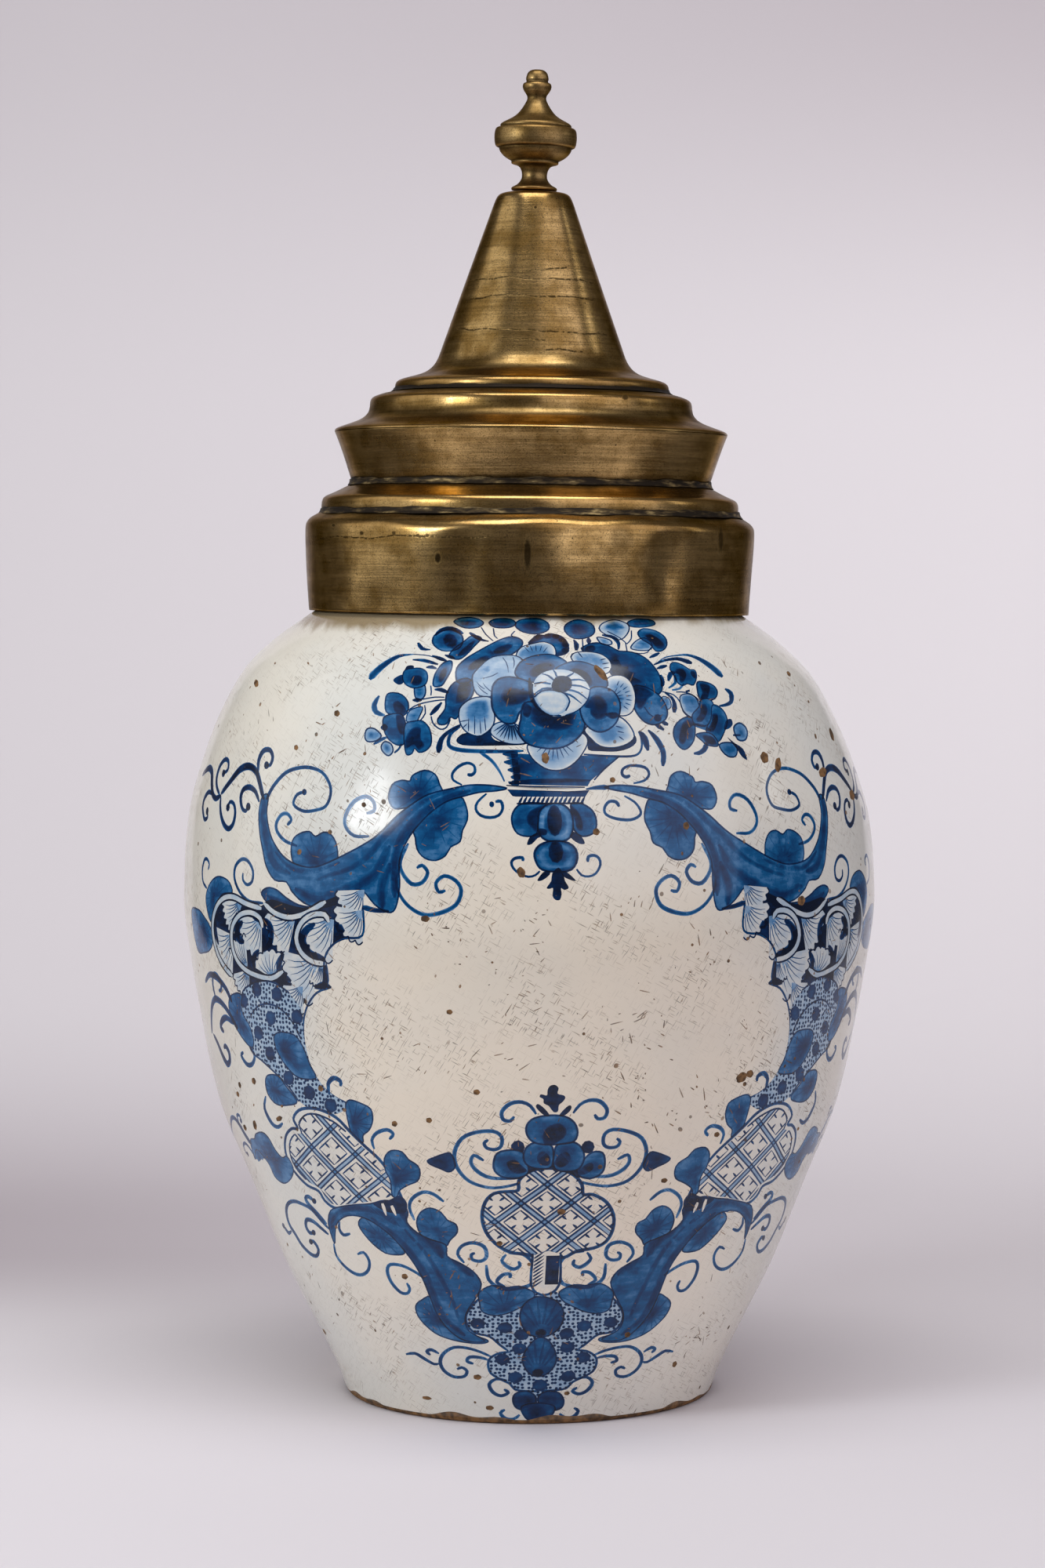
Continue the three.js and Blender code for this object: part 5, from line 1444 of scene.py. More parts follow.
for _ in range(SMALL_CHIPS):
    centre = (rng.uniform(-190, 190), rng.uniform(8, 300))
    size = rng.uniform(0.35, 0.95)
    left.dab(centre, (size, size * rng.uniform(0.6, 1.3)), rng.uniform(0, 180), CHIP_TONES,
             clay=rng.uniform(0.6, 1))

# %% Scratches and the worn foot edge
CLUSTERS = 76  # places where the jar has been knocked or scoured
IN_CLUSTER = 9
IN_TOUCH = 42  # scratches of one width and depth
EDGE_STEPS = 15  # the foot edge is worn in lengths, which the cut takes more quickly than one long band
middles = np.stack([rng.normal(0, 62, CLUSTERS), rng.uniform(14, 300, CLUSTERS)], axis=-1)
start = np.repeat(middles, IN_CLUSTER, axis=0) + rng.normal(0, 6.5, (CLUSTERS * IN_CLUSTER, 2))
way = np.repeat(rng.uniform(0, math.pi, CLUSTERS), IN_CLUSTER) + rng.normal(0, 0.5, len(start))
reach = 0.7 + 4.2 * rng.uniform(0, 1, len(start)) ** 3
end = start + reach[:, None] * np.stack([np.cos(way), np.sin(way)], axis=-1)
for first in range(0, len(start), IN_TOUCH):
    some = slice(first, first + IN_TOUCH)
    left.strokes(start[some], end[some], width=rng.uniform(0.32, 0.55), cobalt=0.0, clay=rng.uniform(0.7, 1))
along = np.arange(-215, 216, 1.3)
worn_to = 2.4 + 0.9 * np.sin(along / 7.3) + 0.6 * np.sin(along / 2.9 + 1) + 0.6 * np.sin(along / 17 + 2)
for first in range(0, len(along) - EDGE_STEPS - 1, EDGE_STEPS):
    part = slice(first, first + EDGE_STEPS + 1)
    left.wash(list(zip(along[part], worn_to[part])) + [(along[part][-1], 0.5), (along[part][0], 0.5)], 0.0,
              straight=True, clay=0.95, hides=True)

# %% [markdown]
# ## Firing the painting onto the wall
# The borders of all touches are cut into a plain grid of the wall, so that each triangle of the jar lies
# wholly inside or outside every touch. Then the cobalt in it is summed from the highest touch that hides
# the rest upwards. What comes out is one closed, smooth jar whose corners carry three amounts: cobalt, dots
# and clay.

# %% Cut the touches into the wall
AROUND = 144  # cells of the plain grid round the jar
UP = 52  # and up its wall
HALF_ROUND = math.pi * BELLY_RADIUS
EDGE_ROOM = 0.6  # no touch comes nearer to the sheet's edges
BIN = 3.0  # millimetres; a place is tried only against the touches that pass through its square
LOTS = 24  # the places are tried in so many lots, to spare memory
BRUSH_STEP = 37.0  # sets the streaks of each touch apart from the last one's
MIDDLE_SLACK, CORNER_SLACK = 1e-6, 0.01  # how far out a cell's middle or corner may lie, as a share


def onto_sheet(points):
    """Chart (u, v) to sheet (s, v), where s = belly radius x (middle line + u / the wall's radius at v)."""
    v = np.clip(points[:, 1], WALL[0][1] + EDGE_ROOM, TOP_V - EDGE_ROOM)
    s = BELLY_RADIUS * (MIDDLE_LINE + points[:, 0] / wall_radius(v))
    return np.stack([np.clip(s, EDGE_ROOM - HALF_ROUND, HALF_ROUND - EDGE_ROOM), v], axis=-1)


def border_of(triangles):
    """The edges that only one triangle has."""
    edges = np.sort(np.vstack([triangles[:, [0, 1]], triangles[:, [1, 2]], triangles[:, [2, 0]]]), axis=1)
    pairs, times = np.unique(edges, axis=0, return_counts=True)
    return pairs[times == 1]


def snapped(points):
    """The cut works in single precision. Points within a hair of the sheet's border, and of the grid's
    columns along it, go back onto them, so that the wall can be joined to the foot, to the neck and to
    itself."""
    hair = 1e-3
    for side, border in ((0, -HALF_ROUND), (0, HALF_ROUND), (1, WALL[0][1]), (1, TOP_V)):
        points[np.abs(points[:, side] - border) < hair, side] = border
    column = 2 * HALF_ROUND / AROUND
    on_end = np.isin(points[:, 1], (WALL[0][1], TOP_V))
    points[on_end, 0] = np.round(points[on_end, 0] / column) * column
    return points


s, v = np.meshgrid(np.linspace(-HALF_ROUND, HALF_ROUND, AROUND + 1), np.linspace(WALL[0][1], TOP_V, UP + 1))
grid = np.stack([s.ravel(), v.ravel()], axis=-1)
paint_points = np.vstack([onto_sheet(touch["points"]) for touch in touches])
offsets = np.cumsum([0] + [len(touch["points"]) for touch in touches])
borders = np.vstack([border_of(t["triangles"]) + first for t, first in zip(touches, offsets)])
cut = delaunay_2d_cdt([Vector(p) for p in np.vstack([grid, paint_points]).tolist()],
                      (borders + len(grid)).tolist(), [], 0, 1e-5, True)
sheet, cells = snapped(np.array([p[:] for p in cut[0]])), np.array(cut[2])
print(len(touches), "touches cut the wall into", len(cells), "triangles")

# %% [markdown]
# A cell belongs to a touch when its middle lies in one of the touch's own triangles. At the cell's corners
# the touch's cobalt is read off that touch in the same way.

# %% Which touch lies where
paint_triangles = np.vstack([t["triangles"] + first for t, first in zip(touches, offsets)])
paint_owner = np.repeat(np.arange(len(touches)), [len(t["triangles"]) for t in touches])
paint_cobalt = np.concatenate([t["cobalt"] for t in touches])
paint_brush = np.vstack([t["brush"] + BRUSH_STEP * number for number, t in enumerate(touches)])
BINS_ACROSS = int(2 * HALF_ROUND / BIN) + 2


def bins_of_triangles():
    """Each touch triangle with each bin that its box passes through, sorted by bin."""
    low = ((paint_points[paint_triangles].min(1) + [HALF_ROUND, 0]) / BIN).astype(int)
    high = ((paint_points[paint_triangles].max(1) + [HALF_ROUND, 0]) / BIN).astype(int)
    wide, tall = (high - low + 1).T
    which = np.repeat(np.arange(len(low)), wide * tall)
    step = np.arange(len(which)) - np.repeat(np.cumsum(wide * tall) - wide * tall, wide * tall)
    square = low[which, 0] + step % wide[which] + (low[which, 1] + step // wide[which]) * BINS_ACROSS
    order = np.argsort(square, kind="stable")
    return square[order], which[order]


def painted_at(places, slack):
    """Every touch at every place: place number, touch number, cobalt and brush place. A place is in a
    triangle when its three weights there, which are the areas opposite the corners as shares, are all above
    -slack."""
    squares, triangle_in = bins_of_triangles()
    found = []
    for part in np.array_split(np.arange(len(places)), LOTS):
        at = ((places[part] + [HALF_ROUND, 0]) / BIN).astype(int)
        square = at[:, 0] + at[:, 1] * BINS_ACROSS
        first, last = np.searchsorted(squares, square), np.searchsorted(squares, square, side="right")
        which = np.repeat(part, last - first)
        step = np.arange(len(which)) - np.repeat(np.cumsum(last - first) - (last - first), last - first)
        triangle = triangle_in[np.repeat(first, last - first) + step]
        a, b, c = (paint_points[paint_triangles[triangle, k]] for k in range(3))
        side_b, side_c, p = b - a, c - a, places[which] - a
        area = side_b[:, 0] * side_c[:, 1] - side_b[:, 1] * side_c[:, 0]
        area = np.where(np.abs(area) < 1e-9, np.inf, area)
        wb = (p[:, 0] * side_c[:, 1] - p[:, 1] * side_c[:, 0]) / area
        wc = (side_b[:, 0] * p[:, 1] - side_b[:, 1] * p[:, 0]) / area
        weights = np.stack([1 - wb - wc, wb, wc], axis=-1)
        inside = (weights.min(-1) > -slack) & np.isfinite(area)
        found.append(np.column_stack([which[inside], triangle[inside], np.clip(weights[inside], 0, 1)]))
    found = np.vstack(found)
    place, triangle, weights = found[:, 0].astype(int), found[:, 1].astype(int), found[:, 2:]
    corner = paint_triangles[triangle]
    amount = (weights * paint_cobalt[corner]).sum(-1)
    order = np.lexsort((-amount, paint_owner[triangle], place))
    key = (place * len(touches) + paint_owner[triangle])[order]
    keys, first = np.unique(key, return_index=True)
    best = order[first]
    return keys, amount[best], (weights[best][..., None] * paint_brush[corner[best]]).sum(-2)


def amounts_at_corners():
    """Cobalt, dots, clay and brush place at each cell's three corners."""
    total = len(touches)
    covered, middle_amount, middle_brush = painted_at(sheet[cells].mean(1), MIDDLE_SLACK)
    known, known_amount, known_brush = painted_at(sheet, CORNER_SLACK)
    cell, touch = covered // total, covered % total
    limit = np.array([-1 if t["inside"] is None else t["inside"] for t in touches])[touch]
    kept = (limit < 0) | np.isin(cell * total + limit, covered)
    hides = np.array([t["hides"] for t in touches])
    lowest = np.full(len(cells), -1)
    np.maximum.at(lowest, cell[kept & hides[touch]], touch[kept & hides[touch]])
    kept &= touch >= lowest[cell]
    cell, touch = cell[kept], touch[kept]
    middle_amount, middle_brush = middle_amount[kept], middle_brush[kept]
    wanted = cells[cell] * total + touch[:, None]
    at = np.minimum(np.searchsorted(known, wanted), len(known) - 1)
    hit = known[at] == wanted
    amount = np.where(hit, known_amount[at], middle_amount[:, None])
    brush = np.where(hit[..., None], known_brush[at], middle_brush[:, None])

    def summed(values):
        return np.stack([np.bincount(cell, values[:, k], len(cells)) for k in range(3)], axis=-1)

    spread = np.ones((1, 3))
    dots, clay = (np.array([t[name] for t in touches])[touch][:, None] * spread for name in ("dots", "clay"))
    brush_place = np.zeros((len(cells), 3, 2))
    brush_place[cell] = brush  # the last written is the highest touch
    return summed(amount), np.minimum(summed(dots), 1), np.minimum(summed(clay), 1), brush_place


cobalt, dots, clay, brush_place = amounts_at_corners()
print("the painting covers", round(100 * float((cobalt.max(-1) > 0).mean())), "% of the cells")

# %% [markdown]
# The rest of the jar is turned from a profile with as many points round as the sheet has columns, and
# closes it: the unglazed foot ring below, and the neck, the rolled lip and the inside above.

# %% Foot, lip and inside
UNDERSIDE = [(0, 3), (30, 3), (55, 3.1), (57.6, 2.6), (59.6, 0.4), (61, 0), (67.6, 0), (68.9, 0.3),
             (69.6, 1.2)]
NECK_AND_INSIDE = [
    (76.4, 297), (73.9, 299.6), (73, 303), (73.2, 308), (73.9, 310.4), (75.6, 312.4), (75.9, 314),
    (75.2, 315.6), (73.6, 316.7), (71.8, 316.9), (69, 316.7), (67.2, 315.6), (66.6, 313), (66.4, 303),
    (69.6, 296.4), (80, 287.5), (91.6, 278), (101.6, 266.6), (110.4, 250), (116.6, 234), (119.9, 220),
    (122.6, 206), (123, 195), (121.4, 170), (118.8, 150), (114.6, 132), (108.8, 112), (102, 92), (94.4, 74),
    (86.4, 57), (80, 45), (74.6, 35), (66, 24), (58.6, 18.6), (50, 15), (36, 13.4), (0, 13),
]


def turned_part(profile, keep_first):
    """The profile carried round the axis: (radius sin angle, -radius cos angle, height). Its points on the
    axis become one pole. keep_first is whether the profile starts, rather than ends, on the wall's
    sheet."""
    line = np.array(profile, float)
    rim = line[:-1] if keep_first else line[1:]
    angle = -math.pi + np.arange(AROUND) / AROUND * 2 * math.pi
    radius, height = rim[:, :1], rim[:, 1:]
    ripple = thrown_by_hand(angle, height) if keep_first else thrown_by_hand(angle, height) * (height > 1)
    points = np.stack([(radius + ripple) * np.sin(angle), -(radius + ripple) * np.cos(angle),
                       np.broadcast_to(height, (len(rim), AROUND))], axis=-1).reshape(-1, 3)
    pole = line[-1] if keep_first else line[0]
    points = np.vstack([points, [0, 0, pole[1]]])
    body = grid_triangles(len(rim), AROUND, round_columns=True)
    ring = np.arange(AROUND) + (AROUND * (len(rim) - 1) if keep_first else 0)
    ahead = np.roll(ring, -1)
    hub = np.full(AROUND, len(points) - 1)
    cap = np.stack([ring, ahead, hub], -1) if keep_first else np.stack([ahead, ring, hub], -1)
    return settle(points), np.vstack([body, cap])


def smooth_normals(points, triangles):
    """Unit normals at points: the sum of the areas' vectors of the triangles round each."""
    a, b, c = (points[triangles[:, k]] for k in range(3))
    push = np.cross(b - a, c - a)
    normals = np.stack([np.bincount(triangles.ravel(), np.repeat(push[:, k], 3), len(points))
                        for k in range(3)], axis=-1)
    return normals / (np.linalg.norm(normals, axis=-1, keepdims=True) + 1e-12)


def wall_normals(s, v):
    """Unit normals of the wall by small steps either way along the sheet."""
    step = 0.4
    low, high = np.maximum(v - step, WALL[0][1]), np.minimum(v + step, TOP_V)
    round_it = wall_point(s + step, v) - wall_point(s - step, v)
    up_it = wall_point(s, high) - wall_point(s, low)
    normals = np.cross(round_it, up_it)
    return normals / np.linalg.norm(normals, axis=-1, keepdims=True)


def export_layout(s, v):
    """Where the wall lies in the layout for baking its look: full width, with the painted front drawn out.
    Along s the layout runs with the integral of 1 + 1.8 x smoothstep towards the front."""
    run = np.linspace(-HALF_ROUND, HALF_ROUND, 801)
    pace = 1 + 1.8 * smoothstep(250, 190, np.abs(run - MIDDLE_LINE * BELLY_RADIUS))
    total = np.concatenate([[0], np.cumsum((pace[1:] + pace[:-1]) / 2)])
    return np.stack([0.01 + 0.98 * np.interp(s, run, total / total[-1]), 0.2 + 0.79 * v / TOP_V], axis=-1)


def make_jar(material):
    """Joins the sheet with the turned parts, welds the points that meet, and adds what the glaze reads."""
    wall = wall_point(sheet[:, 0], sheet[:, 1])
    under, under_cells = turned_part(UNDERSIDE, keep_first=False)
    inner, inner_cells = turned_part(NECK_AND_INSIDE, keep_first=True)
    points = np.vstack([wall, under, inner])
    parts = [cells, under_cells + len(wall), inner_cells + len(wall) + len(under)]
    triangles = np.vstack(parts)
    _, first, welded = np.unique(np.round(points, 3) + 0.0, axis=0, return_index=True, return_inverse=True)
    welded = welded.ravel()
    joined = welded[triangles]
    whole = (joined[:, 0] != joined[:, 1]) & (joined[:, 1] != joined[:, 2]) & (joined[:, 2] != joined[:, 0])
    _, one, copies = np.unique(np.sort(joined, axis=1), axis=0, return_index=True, return_counts=True)
    # a sliver that the weld folds flat leaves two cells back to back, which both go
    whole &= np.isin(np.arange(len(joined)), one[copies % 2 == 1])
    joined, source = joined[whole], triangles[whole]
    joined_points = points[first]
    piece = new_piece("painted_jar", joined_points, joined, material, "jar",
                      ["jar_body"])
    rest = len(triangles) - len(cells)

    def whole_jar(values, under_value=0.0):
        blank = np.zeros((rest,) + values.shape[1:])
        blank[:len(under_cells)] = under_value
        return np.concatenate([values, blank])[whole]

    at_foot = sheet[cells].mean(1)[:, 1] < WALL[0][1] + EDGE_ROOM
    put_attribute(piece, "cobalt", whole_jar(cobalt).ravel(), "CORNER")
    put_attribute(piece, "dots", whole_jar(dots).ravel(), "CORNER")
    put_attribute(piece, "clay", whole_jar(np.where(at_foot[:, None], 1.0, clay), under_value=1.0).ravel(),
                  "CORNER")
    chart = np.stack([(sheet[:, 0] / BELLY_RADIUS - MIDDLE_LINE) * wall_radius(sheet[:, 1]), sheet[:, 1]], -1)
    beyond = np.full((rest, 3, 2), (0.0, -60.0))
    put_uv(piece, "Chart", np.concatenate([chart[cells], beyond])[whole])
    put_uv(piece, "Brush", whole_jar(brush_place))
    angle = np.arctan2(points[:, 0], -points[:, 1])
    layout = np.stack([0.5 + angle / 6.6, 0.01 + 0.08 * np.arange(len(points)) / len(points)], -1)
    far = np.hypot(points[:, 0], points[:, 1])
    layout[len(wall):, 1] = np.where(np.arange(len(points) - len(wall)) < len(under),
                                     0.005 + 0.03 * far[len(wall):] / 70,
                                     0.04 + 0.15 * (points[len(wall):, 2] / 317))
    layout[:len(wall)] = export_layout(sheet[:, 0], sheet[:, 1])
    put_uv(piece, "OFBake", layout[source])
    normals = smooth_normals(joined_points, joined)
    from_wall = welded[:len(wall)]
    normals[from_wall] = wall_normals(sheet[:, 0], sheet[:, 1])
    piece.data.normals_split_custom_set_from_vertices(normals.tolist())
    return piece

# %% [markdown]
# ## Tin glaze over earthenware
# Tin oxide makes the glaze an opaque, slightly warm white, glossy like glass but never quite even: it has
# pinholes where gas broke through, worn scratches that show the brown body, and a stain where hands and
# tobacco have darkened it under the cover's edge. Cobalt sinks into it, pale where it is thin and nearly
# black where it is thick.

# %% The glaze's finish
GLAZE = "#dddcd4"
# a warmer, lighter white: a warm stain, and painted light where it lies on the bare field
GLAZE_WARM_AND_LIT = "#f0e4d0"
STAIN = "#a59270"
FIRED_BODY = "#86613a"
FIRED_BODY_DARK = "#46311c"
COBALT = [(0.0, GLAZE), (0.06, "#a3b8ca"), (0.15, "#4e80ad"), (0.26, "#0d5688"), (0.38, "#023d6c"),
          (0.55, "#012a55"), (0.8, "#011b3b"), (1.0, "#011028")]
FULL_COBALT = 3.0  # the amount at the ramp's dark end
DOT_SPACING = 1.7
PINHOLE_SPACINGS = ((6.4, 0.12, 0.95), (3.2, 0.1, 0.8))  # millimetres, greatest size, share of body shown
HAIRLINE_WAYS = ((0.5, 2.6), (2.1, 2.9))  # angle on the chart, and lines per millimetre
MOTTLE_SIZE = 70.0
PEEL_SIZE = 5.0


def painted_glaze():
    """Cobalt, stains, scratches and pinholes, laid one over another as they came to the real jar."""
    material, tree, shader = new_material("painted_tin_glaze")
    add = partial(node, tree)
    chart = add("UVMap", {}, uv_map="Chart")
    brush = add("UVMap", {}, uv_map="Brush")
    solid = add("TexCoord", {}, "Object")
    cobalt_laid, dots_laid, body_bared = (add("Attribute", {}, "Fac", attribute_name=name)
                                          for name in ("cobalt", "dots", "clay"))

    # the brush leaves streaks along its way, and the dry glaze drinks unevenly
    streak = add("TexNoise", {"Vector": add("Mapping", {0: brush, "Scale": (0.1, 0.5, 1)}), "Scale": 1,
                              "Detail": 3})
    streak = add("MapRange", {0: streak, 1: 0.3, 2: 0.7, 3: 0.86, 4: 1.14}, interpolation_type="SMOOTHSTEP")
    drunk = add("TexNoise", {"Vector": solid, "Scale": 1 / (6 * MM), "Detail": 5, "Roughness": 0.62})
    drunk = add("MapRange", {0: drunk, 1: 0.3, 2: 0.7, 3: 0.74, 4: 1.3}, interpolation_type="SMOOTHSTEP")
    amount = add("Math", {0: cobalt_laid, 1: add("Math", {0: streak, 1: drunk}, operation="MULTIPLY")},
                 operation="MULTIPLY")

    # the stippled grounds: round dots in a loose order
    spaced = add("Mapping", {0: chart, "Scale": (1 / DOT_SPACING, 1 / DOT_SPACING, 1)})
    cell = add("TexVoronoi", {"Vector": spaced, "Scale": 1, "Randomness": 0.55}, "Distance",
               voronoi_dimensions="2D")
    dot = add("MapRange", {0: cell, 1: 0.24, 2: 0.38, 3: 1.9, 4: 0}, interpolation_type="SMOOTHSTEP")
    amount = add("Math", {0: dots_laid, 1: dot, 2: amount}, operation="MULTIPLY_ADD")
    amount = add("Math", {0: amount, 1: FULL_COBALT}, operation="DIVIDE", use_clamp=True)

    # the white itself, warmer and lighter on the bare field: a warm stain there, with painted light from the
    # front, and a little warmer and lighter in patches
    from_field = add("Mapping", {0: chart, "Location": (0, -1.4, 0), "Scale": (1 / 88, 1 / 100, 1)})
    from_field = add("VectorMath", {0: from_field}, "Value", operation="LENGTH")
    # painted light: the bare field is lighter, as light from the front would make it
    field = add("MapRange", {0: from_field, 1: 0.6, 2: 1.3, 3: 0.8, 4: 0}, interpolation_type="SMOOTHSTEP")
    mottle = add("TexNoise", {"Vector": solid, "Scale": 1 / (MOTTLE_SIZE * MM), "Detail": 3})
    mottle = add("MapRange", {0: mottle, 1: 0.3, 2: 0.7, 4: 0.5}, interpolation_type="SMOOTHSTEP")
    mottle = add("Math", {0: mottle, 1: field}, operation="ADD", use_clamp=True)
    white = add("Mix", {0: mottle, 6: colour(GLAZE), 7: colour(GLAZE_WARM_AND_LIT)}, 2, data_type="RGBA")
    blue = add("ValToRGB", {0: amount}, stops=[(place, colour(tone)) for place, tone in COBALT])
    is_blue = add("MapRange", {0: amount, 2: 0.05}, interpolation_type="SMOOTHSTEP")
    painted = add("Mix", {0: is_blue, 6: white, 7: blue}, 2, data_type="RGBA")

    # grime under the cover's edge, run down in slanting streaks, most of all on the left
    along, up = (add("SeparateXYZ", {0: chart}, side) for side in range(2))
    slanting = add("Mapping", {0: chart, "Rotation": (0, 0, 0.5), "Scale": (0.13, 0.04, 1)})
    ragged = add("TexNoise", {"Vector": slanting, "Scale": 1, "Detail": 4})
    lift = add("Math", {0: ragged, 1: 14, 2: up}, operation="MULTIPLY_ADD")
    from_left = add("Math", {0: add("Math", {0: along, 1: 80}, operation="ADD")}, operation="ABSOLUTE")
    from_left = add("MapRange", {0: from_left, 1: 30, 2: 70, 3: 0, 4: -6}, interpolation_type="SMOOTHSTEP")
    lift = add("Math", {0: lift, 1: from_left}, operation="ADD")
    grime = add("MapRange", {0: lift, 1: 316.5, 2: 324, 4: 0.9}, interpolation_type="SMOOTHSTEP")
    stained = add("Mix", {0: grime, 6: painted, 7: colour(STAIN)}, 2, data_type="RGBA", blend_type="MULTIPLY")

    # hairlines finer than the drawn scratches: long thin blobs of noise in two ways, in some places
    # and hardly over the blue
    bare = body_bared
    handled = add("TexNoise", {"Vector": solid, "Scale": 1 / (30 * MM), "Detail": 2})
    handled = add("MapRange", {0: handled, 1: 0.42, 2: 0.62, 3: 0.1, 4: 0.7}, interpolation_type="SMOOTHSTEP")
    handled = add("Math", {0: handled, 1: is_blue}, operation="SUBTRACT", use_clamp=True)
    for angle, spacing in HAIRLINE_WAYS:
        drawn_out = add("Mapping", {0: chart, "Rotation": (0, 0, angle)})
        drawn_out = add("Mapping", {0: drawn_out, "Scale": (0.22, spacing, 1)})
        hair = add("TexNoise", {"Vector": drawn_out, "Scale": 1, "Detail": 0})
        hair = add("MapRange", {0: hair, 1: 0.7, 2: 0.74}, interpolation_type="SMOOTHSTEP")
        bare = add("Math", {0: bare, 1: add("Math", {0: hair, 1: handled}, operation="MULTIPLY")},
                   operation="MAXIMUM")

    # pinholes, each in a cell of a loose lattice, and in a few cells only
    for spacing, greatest, shows in PINHOLE_SPACINGS:
        lattice = {"Vector": solid, "Scale": 1 / (spacing * MM), "Randomness": 1}
        lot = add("SeparateColor", {0: add("TexVoronoi", lattice, "Color")})
        size = add("MapRange", {0: lot, 1: 0.7, 2: 1, 4: greatest})
        hole = add("Math", {0: add("TexVoronoi", lattice, "Distance"), 1: size}, operation="LESS_THAN")
        bare = add("Math", {0: bare, 1: add("Math", {0: hole, 1: shows}, operation="MULTIPLY")},
                   operation="MAXIMUM", use_clamp=True)
    earth = add("TexNoise", {"Vector": solid, "Scale": 1 / (2.5 * MM), "Detail": 3})
    earth = add("MapRange", {0: earth, 1: 0.35, 2: 0.65}, interpolation_type="SMOOTHSTEP")
    body_tone = add("Mix", {0: earth, 6: colour(FIRED_BODY), 7: colour(FIRED_BODY_DARK)}, 2, data_type="RGBA")
    finished = add("Mix", {0: bare, 6: stained, 7: body_tone}, 2, data_type="RGBA")

    # gloss, and the relief of orange peel and of worn places
    gloss = add("TexNoise", {"Vector": solid, "Scale": 1 / (12 * MM), "Detail": 3})
    gloss = add("MapRange", {0: gloss, 1: 0.3, 2: 0.7, 3: 0.1, 4: 0.18}, interpolation_type="SMOOTHSTEP")
    rough = add("Math", {0: bare, 1: 0.55, 2: gloss}, operation="MULTIPLY_ADD")
    peel = add("TexNoise", {"Vector": solid, "Scale": 1 / (PEEL_SIZE * MM), "Detail": 2})
    relief = add("Math", {0: peel, 1: 0.25}, operation="MULTIPLY")
    relief = add("Math", {0: bare, 1: -1.5, 2: relief}, operation="MULTIPLY_ADD")
    bump = add("Bump", {"Height": relief, "Strength": 0.5, "Distance": 0.2 * MM})
    feed(shader, {"Base Color": finished, "Roughness": rough, "IOR": 1.5, "Specular IOR Level": 0.38,
                  "Normal": bump})
    return material


make_jar(painted_glaze())

# %% [markdown]
# ## Sheet brass, spun and soldered
# Each section of the cover is a ring of sheet brass, raised over a former and turned true, so fine rings
# run round it. Two centuries have browned it: dark in every corner, bright and orange where hands and
# cloths rub the edges. The rings' shapes are profiles carried round the axis, with the dents that a working
# cover collects.

# %% Profiles of sheet metal
COVER_AROUND = 256
SHEET = 1.3
JOINT_HEIGHTS = (37.1, 48.4, 82.8)  # inner corners, where dirt and solder sit


def rounded(points, rounds):
    """Cuts every corner of a line, keeping its ends: each pass replaces a side from a to b by the points
    three quarters a plus a quarter b, and the other way about."""
    line = np.array(points, float)
    for _ in range(rounds):
        a, b = line[:-1], line[1:]
        cut = np.stack([0.75 * a + 0.25 * b, 0.25 * a + 0.75 * b], axis=1).reshape(-1, 2)
        line = np.vstack([line[:1], cut, line[-1:]])
    return line


def filled_in(line, longest):
    """The same line with points added so that no side is longer than longest."""
    gaps = np.hypot(*np.diff(line, axis=0).T)
    counts = np.maximum(1, np.ceil(gaps / longest)).astype(int)
    which = np.repeat(np.arange(len(gaps)), counts)
    t = np.concatenate([np.arange(count) / count for count in counts])[:, None]
    return np.vstack([line[which] * (1 - t) + line[which + 1] * t, line[-1]])


def moved_inwards(line, distance):
    """The line moved to its left by a distance, along the normal at each point."""
    way = np.gradient(line, axis=0)
    way /= np.linalg.norm(way, axis=1, keepdims=True)
    return line + distance * np.stack([-way[:, 1], way[:, 0]], axis=-1)


def bends(line, reach=2.0):
    """How sharply the line turns at each point, in radians over a stretch of reach millimetres: positive on
    an edge that stands out, negative in a corner."""
    far = distance_along(line)
    ahead = np.stack([np.interp(far + reach, far, line[:, k]) for k in (0, 1)], axis=-1) - line
    behind = line - np.stack([np.interp(far - reach, far, line[:, k]) for k in (0, 1)], axis=-1)
    turn = behind[:, 0] * ahead[:, 1] - behind[:, 1] * ahead[:, 0]
    return turn / (np.linalg.norm(ahead, axis=1) * np.linalg.norm(behind, axis=1) + 0.2)


def in_cover(points):
    """From the cover's own frame, which starts at its seat and is tilted by the settled mouth, to the
    object's."""
    x, up = points[..., 0], points[..., 2]
    c, s = math.cos(SETTLED_TILT), math.sin(SETTLED_TILT)
    return np.stack([x * c + up * s, points[..., 1], COVER_SEAT + up * c - x * s], axis=-1)


def carried_round(profile, shift):
    """A closed profile carried round the axis: (r sin a, -r cos a, h), where shift(a, r, h) moves r and h."""
    angle = -math.pi + np.arange(COVER_AROUND) / COVER_AROUND * 2 * math.pi
    radius = np.broadcast_to(profile[:, :1], (len(profile), COVER_AROUND))
    height = np.broadcast_to(profile[:, 1:], (len(profile), COVER_AROUND))
    radius, height = shift(angle, radius, height)
    points = np.stack([radius * np.sin(angle), -radius * np.cos(angle), height], axis=-1).reshape(-1, 3)
    return points, grid_triangles(len(profile), COVER_AROUND, round_rows=True, round_columns=True)


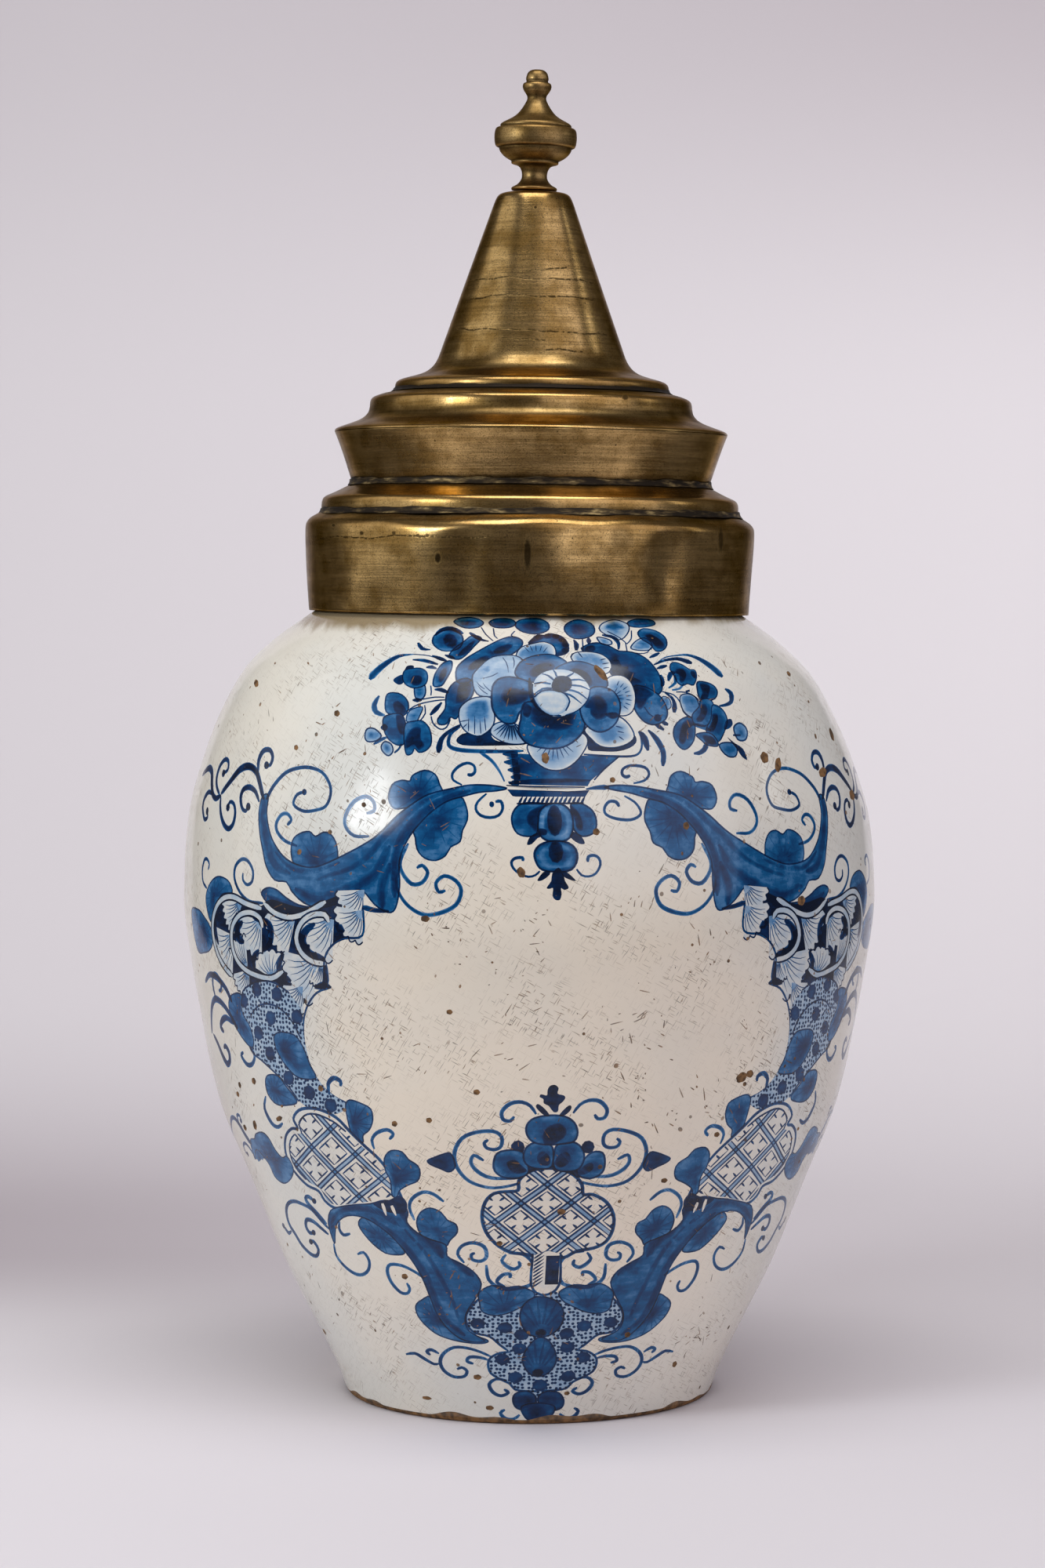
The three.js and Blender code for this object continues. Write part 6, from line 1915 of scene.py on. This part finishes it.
def brass_section(node_name, name, outer, material, shift, level_top=False):
    """One ring of the cover: its outer face, rounded and filled in, and its inner face one sheet inwards."""
    out = filled_in(rounded(outer, 2), 2.2)
    inner = moved_inwards(out, SHEET)[::-2]
    inner[-1] = [inner[-1, 0], out[0, 1]]
    if level_top:
        inner[0] = [inner[0, 0], out[-1, 1]]
    profile = np.vstack([out, inner])
    points, triangles = carried_round(profile, shift)
    piece = new_piece(name, in_cover(points), triangles, material, "cover", [node_name])
    turn = bends(out)
    near_joint = sum(np.exp(-((out[:, 1] - joint) / 1.6) ** 2) for joint in JOINT_HEIGHTS)
    hollow = np.clip(-turn * 1.3, 0, 1) + 0.8 * near_joint
    rub = np.clip(turn * 1.8 - 0.45, 0, 1)
    blank = np.zeros(len(inner))
    hollow = np.concatenate([np.clip(hollow, 0, 1), blank + 0.5])
    put_attribute(piece, "hollow", np.repeat(hollow, COVER_AROUND))
    put_attribute(piece, "rub", np.repeat(np.concatenate([rub, blank]), COVER_AROUND))
    return piece


# %% [markdown]
# Old brass is copper and zinc under a thin brown skin of oxide. The skin is what makes its colour: olive
# brown where it is whole, warm yellow where it is rubbed thin. It also makes the metal only half
# mirror-like.

# %% The brass's finish
BRASS = "#d4b074"
BRASS_BROWN = "#947441"
BRASS_DARK = "#261b0c"
BRASS_RUBBED = "#c0965a"
BRASS_GRAZED = "#b0a89e"  # what the skin lets through at a very low angle
CRACK_DARK = "#1c140a"
ROUGHNESS = (0.2, 0.3)  # where the skin is thin, and where it is thick
CRACK_HALF_WIDTH = 0.32
SPINNING_PITCH = 0.7  # real rings are finer; this is as fine as a render of the whole jar can show


def aged_brass(name, dulled=0.0, cracks=(), marks=()):
    """Brass with its skin, for sheet and for castings, dulled further by handling. A crack is (height, slope,
    from x, to x), and a mark is (x, height, half width, half height, darkness), all on the camera's side."""
    material, tree, shader = new_material(name)
    add = partial(node, tree)
    solid = add("TexCoord", {}, "Object")
    rub, hollow = (add("Attribute", {}, "Fac", attribute_name=attribute) for attribute in ("rub", "hollow"))
    dark_tone = colour(BRASS_DARK)

    # rings left by turning: noise squeezed along the cover's axis
    squeezed = add("Mapping", {0: solid, "Rotation": (0, SETTLED_TILT, 0), "Scale": (0.03, 0.03, 1)})
    ring = add("TexNoise", {"Vector": squeezed, "Scale": 1 / (SPINNING_PITCH * MM), "Detail": 2})
    coarse_ring = add("TexNoise", {"Vector": squeezed, "Scale": 1 / (5 * MM), "Detail": 3})

    # the skin: cloudy, thicker in corners, gone on edges
    cloud = add("TexNoise", {"Vector": solid, "Scale": 1 / (16 * MM), "Detail": 5, "Roughness": 0.62})
    grain = add("TexNoise", {"Vector": solid, "Scale": 1 / (1.2 * MM), "Detail": 3})
    skin = add("Math", {0: cloud, 1: 0.65, 2: add("Math", {0: coarse_ring, 1: 0.35}, operation="MULTIPLY")},
               operation="MULTIPLY_ADD")
    browned = add("MapRange", {0: skin, 1: 0.38, 2: 0.6}, interpolation_type="SMOOTHSTEP")
    tone = add("Mix", {0: browned, 6: colour(BRASS), 7: colour(BRASS_BROWN)}, 2, data_type="RGBA")
    lined = add("MapRange", {0: ring, 1: 0.35, 2: 0.7, 4: 0.3}, interpolation_type="SMOOTHSTEP")
    tone = add("Mix", {0: lined, 6: tone, 7: dark_tone}, 2, data_type="RGBA")
    peppered = add("MapRange", {0: add("TexNoise", {"Vector": solid, "Scale": 1 / (0.45 * MM), "Detail": 3}),
                                1: 0.5, 2: 0.66, 4: 0.5}, interpolation_type="SMOOTHSTEP")
    tone = add("Mix", {0: peppered, 6: tone, 7: dark_tone}, 2, data_type="RGBA")
    worn = add("MapRange", {0: grain, 1: 0.25, 2: 0.6, 3: 0.4, 4: 1}, interpolation_type="SMOOTHSTEP")
    tone = add("Mix", {0: dulled, 6: tone, 7: dark_tone}, 2, data_type="RGBA")
    worn = add("Math", {0: rub, 1: worn}, operation="MULTIPLY", use_clamp=True)
    tone = add("Mix", {0: worn, 6: tone, 7: colour(BRASS_RUBBED)}, 2, data_type="RGBA")
    corner = add("MapRange", {0: cloud, 1: 0.25, 2: 0.7, 3: 0.8, 4: 1.1}, interpolation_type="SMOOTHSTEP")
    corner = add("Math", {0: hollow, 1: corner}, operation="MULTIPLY", use_clamp=True)
    tone = add("Mix", {0: corner, 6: tone, 7: dark_tone}, 2, data_type="RGBA")

    # specks of corrosion, cracks round the sheet, and single marks
    lattice = {"Vector": solid, "Scale": 1 / (2.6 * MM), "Randomness": 1}
    lot = add("SeparateColor", {0: add("TexVoronoi", lattice, "Color")})
    size = add("MapRange", {0: lot, 1: 0.55, 4: 0.14})
    hole = add("Math", {0: add("TexVoronoi", lattice, "Distance"), 1: size}, operation="LESS_THAN")
    dark = add("Math", {0: hole, 1: 0.7}, operation="MULTIPLY")
    across, depth, height = (add("SeparateXYZ", {0: solid}, side) for side in range(3))
    front = add("Math", {0: depth, 1: 0}, operation="LESS_THAN")
    wander = add("TexNoise", {"Vector": solid, "Scale": 1 / (14 * MM), "Detail": 2})
    wander = add("MapRange", {0: wander, 1: 0.2, 2: 0.8, 3: -1.2 * MM, 4: 1.2 * MM})
    for level, slope, start, end in cracks:
        line = add("Math", {0: across, 1: slope, 2: height}, operation="MULTIPLY_ADD")
        line = add("Math", {0: line, 1: wander}, operation="ADD")
        away = add("Math", {0: line, 1: level * MM, 2: CRACK_HALF_WIDTH * MM}, operation="COMPARE")
        left_end = add("Math", {0: across, 1: start * MM}, operation="GREATER_THAN")
        right_end = add("Math", {0: across, 1: end * MM}, operation="LESS_THAN")
        within = add("Math", {0: left_end, 1: right_end}, operation="MULTIPLY")
        broken = add("MapRange", {0: grain, 1: 0.36, 2: 0.5, 4: 0.8})
        crack = add("Math", {0: away, 1: add("Math", {0: within, 1: broken}, operation="MULTIPLY")},
                    operation="MULTIPLY")
        dark = add("Math", {0: dark, 1: crack}, operation="MAXIMUM")
    for x, level, half_width, half_height, darkness in marks:
        scale = (1 / (half_width * MM), 0, 1 / (half_height * MM))
        offset = (-x / half_width, 0, -level / half_height)
        away = add("VectorMath", {0: add("Mapping", {0: solid, "Location": offset, "Scale": scale})}, "Value",
                   operation="LENGTH")
        mark = add("MapRange", {0: away, 1: 0.45, 2: 1.1, 3: darkness, 4: 0}, interpolation_type="SMOOTHSTEP")
        dark = add("Math", {0: dark, 1: mark}, operation="MAXIMUM")
    dark = add("Math", {0: dark, 1: front if cracks or marks else 1.0}, operation="MULTIPLY", use_clamp=True)
    tone = add("Mix", {0: dark, 6: tone, 7: colour(CRACK_DARK)}, 2, data_type="RGBA")

    rough = add("MapRange", {0: skin, 1: 0.35, 2: 0.65, 3: ROUGHNESS[0], 4: ROUGHNESS[1]})
    rough = add("Math", {0: rough, 1: 0.4 * dulled}, operation="ADD")
    rough = add("Math", {0: corner, 1: 0.25, 2: rough}, operation="MULTIPLY_ADD")
    rough = add("Math", {0: dark, 1: 0.3, 2: rough}, operation="MULTIPLY_ADD")
    relief = add("Math", {0: ring, 1: 0.5, 2: add("Math", {0: grain, 1: 0.35}, operation="MULTIPLY")},
                 operation="MULTIPLY_ADD")
    relief = add("Math", {0: dark, 1: -0.4, 2: relief}, operation="MULTIPLY_ADD")
    bump = add("Bump", {"Height": relief, "Strength": 0.35, "Distance": 0.12 * MM})
    feed(shader, {"Base Color": tone, "Metallic": 1.0, "Roughness": rough, "Normal": bump,
                  "Specular Tint": colour(BRASS_GRAZED)})
    return material


SHOULDER_SPOT = (35, 373.4, 1.5, 1.2, 0.8)
sheet_brass = aged_brass("aged_sheet_brass", marks=[SHOULDER_SPOT])

# %% Skirt band
SKIRT_TOP = 37.1
STEP_TOP = 48.4
COLLAR_TOP = 66.9
SPIRE_FOOT = 82.8
SPIRE_TOP = 157.6
JOINT_GAP = 0.3


def at_angle(angle, middle, width):
    """A soft bump, 1 in the middle and fading over width, all in degrees round the cover."""
    away = (np.degrees(angle) - middle + 180) % 360 - 180
    return np.exp(-((away / width) ** 2))


def skirt_dents(angle, radius, height):
    """The band bulges and sinks between its blows, and its top edge runs a little up and down."""
    soft = 0.35 * np.sin(3 * angle + 1.1 + height / 40) + 0.22 * np.sin(7 * angle + height / 18)
    soft = soft + 0.15 * np.sin(13 * angle - height / 12)
    low = -1.4 * at_angle(angle, -16, 4.5) - 1.5 * at_angle(angle, 36.5, 5) - 0.6 * at_angle(angle, 118, 9)
    high = 0.5 * at_angle(angle, 27, 5) + 0.4 * at_angle(angle, -27, 6)
    middle = np.sin(np.clip(height / 31, 0, 1) * math.pi) ** 0.7
    edge = np.exp(-(((height - 33.5) / 3.5) ** 2))
    wave = 0.45 * np.sin(4 * angle + 0.4) + 0.3 * np.sin(9 * angle + 2) + 0.18 * np.sin(17 * angle)
    return radius + (soft + low + high) * middle, height + wave * edge


SKIRT_CRACK = (322.5, 0.004, -77, -14)
SKIRT_MARKS = [  # an oval dent, two blurred streaks, a mottled patch and the larger pits
    (-32.7, 315, 1.5, 2.6, 0.95), (-0.6, 316.5, 1.8, 8, 0.9), (70, 322, 1.2, 6, 0.8), (33, 322, 5, 6, 0.3),
    (42, 314, 6, 6, 0.3), (36, 309, 4, 3, 0.25), (-71.6, 327, 1, 0.8, 0.9), (-60.7, 324, 0.9, 0.9, 0.8),
    (-48.7, 324, 0.9, 0.8, 0.8), (-40, 323, 0.9, 0.7, 0.8), (-36.5, 323, 1, 0.7, 0.8), (58, 300, 1, 0.8, 0.7),
]
skirt_brass = aged_brass("scratched_sheet_brass", cracks=[SKIRT_CRACK], marks=SKIRT_MARKS)
brass_section("cover_skirt_band", "skirt_band", [
    (82.8, 0), (84, 15), (84.8, 30.8), (83.6, 33.4), (81, 35.2), (78.6, SKIRT_TOP - 0.4), (73.5, SKIRT_TOP),
], skirt_brass, skirt_dents)

# %% Step, collar and shoulder


def slight_dents(angle, radius, height):
    """A barely uneven ring: two slow waves of a few tenths of a millimetre."""
    return radius + 0.14 * np.sin(5 * angle + height / 9) + 0.1 * np.sin(11 * angle + 1), height


brass_section("cover_lower_step", "lower_step", [
    (78.5, SKIRT_TOP + JOINT_GAP), (78.5, 41), (77.6, 42.6), (75.4, 43.6), (73.3, 44.5), (69.6, 46.4),
    (66.4, STEP_TOP - 0.3), (62.5, STEP_TOP),
], sheet_brass, slight_dents)
brass_section("cover_waisted_collar", "waisted_collar", [
    (67.4, STEP_TOP + JOINT_GAP), (68.4, 51.6), (70.2, 57.2), (72.2, 62.9), (73.8, COLLAR_TOP),
], sheet_brass, slight_dents, level_top=True)
brass_section("cover_stepped_shoulder", "stepped_shoulder", [
    (73.9, COLLAR_TOP + JOINT_GAP), (73.6, 68), (72.2, 68.7), (67.2, 70.4), (63.6, 71.9), (61.3, 74),
    (60.7, 76), (60.5, 78.6), (59.8, 79.9), (57.6, 80.9), (54.4, 81.8), (51, 82.3), (46.5, SPIRE_FOOT - 0.4),
], sheet_brass, slight_dents)

# %% Spire
cone_cracks = [(418.3, 0.03, -22, 24), (411.3, 0.02, -22, 24), (399, 0.035, -27, 29), (422, 0.0, 2, 14),
               (395.5, 0.02, -10, 6), (391.5, 0.0, 6, 20)]
spire_brass = aged_brass("spun_cone_brass", cracks=cone_cracks, marks=[(2.4, 445, 0.8, 0.8, 0.9)])


def spire_dents(angle, radius, height):
    """The cone is nearly true: its ovalness grows with its radius."""
    return radius * (1 + 0.004 * np.sin(2 * angle + 1) + 0.002 * np.sin(5 * angle + height / 14)), height


brass_section("cover_spire", "spire", [
    (51.6, SPIRE_FOOT), (51.7, 84.4), (51.3, 85.8), (49.6, 86.9), (44.8, 88.1), (40.2, 89.6), (37.4, 91.8),
    (35.6, 94.6), (34.2, 98.5), (16.4, 149), (15, 153), (13.9, 155.6), (12.6, 156.8), (9.5, 157.4),
    (3.8, SPIRE_TOP),
], spire_brass, spire_dents)

# %% [markdown]
# The sections are joined with soft solder, run in from outside and left rough: a dull grey bead with light
# streaks where it has been scraped.

# %% Solder beads
solder, tree, shader = new_material("soft_lead_solder")
add = partial(node, tree)
solid = add("TexCoord", {}, "Object")
patch = add("TexNoise", {"Vector": add("Mapping", {0: solid, "Scale": (0.6, 0.6, 3)}), "Scale": 1 / (6 * MM),
                         "Detail": 5, "Roughness": 0.65})
scraped = add("MapRange", {0: add("SeparateXYZ", {0: solid}, 2), 1: 0.345, 2: 0.365, 3: 0, 4: -0.14})
tone = add("ValToRGB", {0: add("Math", {0: patch, 1: scraped}, operation="ADD")},
           stops=[(0.48, colour("#241b10")), (0.58, colour("#54452c")), (0.68, colour("#a08a5e"))])
bump = add("Bump", {"Height": patch, "Strength": 0.6, "Distance": 0.3 * MM})
feed(shader, {"Base Color": tone, "Metallic": 0.75, "Roughness": 0.58, "Normal": bump})


def solder_bead(node_name, name, corner, on_ledge, on_wall):
    """A fillet between ledge and wall. Its free side sags between two corners of its section, and its size
    runs between half and full by three sine waves round the joint."""
    corner, on_ledge, on_wall = (np.array(p, float) for p in (corner, on_ledge, on_wall))
    t = np.linspace(0, 1, 7)[:, None]
    free = on_ledge * (1 - t) + on_wall * t + (corner - (on_ledge + on_wall) / 2) * (0.35 * 4 * t * (1 - t))
    profile = np.vstack([corner, free])

    def lumps(angle, radius, height):
        size = 0.8 + 0.1 * np.sin(9 * angle) + 0.08 * np.sin(23 * angle + 1) + 0.06 * np.sin(41 * angle)
        return corner[0] + (radius - corner[0]) * size, corner[1] + (height - corner[1]) * size

    points, triangles = carried_round(profile, lumps)
    return new_piece(name, in_cover(points), triangles, solder, "cover", [node_name])


solder_bead("solder_skirt_joint", "lower_solder_bead", (78.9, 36.9), (80.4, 35.9), (78.9, 38.7))
solder_bead("solder_collar_joint", "middle_solder_bead", (67.9, 47.6), (69.2, 46.9), (68.2, 49.9))
solder_bead("solder_spire_joint", "upper_solder_bead", (51.9, 82.5), (53.3, 82.3), (51.9, 84))

# %% [markdown]
# ## Cast brass
# The knob is cast in one piece with its tang and then turned: sharp grooves, full round forms, and a surface
# closer than the sheet's, browned and dulled by every hand that has lifted the cover.

# %% Finial
FINIAL_AROUND = 112
FINIAL_LEAN = math.radians(1.0)
knob_brass = aged_brass("cast_knob_brass", dulled=0.4)
FINIAL = [
    (0, -11), (2.5, -11), (3, -10.4), (3, 0), (8.3, 0), (8.6, 0.5), (8.6, 1), (7.9, 1.5), (7, 1.9),
    (5.9, 2.8), (5.3, 3.6), (4.8, 4.6), (4.7, 5.6), (4.8, 6.8), (5.1, 7.8), (5.7, 8.8), (6.6, 9.4),
    (8.6, 9.9), (8.9, 10.3), (8.8, 11.1), (9.6, 11.4), (11.6, 12.6), (13, 14.1), (13.6, 15.3), (13.6, 16),
    (14.3, 16.1), (14.9, 16.4), (15.2, 17.2), (15.4, 18.4), (15.5, 19.9), (15.4, 21.4), (15.2, 22.4),
    (14.8, 23.2), (13.7, 23.4), (13.3, 23.7), (13.4, 24.5), (12.4, 25.3), (10.6, 26.2), (8.6, 27.3),
    (7.2, 28.4), (5.9, 29.9), (4.9, 31.4), (4, 33), (3.5, 34.2), (3.6, 35.2), (4.2, 36.2), (5, 37.3),
    (5.4, 38.4), (5.4, 39.3), (5.1, 40), (4.2, 40.3), (4, 40.8), (4.3, 41.5), (4.1, 42.7), (3.7, 43.8),
    (3, 44.6), (1.8, 45.1), (0, 45.2),
]


def on_finial(points):
    """From the finial's frame, which stands on the spire and leans a little further, to the cover's."""
    c, s = math.cos(FINIAL_LEAN), math.sin(FINIAL_LEAN)
    x, up = points[..., 0], points[..., 2]
    return np.stack([x * c + up * s, points[..., 1], SPIRE_TOP + JOINT_GAP + up * c - x * s], axis=-1)


def turned_knob():
    """The finial and its tang: the profile carried round their axis, with one point at each end of it."""
    line = rounded(FINIAL, 1)
    rim = line[1:-1]
    angle = -math.pi + np.arange(FINIAL_AROUND) / FINIAL_AROUND * 2 * math.pi
    points = np.stack([rim[:, :1] * np.sin(angle), -rim[:, :1] * np.cos(angle),
                       np.broadcast_to(rim[:, 1:], (len(rim), FINIAL_AROUND))], axis=-1).reshape(-1, 3)
    points = np.vstack([points, [0, 0, line[0, 1]], [0, 0, line[-1, 1]]])
    low, high = len(points) - 2, len(points) - 1
    ring = np.arange(FINIAL_AROUND)
    ahead = np.roll(ring, -1)
    last = ring + FINIAL_AROUND * (len(rim) - 1)
    caps = [np.stack([ahead, ring, np.full(FINIAL_AROUND, low)], -1),
            np.stack([last, np.roll(last, -1), np.full(FINIAL_AROUND, high)], -1)]
    triangles = np.vstack([grid_triangles(len(rim), FINIAL_AROUND, round_columns=True), *caps])
    piece = new_piece("finial_knob", in_cover(on_finial(points)), triangles, knob_brass, "cover",
                      ["finial"])
    turn = bends(rim, 1.0)
    put_attribute(piece, "hollow", np.append(np.repeat(np.clip(-turn * 1.1 - 0.1, 0, 1), FINIAL_AROUND),
                                             [0, 0]))
    put_attribute(piece, "rub", np.append(np.repeat(np.clip(turn - 0.2, 0, 0.8), FINIAL_AROUND), [0, 0]))


turned_knob()

# %% Washer and nut inside the spire
for name in ("finial_washer", "finial_nut"):
    inside_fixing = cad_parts[name]
    inside_fixing.data.materials.clear()
    inside_fixing.data.materials.append(knob_brass)
print("washer and nut keep the frame's own shape")
